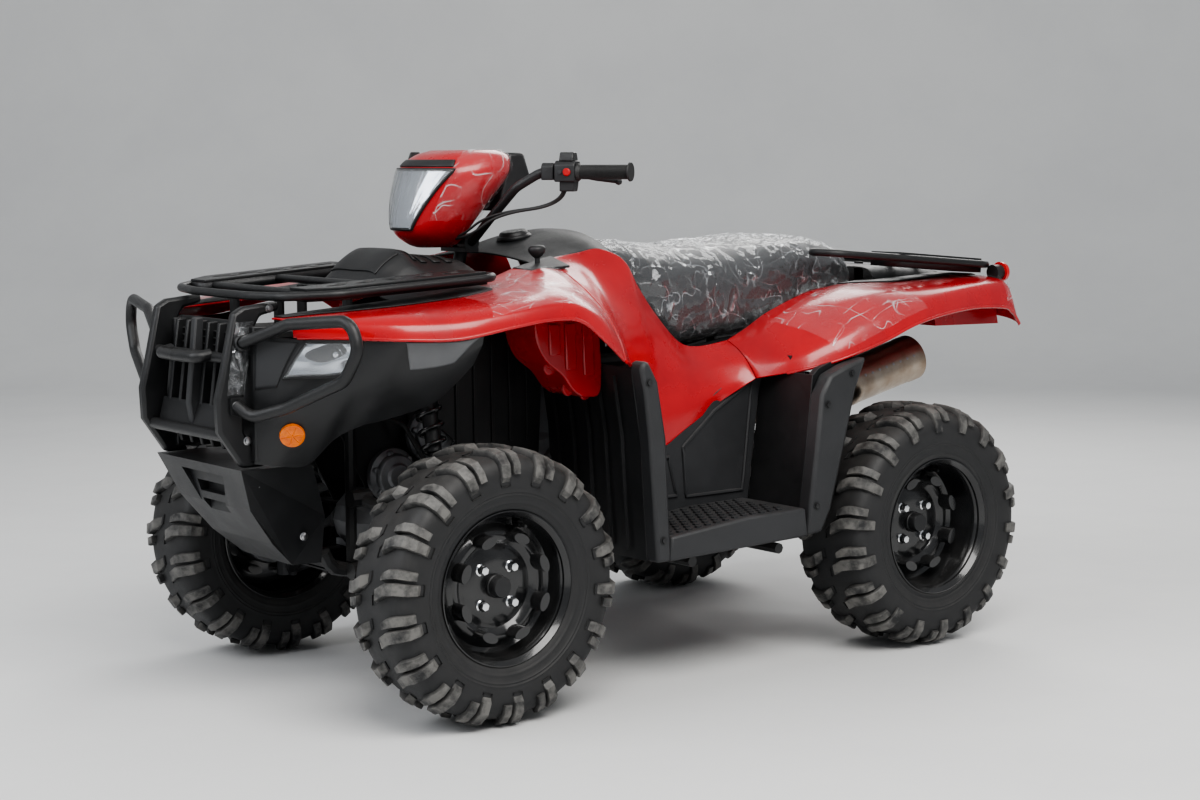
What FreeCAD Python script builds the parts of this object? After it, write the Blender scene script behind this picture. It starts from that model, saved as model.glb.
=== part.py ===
import math
import os

import FreeCAD
import Part
import Sketcher
from FreeCAD import Placement, Rotation, Vector

# A utility quad bike, in millimetres, +X forward, +Y left, +Z up, standing on z = 0.
# Every place along the bike is measured from the rear axle, and the last step of each piece moves it so that
# the middle of the whole bike stands over the origin.

# Driving dimensions
SIZES = {
    # Overall layout
    "wheelbase": 1295,
    "front_overhang": 500,
    "rear_overhang": 405,
    "front_track": 940,
    "rear_track": 960,
    "half_width": 600,
    "body_height": 1000,
    # Tyres
    "tyre_radius": 303,
    "lug_height": 15,
    "front_tyre_width": 196,
    "rear_tyre_width": 236,
    # Rims
    "flange_radius": 168,
    "flange_lip": 10,
    "front_rim_width": 160,
    "rear_rim_width": 200,
    "rim_wall": 6,
    "front_disc_offset": 34,
    "rear_disc_offset": 10,
    "disc_wall": 8,
    "disc_dish": 16,
    "vent_inner_radius": 96,
    "vent_outer_radius": 126,
    "cap_radius": 26,
    "cap_height": 30,
    "nut_circle_radius": 55,
    "nut_radius": 11,
    "nut_height": 18,
    # Fits
    "seat_gap": 0.3,
    "pin_gap": 0.1,
    "wall": 5,
    # Frame
    "rail_radius": 16,
    "rail_spacing": 200,
    "rail_bend": 60,
    "cross_radius": 13,
    "bush_radius": 20,
    "bush_length": 50,
    # Suspension and steering
    "arm_radius": 13,
    "kingpin_inset": 75,
    "ball_drop": 88,
    "ball_rise": 92,
    "front_shock_inset": 67,
    "rear_shock_inset": 72,
    "ball_radius": 17,
    "knuckle_radius": 20,
    "hub_radius": 36,
    "tie_rod_radius": 8,
    "steering_arm": 95,
    "steering_arm_height": 43,
    "steering_arm_radius": 12,
    "stem_radius": 15,
    "stem_bush_radius": 24,
    "pitman_half_width": 25,
    "pitman_thickness": 8,
    "pitman_clearance": 6,
    "damper_radius": 19,
    "damper_rod_radius": 8,
    "spring_radius": 32,
    "spring_inner_radius": 22,
    "shock_eye_radius": 18,
    # Drive line
    "front_diff_radius": 70,
    "rear_diff_radius": 75,
    "diff_half_width": 80,
    "diff_foot_height": 15,
    "nose_radius": 20,
    "shaft_radius": 13,
    "shaft_clearance": 30,
    "boot_radius": 40,
    "boot_length": 80,
    "prop_radius": 16,
    # Handlebar
    "bar_radius": 11,
    "bar_bend": 60,
    "grip_radius": 17,
    "grip_length": 125,
    "switch_depth": 46,
    "switch_height": 50,
    "switch_length": 50,
    "lever_radius": 7,
    "lever_reach": 32,
    "lever_bend": 20,
    # Bumper and racks
    "hoop_radius": 13,
    "hoop_bend": 45,
    "bar_plate_thickness": 26,
    "rack_tube_radius": 10,
    "rack_bend": 60,
    "plank_thickness": 12,
    "stay_radius": 12,
    # Exhaust
    "muffler_radius": 70,
    "muffler_neck_radius": 45,
    "tail_pipe_radius": 20,
    "tail_pipe_length": 40,
    "pipe_radius": 21,
    # Tow hitch
    "hitch_thickness": 8,
    "hitch_hole_radius": 9.5,
    "hitch_width": 90,
    "overrun": 5,
    # Lamps and trim
    "reflector_radius": 27,
    "reflector_depth": 8,
    "lens_thickness": 8,
    "knob_radius": 22,
    "skid_thickness": 4,
}

# The body is drawn on a grid: 13 stations between the axles, 6 buttock lines out to the half width, and
# 10 water lines up to the body height. The tables of shares give places in these steps.
STATIONS = 13
BUTTOCKS = 6
WATERLINES = 10

doc = FreeCAD.newDocument("QuadBike")
sheet = doc.addObject("Spreadsheet::Sheet", "Sizes")


class Size:
    """A length that keeps both its value and the expression that it came from."""

    def __init__(self, text, value):
        self.text = text
        self.value = value

    def __add__(self, other):
        return Size(f"({self.text} + {words(other)})", self.value + number(other))

    def __sub__(self, other):
        return Size(f"({self.text} - {words(other)})", self.value - number(other))

    def __mul__(self, share):
        return Size(f"({self.text} * {share:.6f})", self.value * share)

    def __truediv__(self, share):
        return Size(f"({self.text} / {share:.6f})", self.value / share)

    def __neg__(self):
        return Size(f"(0 - {self.text})", -self.value)


def words(size):
    return size.text if isinstance(size, Size) else f"{size:.6f}"


def number(size):
    return size.value if isinstance(size, Size) else float(size)


class Sizes:
    """The driving dimensions by name."""


S = Sizes()
for row, (alias, size_value) in enumerate(SIZES.items(), start=1):
    sheet.set(f"A{row}", alias)
    sheet.set(f"B{row}", str(size_value))
    sheet.setAlias(f"B{row}", alias)
    setattr(S, alias, Size(f"Sizes.{alias}", float(size_value)))
doc.recompute()

ZERO = Size("0", 0.0)
MIDDLE = (S.wheelbase + S.front_overhang - S.rear_overhang) / 2
WHEEL_Z = S.tyre_radius
ACROSS = Vector(0, 1, 0)
UP = Vector(0, 0, 1)
nodes = {}


def along(stations):
    """A place along the bike from the rear axle."""
    return S.wheelbase * (stations / STATIONS)


def across(buttocks):
    """A place to the left of the middle."""
    return S.half_width * (buttocks / BUTTOCKS)


def up(waterlines):
    """A height over the ground."""
    return S.body_height * (waterlines / WATERLINES)


def place_of(shares):
    """One point in space, as a vector."""
    return Vector(along(shares[0]).value, across(shares[1]).value, up(shares[2]).value)


def places(table):
    return [place_of(shares) for shares in table]


def side_points(shares):
    """Corners in side view: along, up."""
    return [(along(point[0]), up(point[1])) for point in shares]


# Bodies drawn in sketches, each corner bound to the sheet of sizes

def bind(item, prop, size):
    item.setExpression(prop, words(size))


def new_body(name):
    body = doc.addObject("PartDesign::Body", name)
    body.AllowCompound = True
    return body


def new_sketch(body, role, offset):
    sketch = body.newObject("Sketcher::SketchObject", body.Name + "_sketch")
    plane = [item for item in body.Origin.OriginFeatures if item.Role == role][0]
    sketch.AttachmentSupport = [(plane, "")]
    sketch.MapMode = "FlatFace"
    bind(sketch, "AttachmentOffset.Base.z", offset)
    return sketch


def tie_point(sketch, element, which, a, b):
    for kind, size in (("DistanceX", a), ("DistanceY", b)):
        spot = sketch.addConstraint(Sketcher.Constraint(kind, -1, 1, element, which, number(size)))
        bind(sketch, f"Constraints[{spot}]", size)


def add_sketch(body, role, offset, loops):
    """A sketch of closed loops of straight lines."""
    sketch = new_sketch(body, role, offset)
    for loop in loops:
        first = sketch.GeometryCount
        count = len(loop)
        spots = [Vector(number(a), number(b), 0) for a, b in loop]
        for index in range(count):
            sketch.addGeometry(Part.LineSegment(spots[index], spots[(index + 1) % count]), False)
        for index in range(count):
            following = first + (index + 1) % count
            sketch.addConstraint(Sketcher.Constraint("Coincident", first + index, 2, following, 1))
        for index, (a, b) in enumerate(loop):
            tie_point(sketch, first + index, 1, a, b)
    return sketch


def add_circle(body, role, offset, a, b, radius):
    sketch = new_sketch(body, role, offset)
    circle = sketch.addGeometry(Part.Circle(Vector(number(a), number(b), 0), UP, number(radius)), False)
    tie_point(sketch, circle, 3, a, b)
    spot = sketch.addConstraint(Sketcher.Constraint("Radius", circle, number(radius)))
    bind(sketch, f"Constraints[{spot}]", radius)
    return sketch


def add_pad(body, sketch, length, reverse=False):
    pad = body.newObject("PartDesign::Pad", body.Name + "_pad")
    pad.Profile = sketch
    pad.Reversed = reverse
    bind(pad, "Length", length)
    body.Tip = pad
    return pad


def add_pocket(body, sketch, length):
    """A cut upwards from its sketch."""
    pocket = body.newObject("PartDesign::Pocket", body.Name + "_pocket")
    pocket.Profile = sketch
    pocket.Reversed = True
    bind(pocket, "Length", length)
    body.Tip = pocket
    return pocket


def slab_across(body, loops, low, high):
    """Side-view outlines carried across the bike."""
    return add_pad(body, add_sketch(body, "XZ_Plane", -low, loops), high - low, reverse=True)


def slab_up(body, loops, low, high):
    """Plan outlines carried upwards."""
    return add_pad(body, add_sketch(body, "XY_Plane", low, loops), high - low)


def slab_along(body, loops, low, high):
    """Front-view outlines carried forwards."""
    return add_pad(body, add_sketch(body, "YZ_Plane", low, loops), high - low)


# Keeping nodes

def keep(name, item):
    """Names the node and moves it so that the middle of the bike stands over the origin."""
    item.Label = name
    bind(item, "Placement.Base.x", -MIDDLE)
    nodes[name] = item
    return item


def keep_shape(name, shape):
    item = doc.addObject("Part::Feature", name)
    item.Shape = shape
    item.Label = name
    item.Placement = Placement(Vector(-MIDDLE.value, 0, 0), Rotation())
    nodes[name] = item
    return item


def keep_pair(name, half):
    """A left-hand piece and its mirror image on the right."""
    half.Label = name + "_left"
    mirror = doc.addObject("Part::Mirroring", name + "_mirror")
    mirror.Source = half
    mirror.Normal = ACROSS
    pair = doc.addObject("Part::Compound", name + "_pair")
    pair.Links = [half, mirror]
    return keep(name, pair)


def mirrored(shape):
    return shape.mirror(Vector(0, 0, 0), ACROSS)


def both(shapes):
    """Solids on the left, with their mirror images on the right."""
    return Part.makeCompound(shapes + [mirrored(shape) for shape in shapes])


def joined(shapes):
    whole = shapes[0].multiFuse(shapes[1:]) if len(shapes) > 1 else shapes[0]
    return whole.removeSplitter()


# Forms with flat facets: few enough faces for a whole vehicle, round enough once shaded

TUBE_SIDES = 8
PART_SIDES = 12
CLOSE_SHARE = 0.001


def solid_of(points, triangles):
    """A closed solid from its corners and the triangles between them."""
    shape = Part.Shape()
    shape.makeShapeFromMesh((points, triangles), S.seat_gap.value * CLOSE_SHARE)
    solid = Part.makeSolid(shape.Shells[0]) if shape.Shells else Part.makeSolid(shape)
    if solid.Volume < 0:
        solid.reverse()
    return solid.removeSplitter()


def cells(rows, count, wrap_rows, wrap_columns, open_cells=()):
    """Two triangles for each cell of a grid of points."""
    triangles = []
    for row in range(rows if wrap_rows else rows - 1):
        for column in range(count if wrap_columns else count - 1):
            if (row, column) in open_cells:
                continue
            a = row * count + column
            b = row * count + (column + 1) % count
            c = ((row + 1) % rows) * count + (column + 1) % count
            d = ((row + 1) % rows) * count + column
            triangles += [(a, b, c), (a, c, d)]
    return triangles


def side_vectors(way):
    """Two directions square to the way and to each other."""
    help_way = UP if abs(way.z) < abs(way.y) + abs(way.x) else Vector(1, 0, 0)
    first = way.cross(help_way).normalize()
    return first, way.cross(first).normalize()


def lathe(profile, start, way, sides=PART_SIDES):
    """A closed profile of radius and distance, turned about the line from start along way.

    A radius of zero closes the form on its axis."""
    way = Vector(way).normalize()
    first, second = side_vectors(way)
    points = []
    rings = []
    for radius, distance in profile:
        centre = start + way * number(distance)
        radius = number(radius)
        if radius == 0:
            rings.append([len(points)] * sides)
            points.append(centre)
            continue
        rings.append([len(points) + step for step in range(sides)])
        for step in range(sides):
            angle = 2 * math.pi * step / sides
            points.append(centre + (first * math.cos(angle) + second * math.sin(angle)) * radius)
    triangles = []
    for index, ring in enumerate(rings):
        following = rings[(index + 1) % len(rings)]
        for step in range(sides):
            ahead = (step + 1) % sides
            corners = [ring[step], ring[ahead], following[ahead], following[step]]
            for triangle in ((corners[0], corners[1], corners[2]), (corners[0], corners[2], corners[3])):
                if len(set(triangle)) == 3:
                    triangles.append(triangle)
    return solid_of(points, triangles)


def rod(start, end, radius, sides=TUBE_SIDES):
    """A straight bar between two points."""
    return lathe([(0, 0), (radius, 0), (radius, (end - start).Length), (0, (end - start).Length)],
                 start, end - start, sides)


def bore_radius(radius, sides):
    """The corner radius of a faceted hole that a round bar of this radius turns in."""
    return radius / math.cos(math.pi / sides)


def bent(points, bend, steps):
    """The points of a route with each corner rounded by short runs."""
    route = [points[0]]
    for index in range(1, len(points) - 1):
        corner = points[index]
        back = (points[index - 1] - corner).normalize()
        ahead = (points[index + 1] - corner).normalize()
        half_turn = (math.pi - back.getAngle(ahead)) / 2
        room = min((points[index - 1] - corner).Length, (points[index + 1] - corner).Length) * ROOM_SHARE
        reach = min(bend * math.tan(half_turn), room)
        middle_way = (back + ahead).normalize()
        arc_radius = reach / math.tan(half_turn)
        centre = corner + middle_way * (arc_radius / math.cos(half_turn))
        first = corner + back * reach - centre
        last = corner + ahead * reach - centre
        for step in range(steps + 1):
            share = step / steps
            turn = first * (1 - share) + last * share
            route.append(centre + turn.normalize() * arc_radius)
    return route + [points[-1]]


# A bend takes at most this share of the shorter run beside it.
ROOM_SHARE = 0.45
BEND_STEPS = 2


def run_of_tube(points, radius, bend, sides=TUBE_SIDES, steps=BEND_STEPS):
    """A tube through the points with mitred facets round its bends."""
    route = bent(points, bend, steps)
    way = (route[1] - route[0]).normalize()
    first, second = side_vectors(way)
    ring = []
    for step in range(sides):
        angle = 2 * math.pi * step / sides
        ring.append(route[0] + (first * math.cos(angle) + second * math.sin(angle)) * radius)
    rings = [ring]
    for index in range(1, len(route)):
        way = (route[index] - route[index - 1]).normalize()
        if index < len(route) - 1:
            plane_way = (way + (route[index + 1] - route[index]).normalize()).normalize()
        else:
            plane_way = way
        ring = [point + way * ((route[index] - point).dot(plane_way) / way.dot(plane_way)) for point in ring]
        rings.append(ring)
    points = [point for ring in rings for point in ring]
    triangles = cells(len(rings), sides, False, True)
    last = len(points) - sides
    for step in range(1, sides - 1):
        triangles += [(0, step + 1, step), (last, last + step, last + step + 1)]
    return solid_of(points, triangles)


def curve_through(row, count):
    """As many points as asked, evenly spread along a smooth curve through the row."""
    spread = []
    for step in range(count):
        place = step * (len(row) - 1) / (count - 1)
        index = min(int(place), len(row) - 2)
        share = place - index
        before = row[max(index - 1, 0)]
        start, end = row[index], row[index + 1]
        after = row[min(index + 2, len(row) - 1)]
        lean_start = (end - before) * HALF_SHARE
        lean_end = (after - start) * HALF_SHARE
        square, cube = share ** 2, share ** 3
        spread.append(start * (2 * cube - 3 * square + 1) + lean_start * (cube - 2 * square + share)
                      + end * (3 * square - 2 * cube) + lean_end * (cube - square))
    return spread


HALF_SHARE = 0.5


def grid_of(sections, columns):
    """The points of a surface: a smooth curve across each section."""
    return [curve_through([place_of((station, a, b)) for a, b in half], columns) for station, half in sections]


def raised(grid, height):
    """The same surface moved outwards, square to itself."""
    rows, columns = len(grid), len(grid[0])
    lifted = []
    for row in range(rows):
        line = []
        for column in range(columns):
            run = grid[min(row + 1, rows - 1)][column] - grid[max(row - 1, 0)][column]
            side = grid[row][min(column + 1, columns - 1)] - grid[row][max(column - 1, 0)]
            line.append(grid[row][column] - run.cross(side).normalize() * height)
        lifted.append(line)
    return lifted


def part_of(grid, first_row, last_row, first_column, last_column):
    return [line[first_column:last_column + 1] for line in grid[first_row:last_row + 1]]


def panel_solid(grid, wall):
    """A moulded wall: the grid is its outer face, and the inner face lies one wall inside."""
    return wall_between(grid, raised(grid, -wall))


def wall_between(grid, inner):
    """A solid between an outer and an inner surface with the same rows and columns."""
    rows, columns = len(grid), len(grid[0])
    points = [point for line in grid for point in line] + [point for line in inner for point in line]
    shift = rows * columns
    outer_triangles = cells(rows, columns, False, False)
    triangles = outer_triangles + [(a + shift, c + shift, b + shift) for a, b, c in outer_triangles]
    edge = [(0, column) for column in range(columns)] + [(row, columns - 1) for row in range(1, rows)]
    edge += [(rows - 1, column) for column in range(columns - 2, -1, -1)] + [(row, 0) for row in range(rows - 2, 0, -1)]
    for index, (row, column) in enumerate(edge):
        a = row * columns + column
        next_row, next_column = edge[(index + 1) % len(edge)]
        b = next_row * columns + next_column
        triangles += [(b, a, a + shift), (b, a + shift, b + shift)]
    return solid_of(points, triangles)


def loop_solid(loops):
    """A closed form through outlines with equal numbers of corners, with flat ends."""
    count = len(loops[0])
    points = [point for loop in loops for point in loop]
    triangles = cells(len(loops), count, False, True)
    for first, turn in ((0, 1), (len(points) - count, -1)):
        for step in range(1, count - 1):
            triangles.append((first, first + step + 1, first + step) if turn == 1 else
                             (first, first + step, first + step + 1))
    return solid_of(points, triangles)


def slab(corners, way):
    """A flat outline carried along a way."""
    face = Part.Face(Part.makePolygon(corners + corners[:1]))
    return face.extrude(way)


# Tyres

LUG_PAIRS = 16
TREAD_STEPS = 4
WALL_SHARE = 0.5
SHOULDER_SHARE = 0.85
TREAD_SHARE = 0.74
CENTRE_SHARE = 0.06
SHOULDER_WIDTH_SHARE = 0.97
LUG_LEAN_SHARE = 0.55
LUG_SHARES = (0.0, 0.12, 0.52, 0.64)


def tyre(name, width, rim_width, x, y):
    """A tyre with a row of lugs on each half of its tread, the rows half a step apart.

    The lugs lean as they run inwards from the shoulder, and reach down over it."""
    half = (width / 2).value
    seat = (rim_width / 2).value
    lip = bore_radius((S.flange_radius + S.seat_gap).value, LUG_PAIRS * 2)
    bead = bore_radius((S.flange_radius - S.flange_lip).value, LUG_PAIRS * 2)
    base = (S.tyre_radius - S.lug_height).value
    top = S.tyre_radius.value
    wall_radius = lip + (base - lip) * WALL_SHARE
    shoulder = lip + (base - lip) * SHOULDER_SHARE
    pitch = 2 * math.pi / LUG_PAIRS
    coarse = [(bead, -seat), (lip, -seat), (wall_radius, -half)]
    fine = [(shoulder, -half * SHOULDER_WIDTH_SHARE, 0), (base, -half * TREAD_SHARE, 0), (base, -half * CENTRE_SHARE, 1)]
    points = []
    coarse_rings = []
    fine_rings = []
    centre = Vector(x.value, y.value, WHEEL_Z.value)

    def add(radius, place, angle):
        points.append(centre + Vector(radius * math.cos(angle), place, radius * math.sin(angle)))
        return len(points) - 1

    for side in (1, -1):
        rings = []
        for radius, place in coarse:
            rings.append([add(radius, place * side, pitch * (step / 2)) for step in range(LUG_PAIRS * 2)])
        coarse_rings.append(rings)
        rings = []
        for radius, place, inward in fine:
            ring = []
            for lug in range(LUG_PAIRS):
                for order, share in enumerate(LUG_SHARES):
                    raised = order in (1, 2)
                    lean = pitch * LUG_LEAN_SHARE * inward
                    shift = pitch / 2 if side == -1 else 0
                    lift = (top - base) if raised else 0
                    angle = pitch * (lug + share) + shift + lean * side
                    ring.append(add(radius + lift, place * side, angle))
            rings.append(ring)
        fine_rings.append(rings)

    triangles = []

    def strip(first, second, flip):
        """Triangles between two rings that may have different numbers of points."""
        a, b = 0, 0
        while a < len(first) or b < len(second):
            step_first = (a + 1) / len(first)
            step_second = (b + 1) / len(second)
            if b >= len(second) or (a < len(first) and step_first <= step_second):
                triangle = (first[a % len(first)], first[(a + 1) % len(first)], second[b % len(second)])
                a += 1
            else:
                triangle = (first[a % len(first)], second[(b + 1) % len(second)], second[b % len(second)])
                b += 1
            triangles.append(triangle[::-1] if flip else triangle)

    left_coarse, right_coarse = coarse_rings
    left_fine, right_fine = fine_rings
    shift = LUG_PAIRS * TREAD_STEPS - TREAD_STEPS // 2
    right_fine = [ring[shift:] + ring[:shift] for ring in right_fine]
    order = left_coarse + left_fine + right_fine[::-1] + right_coarse[::-1]
    for first, second in zip(order, order[1:] + order[:1]):
        strip(first, second, False)
    return keep_shape(name, solid_of(points, triangles))


# Rims

RIM_SIDES = 24
VENTS = 8
NUTS = 4
NUT_SIDES = 6


def rim(name, rim_width, disc_offset, x, y, side):
    """A pressed steel rim: barrel with two flanges, dished disc with vents, centre cap and wheel nuts."""
    edge = rim_width / 2
    outer = S.flange_radius - S.flange_lip - S.seat_gap
    inner = outer - S.rim_wall
    back = disc_offset
    face = disc_offset + S.disc_wall
    profile = [
        (S.flange_radius, edge + S.seat_gap), (S.flange_radius, edge + S.rim_wall), (inner, edge + S.rim_wall),
        (inner, face - S.disc_dish), (S.vent_outer_radius, face - S.disc_dish), (S.vent_inner_radius, face),
        (S.cap_radius, face), (S.cap_radius * CAP_TAPER_SHARE, face + S.cap_height), (0, face + S.cap_height),
        (0, back), (S.vent_inner_radius, back), (S.vent_outer_radius, back - S.disc_dish),
        (inner, back - S.disc_dish), (inner, -edge - S.rim_wall), (S.flange_radius, -edge - S.rim_wall),
        (S.flange_radius, -edge - S.seat_gap), (outer, -edge - S.seat_gap), (outer, edge + S.seat_gap),
    ]
    centre = Vector(x.value, y.value, WHEEL_Z.value)
    way = ACROSS * side
    points = []
    rings = []
    for radius, distance in profile:
        middle = centre + way * number(distance)
        radius = number(radius)
        count = 1 if radius == 0 else RIM_SIDES
        rings.append([len(points) + step % count for step in range(RIM_SIDES)])
        for step in range(count):
            angle = 2 * math.pi * step / RIM_SIDES
            points.append(middle + Vector(radius * math.cos(angle), 0, radius * math.sin(angle)))
    triangles = []
    radii = [number(radius) for radius, _ in profile]
    vent_front = radii.index(S.vent_outer_radius.value)
    vent_back = len(radii) - 1 - radii[::-1].index(S.vent_inner_radius.value)
    for index, ring in enumerate(rings):
        following = rings[(index + 1) % len(rings)]
        for step in range(RIM_SIDES):
            is_vent = step % (RIM_SIDES // VENTS) == 0
            if is_vent and index in (vent_front, vent_back):
                continue
            ahead = (step + 1) % RIM_SIDES
            for triangle in ((ring[step], ring[ahead], following[ahead]), (ring[step], following[ahead], following[step])):
                if len(set(triangle)) == 3:
                    triangles.append(triangle)
    for step in range(0, RIM_SIDES, RIM_SIDES // VENTS):
        ahead = (step + 1) % RIM_SIDES
        front = [rings[vent_front][step], rings[vent_front][ahead], rings[vent_front + 1][ahead], rings[vent_front + 1][step]]
        rear = [rings[vent_back + 1][step], rings[vent_back + 1][ahead], rings[vent_back][ahead], rings[vent_back][step]]
        for index in range(4):
            following = (index + 1) % 4
            triangles += [(front[index], front[following], rear[following]), (front[index], rear[following], rear[index])]
    wheel = solid_of(points, triangles)
    nuts = []
    for step in range(NUTS):
        angle = 2 * math.pi * (step + HALF_SHARE) / NUTS
        spot = centre + Vector(math.cos(angle), 0, math.sin(angle)) * S.nut_circle_radius.value
        spot = spot + way * (face + S.seat_gap).value
        nuts.append(rod(spot, spot + way * S.nut_height.value, S.nut_radius.value, NUT_SIDES))
    return keep_shape(name, Part.makeCompound([wheel] + nuts))


CAP_TAPER_SHARE = 0.8


def wheels():
    for side, sign in (("left", 1), ("right", -1)):
        front_y = S.front_track / 2 * sign
        rear_y = S.rear_track / 2 * sign
        tyre(f"tyre_front_{side}", S.front_tyre_width, S.front_rim_width, S.wheelbase, front_y)
        rim(f"rim_front_{side}", S.front_rim_width, S.front_disc_offset, S.wheelbase, front_y, sign)
        tyre(f"tyre_rear_{side}", S.rear_tyre_width, S.rear_rim_width, ZERO, rear_y)
        rim(f"rim_rear_{side}", S.rear_rim_width, S.rear_disc_offset, ZERO, rear_y, sign)


# Frame

RAIL_LEVEL_SHARE = 2.95
LOWER_RAIL_SHARES = [(14.84, 3.4), (14.6, 2.95), (-1.5, 2.95), (-2.0, 3.75), (-2.5, 3.75)]
UPPER_RAIL_SHARES = [(16.0, 8.3), (12.0, 8.3), (9.6, 7.2), (3.0, 7.2), (-3.4, 8.2)]
UPRIGHT_SHARES = [14.1, 12.4, -0.9, 1.3]
TIE_SHARES = [(14.2, 2.95), (11.0, 2.95), (4.2, 2.95), (-1.2, 2.95), (15.6, 8.3), (12.6, 8.3), (4.5, 7.2), (-2.8, 8.106)]


def rail_point(share):
    return Vector(along(share[0]).value, S.rail_spacing.value / 2, up(share[1]).value)


def upper_rail(station):
    """The height of the upper rail's middle line at a station, and its slope there."""
    for (ahead, high), (behind, low) in zip(UPPER_RAIL_SHARES, UPPER_RAIL_SHARES[1:]):
        if behind <= station <= ahead:
            slope = (up(high) - up(low)).value / (along(ahead) - along(behind)).value
            return up(low).value + slope * (along(station) - along(behind)).value, slope
    raise RuntimeError("no upper rail at this station")


def rail_rise(radius, slope):
    """How far from the rail's middle line a post of this radius starts."""
    return (S.rail_radius + S.seat_gap).value * math.hypot(1, slope) + radius.value * abs(slope)


def frame():
    """Two lower rails, two upper rails, and the uprights and cross tubes between them."""
    radius = S.rail_radius.value
    bend = S.rail_bend.value
    rails = [run_of_tube([rail_point(share) for share in table], radius, bend)
             for table in (LOWER_RAIL_SHARES, UPPER_RAIL_SHARES)]
    keep_shape("frame_rails", both(rails))
    low = (up(RAIL_LEVEL_SHARE) + S.rail_radius + S.seat_gap).value
    side = S.rail_spacing.value / 2
    uprights = []
    for station in UPRIGHT_SHARES:
        level, slope = upper_rail(station)
        x = along(station).value
        uprights.append(rod(Vector(x, side, low), Vector(x, side, level - rail_rise(S.cross_radius, slope)),
                            S.cross_radius.value))
    keep_shape("frame_uprights", both(uprights))
    reach = Vector(0, (S.rail_spacing / 2 - S.rail_radius - S.seat_gap).value, 0)
    ties = []
    for station, level in TIE_SHARES:
        middle = Vector(along(station).value, 0, up(level).value)
        ties.append(rod(middle - reach, middle + reach, S.cross_radius.value))
    keep_shape("frame_cross_tubes", Part.makeCompound(ties))


SKID_SHARES = (3.6, 14.2)


def skid_plate():
    body = new_body("skid_plate")
    top = up(RAIL_LEVEL_SHARE) - S.rail_radius - S.seat_gap
    half = S.rail_spacing / 2 + S.rail_radius
    rear, front = [along(station) for station in SKID_SHARES]
    slab_up(body, [[(rear, -half), (front, -half), (front, half), (rear, half)]], top - S.skid_thickness, top)
    keep("skid_plate", body)


# Drive

ENGINE_FOOT_SHARES = (4.9, 10.2)
ENGINE_SHARES = [(10.2, 5.4), (8.6, 5.6), (8.2, 6.9), (6.3, 6.9), (6.1, 5.7), (4.9, 5.4)]
ENGINE_WIDTH_SHARE = 0.8
DIFF_SHARE = 3.85
DIFF_NOSE_SHARE = 1.33
DIFF_NECK_SHARE = 0.55
PROP_SIDE_SHARE = -0.5
PROP_LEVEL_SHARE = 3.33


def engine_half():
    return S.rail_spacing * ENGINE_WIDTH_SHARE


def engine():
    """The engine and gearbox as one block on the lower rails."""
    body = new_body("engine")
    half = engine_half()
    bottom = up(RAIL_LEVEL_SHARE) + S.rail_radius + S.seat_gap
    rear, front = ENGINE_FOOT_SHARES
    corners = [(along(rear), bottom), (along(front), bottom)] + side_points(ENGINE_SHARES)
    slab_across(body, [corners], -half, half)
    keep("engine", body)


def diff_table():
    """For each gear case: its place, its radius, and the end of the nose that its shaft meets."""
    nose_front = (S.wheelbase - S.front_diff_radius * DIFF_NOSE_SHARE).value
    nose_rear = (S.rear_diff_radius * DIFF_NOSE_SHARE).value
    front_nose = Vector(nose_front, across(PROP_SIDE_SHARE).value, up(PROP_LEVEL_SHARE).value)
    rear_nose = Vector(nose_rear, 0, up(DIFF_SHARE).value)
    return [(S.wheelbase.value, S.front_diff_radius.value, front_nose), (0.0, S.rear_diff_radius.value, rear_nose)]


def differentials():
    """Front and rear gear cases, each on a foot across the lower rails, with a nose for its shaft."""
    shapes = []
    half = S.diff_half_width.value
    foot_z = (up(RAIL_LEVEL_SHARE) + S.rail_radius + S.seat_gap).value
    foot_y = (S.rail_spacing / 2 + S.rail_radius).value
    for x, radius, nose in diff_table():
        neck = radius * DIFF_NECK_SHARE
        wide = half * DIFF_NECK_SHARE
        case = lathe([(0, -half), (neck, -half), (radius, -wide), (radius, wide), (neck, half), (0, half)],
                     Vector(x, 0, up(DIFF_SHARE).value), ACROSS)
        foot = Part.makeBox(neck, foot_y * 2, S.diff_foot_height.value, Vector(x - neck / 2, -foot_y, foot_z))
        shapes.append(joined([case, foot, rod(nose, Vector(x, nose.y, nose.z), S.nose_radius.value)]))
    keep_shape("differentials", Part.makeCompound(shapes))


def drive_shafts():
    """Half shafts with their rubber boots, and the two propeller shafts."""
    sides = []
    radius = S.shaft_radius.value
    neck = (S.shaft_radius + S.wall).value
    boot = S.boot_length.value
    for x, outer in ((S.wheelbase, front_shaft_end()), (ZERO, rear_shaft_end())):
        start = Vector(x.value, (S.diff_half_width + S.seat_gap).value, up(DIFF_SHARE).value)
        end = Vector(x.value, outer.value, WHEEL_Z.value)
        way = (end - start).normalize()
        start = start + way * (S.boot_radius.value * abs(way.z))
        end = end - way * (S.boot_radius.value * abs(way.z))
        length = (end - start).Length
        sides.append(lathe([(0, 0), (S.boot_radius, 0), (neck, boot), (radius, boot), (radius, length - boot),
                            (neck, length - boot), (S.boot_radius, length), (0, length)], start, way))
    keep_shape("half_shafts", both(sides))
    noses = [nose for x, radius, nose in diff_table()]
    gap = Vector(S.seat_gap.value, 0, 0)
    rear, front = [along(station).value for station in ENGINE_FOOT_SHARES]
    shafts = [rod(Vector(front, noses[0].y, noses[0].z) + gap, noses[0] - gap, S.prop_radius.value),
              rod(noses[1] + gap, Vector(rear, noses[1].y, noses[1].z) - gap, S.prop_radius.value)]
    keep_shape("propeller_shafts", Part.makeCompound(shafts))


def kingpin_y():
    return S.front_track / 2 - S.kingpin_inset


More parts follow.
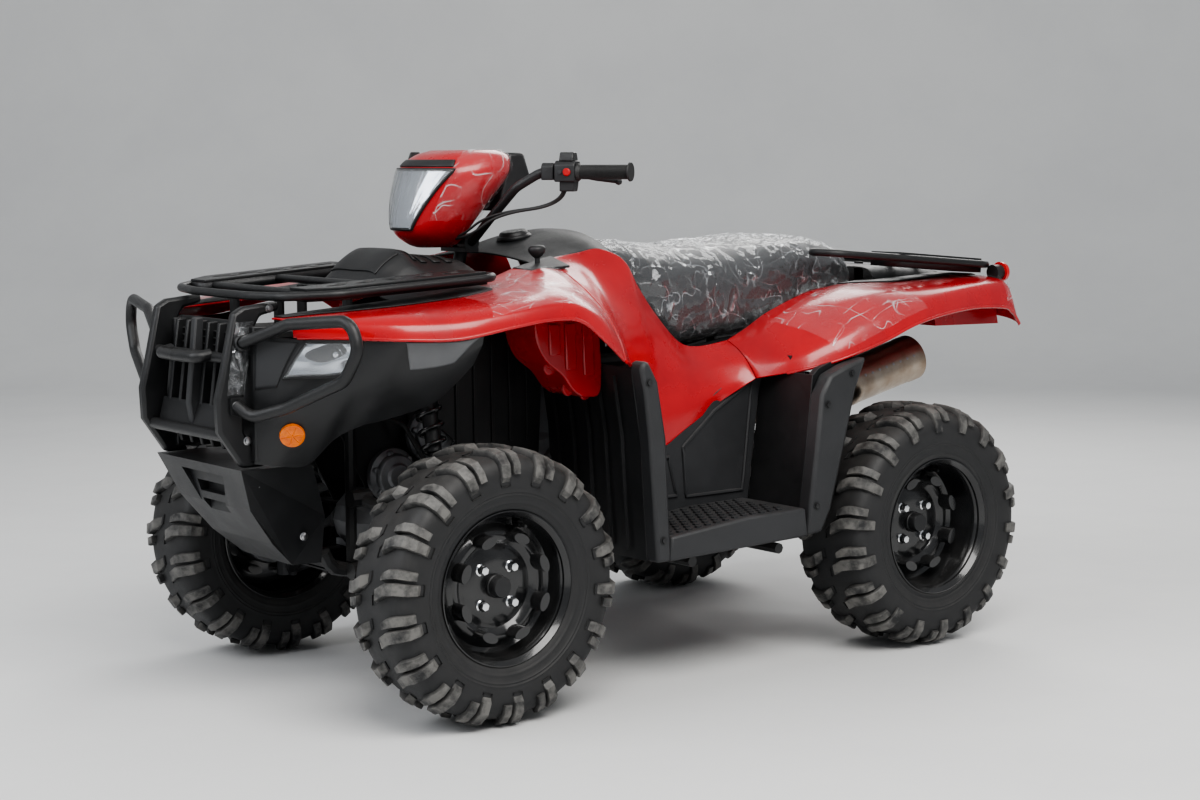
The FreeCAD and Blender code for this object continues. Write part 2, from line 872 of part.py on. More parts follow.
def front_shaft_end():
    return kingpin_y() - S.knuckle_radius - S.shaft_clearance


def rear_shaft_end():
    return S.rear_track / 2 - S.rear_rim_width / 2 - S.hub_radius - S.wall


# Suspension

FRONT_PIVOT_SHARES = (14.1, 12.4)
REAR_PIVOT_SHARES = (1.3, -0.9)
ARM_PIVOT_SHARES = (2.95, 4.6)


def ball_levels():
    """The heights of the lower and upper ball joints, under and over the axle."""
    return WHEEL_Z - S.ball_drop, WHEEL_Z + S.ball_rise


def arm(pivots, ball):
    """Two straight legs from their bushes on the frame to the ball joint."""
    legs = []
    for pivot in pivots:
        legs.append(rod(pivot, ball, S.arm_radius.value))
        reach = Vector(S.bush_length.value / 2, 0, 0)
        legs.append(rod(pivot - reach, pivot + reach, S.bush_radius.value))
    legs.append(ball_end(ball))
    return joined(legs)


def ball_end(centre):
    """A ball joint's housing, as a short faceted drum that stands upright."""
    radius = S.ball_radius.value
    return lathe([(0, -radius), (radius * BALL_SHARE, -radius), (radius, 0), (radius * BALL_SHARE, radius), (0, radius)],
                 centre, UP, TUBE_SIDES)


BALL_SHARE = 0.6


def suspension_arms():
    bush_y = (S.rail_spacing / 2 + S.rail_radius + S.bush_radius + S.seat_gap).value
    front_y = (kingpin_y() - S.knuckle_radius - S.ball_radius - S.seat_gap).value
    rear_y = (S.rear_track / 2 - S.rear_rim_width / 2 - S.ball_radius - S.seat_gap).value
    for name, x, ball_y, stations in (("front_arms", S.wheelbase.value, front_y, FRONT_PIVOT_SHARES),
                                      ("rear_arms", 0.0, rear_y, REAR_PIVOT_SHARES)):
        arms = []
        for ball_level, pivot_level in zip(ball_levels(), ARM_PIVOT_SHARES):
            pivots = [Vector(along(station).value, bush_y, up(pivot_level).value) for station in stations]
            arms.append(arm(pivots, Vector(x, ball_y, ball_level.value)))
        keep_shape(name, both(arms))


SHOCK_SHARES = [((13.0, 4.55), (13.0, 2.35, 7.5)), ((0.75, 4.6), (1.7, 2.3, 7.0))]
COILS = 5
SPRING_SIDES = 8
DAMPER_SHARE = 0.55
COIL_DIP_SHARE = 0.35


def shock_lines():
    """For each shock: its foot, set in from the tyre's inner wall, its way up, its length, and its head's station."""
    sides = (S.front_track / 2 - S.front_tyre_width / 2 - S.front_shock_inset,
             S.rear_track / 2 - S.rear_tyre_width / 2 - S.rear_shock_inset)
    lines = []
    for ((station, level), head), side in zip(SHOCK_SHARES, sides):
        foot_point = Vector(along(station).value, side.value, up(level).value)
        reach = place_of(head) - foot_point
        length = reach.Length
        lines.append((foot_point, reach.normalize(), length, head[0]))
    return lines


def shocks():
    """Dampers between two spring seats, each with a coil spring round it."""
    dampers = []
    springs = []
    seat = S.wall.value
    for start, way, length, _ in shock_lines():
        body = length * (1 - DAMPER_SHARE)
        dampers.append(lathe([
            (0, 0), (S.spring_radius, 0), (S.spring_radius, seat), (S.damper_rod_radius, seat),
            (S.damper_rod_radius, body), (S.damper_radius, body), (S.damper_radius, length - seat),
            (S.spring_radius, length - seat), (S.spring_radius, length), (0, length)], start, way, SPRING_SIDES))
        low = seat + S.seat_gap.value
        step = (length - 2 * low) / COILS
        inner = S.spring_inner_radius.value
        dip = inner + (S.spring_radius.value - inner) * COIL_DIP_SHARE
        outline = [(inner, low)]
        for coil in range(COILS):
            outline += [(dip, low + coil * step), (S.spring_radius.value, low + (coil + HALF_SHARE) * step)]
        outline += [(dip, length - low), (inner, length - low)]
        springs.append(lathe(outline, start, way, SPRING_SIDES))
    keep_shape("shock_dampers", both(dampers))
    keep_shape("shock_springs", both(springs))


def shock_mounts():
    """Brackets that carry the shocks' heads on the upper rails."""
    solids = []
    for start, way, length, head_station in shock_lines():
        top = start + way * (length + S.seat_gap.value)
        level = upper_rail(head_station)[0]
        end = top + way * ((level - top.z) / way.z)
        inner = Vector(end.x, (S.rail_spacing / 2 + S.rail_radius + S.seat_gap).value, end.z)
        solids.append(joined([rod(top, end + way * S.wall.value, S.shock_eye_radius.value),
                              rod(inner, end, S.cross_radius.value)]))
    keep_shape("shock_mounts", both(solids))


# Steering

STEM_SHARES = [(12.0, 0.0, 3.7), (10.25, 0.0, 10.2)]
PITMAN_SHARE = 0.87
PITMAN_END_SHARE = 1.5
BEARING_SHARE = 7.9


def knuckles():
    """The upright on the kingpin, the stub axle, the steering arm behind the axle, and the tie rod on it."""
    y = kingpin_y().value
    x = S.wheelbase.value
    low_ball, high_ball = ball_levels()
    low = Vector(x, y, (low_ball - S.knuckle_radius).value)
    high = Vector(x, y, (high_ball + S.knuckle_radius).value)
    face_y = (S.front_track / 2 + S.front_disc_offset - S.seat_gap).value
    stub = rod(Vector(x, y - S.knuckle_radius.value, WHEEL_Z.value), Vector(x, face_y, WHEEL_Z.value),
               S.hub_radius.value, PART_SIDES)
    arm_z = (WHEEL_Z + S.steering_arm_height).value
    steering_arm = rod(Vector(x, y, arm_z), Vector(x - S.steering_arm.value, y, arm_z), S.steering_arm_radius.value)
    left = joined([rod(low, high, S.knuckle_radius.value), stub, steering_arm])
    keep_shape("knuckle_left", left)
    keep_shape("knuckle_right", mirrored(left))
    outer = Vector(x - S.steering_arm.value, y, tie_rod_level())
    inner = Vector(pitman_end().x, S.pitman_half_width.value, tie_rod_level())
    left_rod = joined([rod(inner, outer, S.tie_rod_radius.value), ball_end(outer), ball_end(inner)])
    keep_shape("tie_rod_left", left_rod)
    keep_shape("tie_rod_right", mirrored(left_rod))


def tie_rod_level():
    """The ball joints' height, just above the steering arms."""
    return (WHEEL_Z + S.steering_arm_height + S.steering_arm_radius + S.ball_radius + S.seat_gap).value


def stem_way():
    return (place_of(STEM_SHARES[1]) - place_of(STEM_SHARES[0])).normalize()


def pitman_end():
    """Where the pitman arm ends, behind the foot of the stem and square to it."""
    back = ACROSS.cross(stem_way()) * -1
    return place_of(STEM_SHARES[0]) + back * (S.steering_arm.value * PITMAN_SHARE)


def pitman():
    """The short arm at the foot of the stem, over the tie rods that it pushes, and the stem's foot."""
    way = stem_way()
    end = pitman_end()
    level = tie_rod_level() + (S.ball_radius + S.pitman_clearance).value
    rise = way * ((level - end.z) / way.z)
    foot = place_of(STEM_SHARES[0]) + rise
    end = end + rise
    side = ACROSS * S.pitman_half_width.value
    corners = [foot + side, end + side * PITMAN_END_SHARE, end - side * PITMAN_END_SHARE, foot - side]
    return slab(corners, way * S.pitman_thickness.value), foot


def steering_bearing():
    """A bush round the stem, held between the upper rails."""
    way = stem_way()
    foot = place_of(STEM_SHARES[0])
    centre = foot + way * ((up(BEARING_SHARE).value - foot.z) / way.z)
    half = S.bush_length.value / 2
    bore = bore_radius((S.stem_radius + S.pin_gap).value, PART_SIDES)
    outer = S.stem_bush_radius.value
    ring = lathe([(bore, -half), (outer, -half), (outer, half), (bore, half)], centre, way)
    reach = (S.rail_spacing / 2 - S.rail_radius - S.seat_gap).value
    level = upper_rail(centre.x / along(1).value)[0]
    arms = []
    for side in (1, -1):
        inner = Vector(centre.x, side * (bore + S.pin_gap.value * 2), level)
        arms.append(rod(inner, Vector(centre.x, side * reach, level), S.cross_radius.value))
    keep_shape("steering_bearing", joined([ring] + arms))


BAR_SHARES = [(10.35, 0.5, 10.2), (10.4, 1.3, 10.75), (10.2, 2.1, 11.5), (9.85, 2.6, 11.85), (8.75, 4.45, 11.85)]


def handlebar():
    """The stem with its pitman arm, and the bent bar."""
    plate, foot = pitman()
    stem = rod(foot, place_of(STEM_SHARES[1]), S.stem_radius.value)
    points = places(BAR_SHARES)
    other = [Vector(point.x, -point.y, point.z) for point in points[::-1]]
    bar = run_of_tube(other + points, S.bar_radius.value, S.bar_bend.value)
    keep_shape("handlebar", joined([stem, plate, bar]))


def bar_end():
    """The end of the left grip, the way inwards along it and the way forwards."""
    inner, outer = places(BAR_SHARES[-2:])
    way = (inner - outer).normalize()
    return outer, way, way.cross(UP).normalize()


def controls():
    """Grips, switch housings with a brake fluid box, and levers."""
    end, way, ahead = bar_end()
    bore = bore_radius((S.bar_radius + S.pin_gap).value, TUBE_SIDES)
    grip = S.grip_radius.value
    flange = grip + S.wall.value
    length = S.grip_length.value
    thick = S.wall.value
    keep_shape("grips", both([lathe([(0, -thick), (flange, -thick), (flange, 0), (grip, 0), (grip, length),
                                     (bore, length), (bore, -S.pin_gap.value), (0, -S.pin_gap.value)], end, way)]))
    start = end + way * (length + S.seat_gap.value)
    box_length = S.switch_length.value
    boxes = []
    for rise, depth, height in ((0, 1, 1), (SWITCH_RISE_SHARE, SWITCH_LID_SHARE, SWITCH_LID_SHARE)):
        deep = S.switch_depth.value * depth / 2
        tall = S.switch_height.value * height / 2
        middle = start + UP * (S.switch_height.value * rise)
        corners = [middle + ahead * a + UP * b for a, b in
                   ((deep, -tall), (deep, tall * CHAMFER_SHARE), (deep * CHAMFER_SHARE, tall), (-deep * CHAMFER_SHARE, tall),
                    (-deep, tall * CHAMFER_SHARE), (-deep, -tall))]
        boxes.append(slab(corners, way * (box_length * (1 if rise == 0 else SWITCH_LID_SHARE))))
    hole = rod(start - way, start + way * (box_length + 1), bore)
    keep_shape("switch_housings", both([joined(boxes).cut(hole)]))
    root = start + way * (box_length / 2)
    face = (S.switch_depth / 2 + S.seat_gap).value
    reach = S.lever_reach.value
    points = [root + ahead * face, root + ahead * (face + reach), end + way * thick + ahead * (face + reach * LEVER_SHARE)]
    keep_shape("levers", both([run_of_tube(points, S.lever_radius.value, S.lever_bend.value)]))


SWITCH_RISE_SHARE = 0.62
SWITCH_LID_SHARE = 0.7
CHAMFER_SHARE = 0.6
LEVER_SHARE = 0.5


# Pod on the handlebar: outlines at rising levels, each with its rear and front place and half width

POD_SHARES = [(10.17, 10.75, 11.75, 0.45), (10.5, 10.55, 12.05, 0.75), (11.1, 9.95, 12.0, 1.15), (11.7, 9.4, 11.8, 1.45),
              (12.1, 9.3, 11.5, 1.4), (12.38, 9.5, 10.95, 1.1)]
POD_OUTLINE_SHARES = [(1.0, 0.35), (0.86, 0.78), (0.5, 1.0), (0.12, 0.95), (0.0, 0.6)]


def pod_loop(level, rear, front, half):
    """One outline of the pod, from the front round the left side to the rear, and back on the right."""
    left = [Vector(along(rear + (front - rear) * a).value, across(half * b).value, up(level).value)
            for a, b in POD_OUTLINE_SHARES]
    return left + [Vector(point.x, -point.y, point.z) for point in left[::-1]]


def pod():
    """The moulded headlamp housing, its lens, and the instrument housing behind it."""
    keep_shape("pod_shell", loop_solid([pod_loop(*shares) for shares in POD_SHARES]))
    thick = S.lens_thickness.value
    gap = S.seat_gap.value
    grid = []
    for shares in POD_SHARES:
        loop = pod_loop(*shares)
        grid.append([loop[-2], loop[-1], loop[0], loop[1]])
    outer, inner = [part_of(raised(grid, height), *LENS_PART) for height in (gap + thick, gap)]
    keep_shape("pod_lens", wall_between(outer, inner))
    dash = new_body("instrument")
    rear = along(POD_SHARES[4][1])
    corners = [(across(a), up(b)) for a, b in DASH_SHARES]
    loop = corners + [(-a, b) for a, b in corners[::-1]]
    slab_along(dash, [loop], rear - S.wall * DASH_DEPTH_SHARE, rear - S.seat_gap)
    keep("instrument", dash)


# The rows and columns of the pod's front that the lens covers
LENS_PART = (1, 3, 0, 3)
DASH_SHARES = [(0.9, 12.3), (0.8, 11.85), (0.5, 11.75)]
DASH_DEPTH_SHARE = 5.0


# Moulded panels: left half sections from the inner edge outwards, as shares of the grid

FRONT_FENDER_SHARES = [
    (16.7, [(2.15, 8.82), (2.5, 8.82), (2.8, 8.77), (3.0, 8.65), (3.05, 8.45)]),
    (16.0, [(2.15, 8.88), (2.8, 8.88), (3.4, 8.84), (3.75, 8.72), (3.85, 8.45)]),
    (15.0, [(2.15, 8.95), (3.2, 8.95), (4.2, 8.9), (4.65, 8.74), (4.8, 8.42)]),
    (14.0, [(2.15, 9.02), (3.4, 9.02), (4.6, 8.96), (5.15, 8.78), (5.3, 8.42)]),
    (12.7, [(2.15, 9.12), (3.5, 9.14), (4.8, 9.1), (5.35, 8.95), (5.5, 8.62)]),
    (11.8, [(2.15, 9.25), (3.5, 9.28), (4.8, 9.22), (5.4, 9.05), (5.55, 8.72)]),
    (11.0, [(2.15, 9.45), (3.5, 9.45), (4.8, 9.3), (5.4, 9.02), (5.55, 8.66)]),
    (10.2, [(2.2, 9.72), (3.4, 9.6), (4.6, 9.15), (5.25, 8.7), (5.45, 8.15)]),
    (9.6, [(2.2, 9.82), (3.3, 9.5), (4.4, 8.9), (5.1, 8.2), (5.35, 7.68)]),
]

SIDE_COVER_SHARES = [
    (9.59, [(2.2, 9.82), (3.3, 9.5), (4.4, 8.9), (5.1, 8.2), (5.35, 7.68)]),
    (9.1, [(2.25, 9.9), (3.2, 9.45), (4.1, 8.7), (4.75, 8.0), (5.0, 7.85)]),
    (8.6, [(2.3, 9.97), (3.05, 9.3), (3.7, 8.4), (4.1, 7.5), (4.2, 6.9)]),
    (8.0, [(2.4, 10.05), (2.95, 9.1), (3.5, 8.0), (3.75, 6.9), (3.8, 6.0)]),
    (7.3, [(2.45, 9.75), (2.9, 8.7), (3.3, 7.6), (3.45, 6.4), (3.45, 5.45)]),
    (6.9, [(2.5, 9.1), (2.87, 8.3), (3.22, 7.3), (3.42, 6.3), (3.42, 5.35)]),
    (6.4, [(2.52, 8.45), (2.85, 7.9), (3.2, 7.1), (3.41, 6.3), (3.41, 5.6)]),
    (5.7, [(2.55, 7.75), (2.85, 7.4), (3.2, 6.95), (3.41, 6.4), (3.41, 5.98)]),
    (5.1, [(2.58, 7.6), (2.87, 7.35), (3.2, 7.05), (3.41, 6.6), (3.41, 6.3)]),
    (4.2, [(2.6, 7.7), (2.9, 7.5), (3.2, 7.25), (3.4, 7.0), (3.5, 6.8)]),
]

REAR_FENDER_SHARES = [
    (4.197, [(2.6, 7.7), (2.95, 7.6), (3.3, 7.4), (3.6, 7.15), (3.8, 6.85)]),
    (3.6, [(2.6, 7.95), (3.2, 7.85), (3.9, 7.6), (4.4, 7.35), (4.6, 7.05)]),
    (2.8, [(2.6, 8.35), (3.4, 8.32), (4.3, 8.1), (4.95, 7.75), (5.15, 7.3)]),
    (1.6, [(2.6, 8.75), (3.5, 8.76), (4.5, 8.65), (5.2, 8.25), (5.45, 7.7)]),
    (0.6, [(2.6, 8.9), (3.6, 8.93), (4.6, 8.85), (5.25, 8.5), (5.5, 8.05)]),
    (-0.6, [(2.3, 8.95), (3.4, 8.98), (4.5, 8.93), (5.15, 8.7), (5.35, 8.25)]),
    (-2.0, [(2.0, 9.0), (3.2, 9.03), (4.3, 9.0), (4.95, 8.83), (5.15, 8.35)]),
    (-3.2, [(2.0, 9.05), (3.1, 9.08), (4.2, 9.05), (4.85, 8.88), (5.05, 8.3)]),
    (-3.6, [(2.0, 8.98), (3.1, 9.02), (4.2, 9.0), (4.8, 8.83), (4.98, 8.15)]),
    (-3.85, [(2.0, 8.6), (3.1, 8.65), (4.2, 8.6), (4.75, 8.4), (4.92, 7.95)]),
    (-4.0656, [(2.0, 8.05), (3.1, 8.05), (4.2, 8.0), (4.7, 7.9), (4.87, 7.78)]),
]

FRONT_PANEL_SHARES = [
    (17.1, [(2.05, 8.5), (2.05, 8.0), (2.05, 7.3), (2.03, 6.5), (2.0, 5.7)]),
    (16.7, [(2.98, 8.42), (2.97, 8.0), (2.92, 7.4), (2.65, 6.5), (2.25, 5.65)]),
    (16.0, [(3.8, 8.42), (3.76, 8.0), (3.55, 7.3), (2.95, 6.4), (2.35, 5.62)]),
    (15.6, [(4.2, 8.41), (4.15, 8.0), (3.9, 7.4), (3.35, 6.75), (2.85, 6.2)]),
    (15.2, [(4.58, 8.39), (4.5, 8.05), (4.25, 7.55), (3.85, 7.05), (3.3, 6.5)]),
    (14.8, [(4.86, 8.38), (4.68, 8.1), (4.45, 7.6), (4.1, 7.15), (3.5, 6.6)]),
    (14.0, [(5.26, 8.38), (5.2, 8.2), (5.05, 7.9), (4.75, 7.5), (4.3, 7.0)]),
    (13.4, [(5.33, 8.46), (5.3, 8.4), (5.25, 8.25), (5.1, 8.05), (4.9, 7.8)]),
]

# The rows and columns of the front panel that the headlamp covers, and the cell with the side reflector
LAMP_PART = (1, 4, 0, 2)
AMBER_CELL = (1, 4)

TANK_SHARES = [
    (9.85, [(0.0, 9.95), (0.8, 9.92), (1.5, 9.85), (2.165, 9.77)]),
    (9.3, [(0.0, 10.12), (0.9, 10.07), (1.6, 9.96), (2.2, 9.85)]),
    (8.6, [(0.0, 10.3), (0.9, 10.24), (1.7, 10.1), (2.265, 9.97)]),
    (8.0, [(0.0, 10.42), (1.0, 10.36), (1.8, 10.22), (2.365, 10.05)]),
    (7.55, [(0.0, 10.46), (1.0, 10.4), (1.8, 10.18), (2.38, 9.86)]),
]

CENTRE_SHARES = [
    (13.6, [(0.0, 9.3), (0.8, 9.3), (1.3, 9.2), (1.7, 9.1), (2.145, 9.05)]),
    (13.1, [(0.0, 9.85), (0.8, 9.83), (1.2, 9.55), (1.6, 9.2), (2.145, 9.09)]),
    (12.6, [(0.0, 10.12), (0.8, 10.08), (1.2, 9.8), (1.6, 9.35), (2.145, 9.13)]),
    (12.2, [(0.0, 9.98), (0.8, 9.93), (1.3, 9.7), (1.7, 9.4), (2.145, 9.19)]),
    (11.5, [(0.0, 9.9), (0.8, 9.88), (1.3, 9.7), (1.7, 9.45), (2.145, 9.32)]),
    (11.0, [(0.0, 9.85), (0.8, 9.83), (1.3, 9.7), (1.7, 9.55), (2.145, 9.45)]),
]

INNER_BOX_SHARES = [(9.32, 7.05), (10.1, 7.0), (10.4, 7.5), (11.05, 7.85), (11.1, 8.6), (10.2, 8.9), (9.6, 8.75)]
INNER_BOX_SIDE_SHARES = (2.9, 3.9)
TAIL_BOX_SHARES = [(-1.3, 8.9), (-3.4, 8.96), (-3.75, 8.55), (-3.93, 7.8), (-1.55, 7.85)]
TAIL_BOX_SIDE_SHARES = (3.1, 4.2)
PANEL_COLUMNS = 6
FINE_COLUMNS = 7


def side_panels(name, table, columns):
    """A moulded panel on each side."""
    keep_shape(name, both([panel_solid(grid_of(table, columns), S.wall.value)]))


def middle_panel(name, table, columns):
    """A moulded panel that runs over the middle of the bike."""
    grid = []
    for line in grid_of(table, columns):
        other = [Vector(point.x, -point.y, point.z) for point in line[:0:-1]]
        grid.append(other + line)
    keep_shape(name, panel_solid(grid, S.wall.value))


def body_panels():
    side_panels("front_fender", FRONT_FENDER_SHARES, FINE_COLUMNS)
    side_panels("side_covers", SIDE_COVER_SHARES, FINE_COLUMNS)
    side_panels("rear_fender", REAR_FENDER_SHARES, FINE_COLUMNS)
    side_panels("front_side_panels", FRONT_PANEL_SHARES, PANEL_COLUMNS)
    middle_panel("tank_cover", TANK_SHARES, PANEL_COLUMNS - 1)
    middle_panel("centre_cover", CENTRE_SHARES, PANEL_COLUMNS)
    for name, table, (low, high) in (("inner_boxes", INNER_BOX_SHARES, INNER_BOX_SIDE_SHARES),
                                     ("tail_boxes", TAIL_BOX_SHARES, TAIL_BOX_SIDE_SHARES)):
        body = new_body(name + "_half")
        slab_across(body, [side_points(table)], across(low), across(high))
        keep_pair(name, body)




# Front end

LOWER_COVER_SHARES = [(15.003, 3.2, 1.2), (15.7, 3.2, 1.1), (17.0, 4.6, 1.6), (17.4, 5.6, 1.95), (15.65, 5.6, 2.0), (15.003, 4.3, 1.4)]
GRILLE_SHARES = [(17.15, 5.9), (17.45, 6.9), (17.2, 8.7), (16.9, 8.7), (17.1, 6.9), (16.85, 5.9)]
GRILLE_BACK_SHARES = [(16.85, 5.9), (17.12, 6.9), (16.9, 8.7), (16.85, 8.7), (17.05, 6.9), (16.8, 5.9)]
GRILLE_BAR_SHARES = [-1.25, -0.55, 0.1, 0.8]
GRILLE_BAR_WIDTH_SHARE = 0.17
GRILLE_SIDE_SHARE = 1.5


def front_end():
    """Grille bars, lamps, the cover under the nose, and the side reflectors."""
    grille = new_body("grille")
    bar_half = across(GRILLE_BAR_WIDTH_SHARE)
    for place in GRILLE_BAR_SHARES:
        slab_across(grille, [side_points(GRILLE_SHARES)], across(place), across(place) + bar_half * 2)
    slab_across(grille, [side_points(GRILLE_BACK_SHARES)], -across(GRILLE_SIDE_SHARE), across(GRILLE_SIDE_SHARE))
    keep("grille", grille)
    grid = grid_of(FRONT_PANEL_SHARES, PANEL_COLUMNS)
    outer, inner = [part_of(raised(grid, height.value), *LAMP_PART)
                    for height in (S.seat_gap + S.lens_thickness, S.seat_gap)]
    keep_shape("headlamps", both([wall_between(outer, inner)]))
    keep_shape("lower_cover", tapered_block(LOWER_COVER_SHARES))
    row, column = AMBER_CELL
    corners = [grid[row][column], grid[row + 1][column], grid[row][column + 1], grid[row + 1][column + 1]]
    out = (corners[3] - corners[0]).cross(corners[1] - corners[2]).normalize()
    centre = (corners[0] + corners[1] + corners[2] + corners[3]) / 4
    lift = max((corner - centre).dot(out) for corner in corners) + S.seat_gap.value
    disc = rod(centre + out * lift, centre + out * (lift + S.reflector_depth.value), S.reflector_radius.value, PART_SIDES)
    keep_shape("amber_reflectors", both([disc]))


def tapered_block(shares):
    """A block from a side outline whose corners each have their own half width."""
    left = places([(station, half, level) for station, level, half in shares])
    right = [Vector(point.x, -point.y, point.z) for point in left]
    count = len(left)
    points = left + right
    triangles = []
    for index in range(count):
        following = (index + 1) % count
        triangles += [(index, following, following + count), (index, following + count, index + count)]
    for step in range(1, count - 1):
        triangles += [(0, step + 1, step), (count, count + step, count + step + 1)]
    return solid_of(points, triangles)


# Seat

SEAT_SHARES = [
    (7.5, 9.75, 10.2, 1.9), (7.0, 9.15, 10.1, 2.2), (6.4, 8.5, 10.05, 2.3), (5.7, 7.85, 9.98, 2.35), (4.9, 7.75, 9.92, 2.38),
    (2.9, 7.85, 9.92, 2.4), (1.8, 8.3, 9.97, 2.38), (0.4, 8.65, 9.97, 2.25), (-0.7, 8.62, 9.75, 2.05), (-1.7, 8.55, 9.05, 1.6),
]
SEAT_OUTLINE_SHARES = [(0.85, 0.0), (1.0, 0.15), (1.0, 0.65), (0.85, 0.92), (0.5, 1.0)]


def seat():
    loops = []
    for station, low, high, half in SEAT_SHARES:
        left = [Vector(along(station).value, across(half * a).value, up(low + (high - low) * b).value)
                for a, b in SEAT_OUTLINE_SHARES]
        loops.append(left + [Vector(point.x, -point.y, point.z) for point in left[::-1]])
    keep_shape("seat", loop_solid(loops))


# Footwells

FLOOR_SHARES = [(8.5, 3.083), (8.45, 3.65), (6.1, 3.86), (4.3, 3.89), (4.2, 3.083)]
FRONT_LIP_SHARES = [(8.45, 3.083), (8.6, 5.9), (8.85, 7.3), (9.2, 7.72), (9.36, 7.55), (9.08, 5.9), (8.88, 3.083)]
FRONT_WALL_SHARES = [(8.82, 3.083), (9.02, 5.9), (9.28, 7.55), (9.33, 7.55), (9.07, 5.9), (8.87, 3.083)]
REAR_LIP_SHARES = [(4.2, 3.2), (3.9, 5.1), (3.72, 6.6), (3.4, 7.02), (2.2, 7.4), (2.6, 6.6), (2.95, 5.3), (3.4, 3.7), (3.7, 3.2)]
REAR_WALL_SHARES = [(4.2, 3.2), (3.9, 5.1), (3.75, 6.5), (3.7, 6.5), (3.85, 5.1), (4.15, 3.2)]
PANEL_SHARES = [(8.8, 3.7), (8.95, 5.3), (6.6, 5.3), (5.7, 5.85), (3.8, 6.4), (4.2, 3.7)]
FOOT_BAR_SHARES = (7.6, 4.9)
FLOOR_SIDE_SHARES = (3.3, 5.6)
LIP_SIDE_SHARES = (5.15, 5.55)
WALL_INNER_SHARE = 1.75
BAR_END_SHARE = 5.3


def footwells():
    """Floorboards with a flare in front of and behind each boot, an inner panel, and the bars below."""
    body = new_body("footwells_half")
    inner, outer = [across(share) for share in FLOOR_SIDE_SHARES]
    lip_inner, lip_outer = [across(share) for share in LIP_SIDE_SHARES]
    slab_across(body, [side_points(FLOOR_SHARES)], inner, outer)
    slab_across(body, [side_points(FRONT_WALL_SHARES)], across(WALL_INNER_SHARE), lip_outer)
    slab_across(body, [side_points(FRONT_LIP_SHARES)], lip_inner, lip_outer)
    slab_across(body, [side_points(REAR_WALL_SHARES)], inner, lip_outer)
    slab_across(body, [side_points(REAR_LIP_SHARES)], lip_inner, lip_outer)
    slab_across(body, [side_points(PANEL_SHARES)], inner, inner + S.wall)
    keep_pair("footwells", body)
    bars = []
    level = up(RAIL_LEVEL_SHARE).value
    inner_end = (S.rail_spacing / 2 + S.rail_radius + S.seat_gap).value
    for station in FOOT_BAR_SHARES:
        x = along(station).value
        bars.append(rod(Vector(x, inner_end, level), Vector(x, across(BAR_END_SHARE).value, level), S.cross_radius.value))
    keep_shape("footwell_bars", both(bars))


# Racks: each is drawn level and then tilted about its own middle line

FRONT_RACK_TUBE_SHARES = [(11.6, 2.5), (11.6, 3.4), (15.6, 3.1), (16.5, 2.4), (16.75, 1.2)]
FRONT_PLANK_SHARES = [(12.0, 2.25), (12.0, 3.15), (15.4, 2.9), (15.9, 2.5), (15.9, 2.0)]
FRONT_SLOT_SHARES = [(12.5, 2.6), (13.4, 2.55), (14.3, 2.5), (15.2, 2.4)]
FRONT_CROSS_SHARES = [(12.05, 2.5), (14.1, 0), (15.85, 0)]
FRONT_RACK_LEVEL_SHARE = 9.38
FRONT_RACK_TILT_DEGREES = 3.4
FRONT_RACK_PIVOT_SHARE = 14.2
REAR_RACK_TUBE_SHARES = [(1.2, 2.65), (1.7, 2.9), (1.4, 3.6), (-1.0, 4.2), (-3.3, 4.35), (-3.8, 3.8)]
REAR_PLANK_SHARES = [(-0.4, 3.0), (-0.4, 4.0), (-3.2, 4.15), (-3.5, 3.6), (-3.5, 3.0)]
REAR_SLOT_SHARES = [(-0.9, 3.5), (-1.7, 3.55), (-2.5, 3.55), (-3.1, 3.45)]
REAR_CROSS_SHARES = [(-1.95, 0), (-2.9, 0)]
REAR_RACK_LEVEL_SHARE = 9.55
REAR_RACK_TILT_DEGREES = -5.0
REAR_RACK_PIVOT_SHARE = -1.0
SLOT_HALF_SHARES = (0.28, 0.16)


def rack_plank(outline, slots, level):
    """A steel plank with long slots pressed through it."""
    top = Vector(0, 0, up(level).value)
    corners = [Vector(along(a).value, across(b).value, 0) + top for a, b in outline]
    plank = slab(corners, Vector(0, 0, S.plank_thickness.value))
    half_long, half_wide = [across(share).value for share in SLOT_HALF_SHARES]
    cuts = []
    for station, side in slots:
        middle = Vector(along(station).value, across(side).value, -S.overrun.value) + top
        slot = [Vector(half_long, -half_wide, 0), Vector(half_long, half_wide, 0), Vector(-half_long, half_wide, 0),
                Vector(-half_long, -half_wide, 0)]
        cuts.append(slab([middle + corner for corner in slot], UP * (S.plank_thickness + S.overrun * 2).value))
    return plank.cut(Part.makeCompound(cuts))


def rack_middle(level):
    """The height of the tubes' middle line, where their tops are level with the planks."""
    return (up(level) + S.plank_thickness - S.rack_tube_radius).value


def rack(name, tube, plank, slots, crosses, level, tilt, pivot_station, tail):
    """An outer tube, a slotted plank on each side and tubes across."""
    radius = S.rack_tube_radius.value
    middle = rack_middle(level)
    points = [Vector(along(a).value, across(b).value, middle) for a, b in tube]
    other = [Vector(point.x, -point.y, point.z) for point in points[::-1]]
    pieces = [run_of_tube(points + other, radius, S.rack_bend.value)] if tail else [
        run_of_tube(points[::-1] + other[::-1], radius, S.rack_bend.value)]
    left = rack_plank(plank, slots, level)
    pieces += [left, mirrored(left)]
    for station, inner in crosses:
        reach = plank_reach(tube, station)
        x = along(station).value
        if inner:
            half = rod(Vector(x, across(inner).value, middle), Vector(x, reach, middle), radius)
            pieces += [half, mirrored(half)]
        else:
            pieces.append(rod(Vector(x, -reach, middle), Vector(x, reach, middle), radius))
    whole = joined(pieces)
    whole.rotate(Vector(along(pivot_station).value, 0, middle), ACROSS, tilt)
    keep_shape(name, Part.makeCompound([whole]))


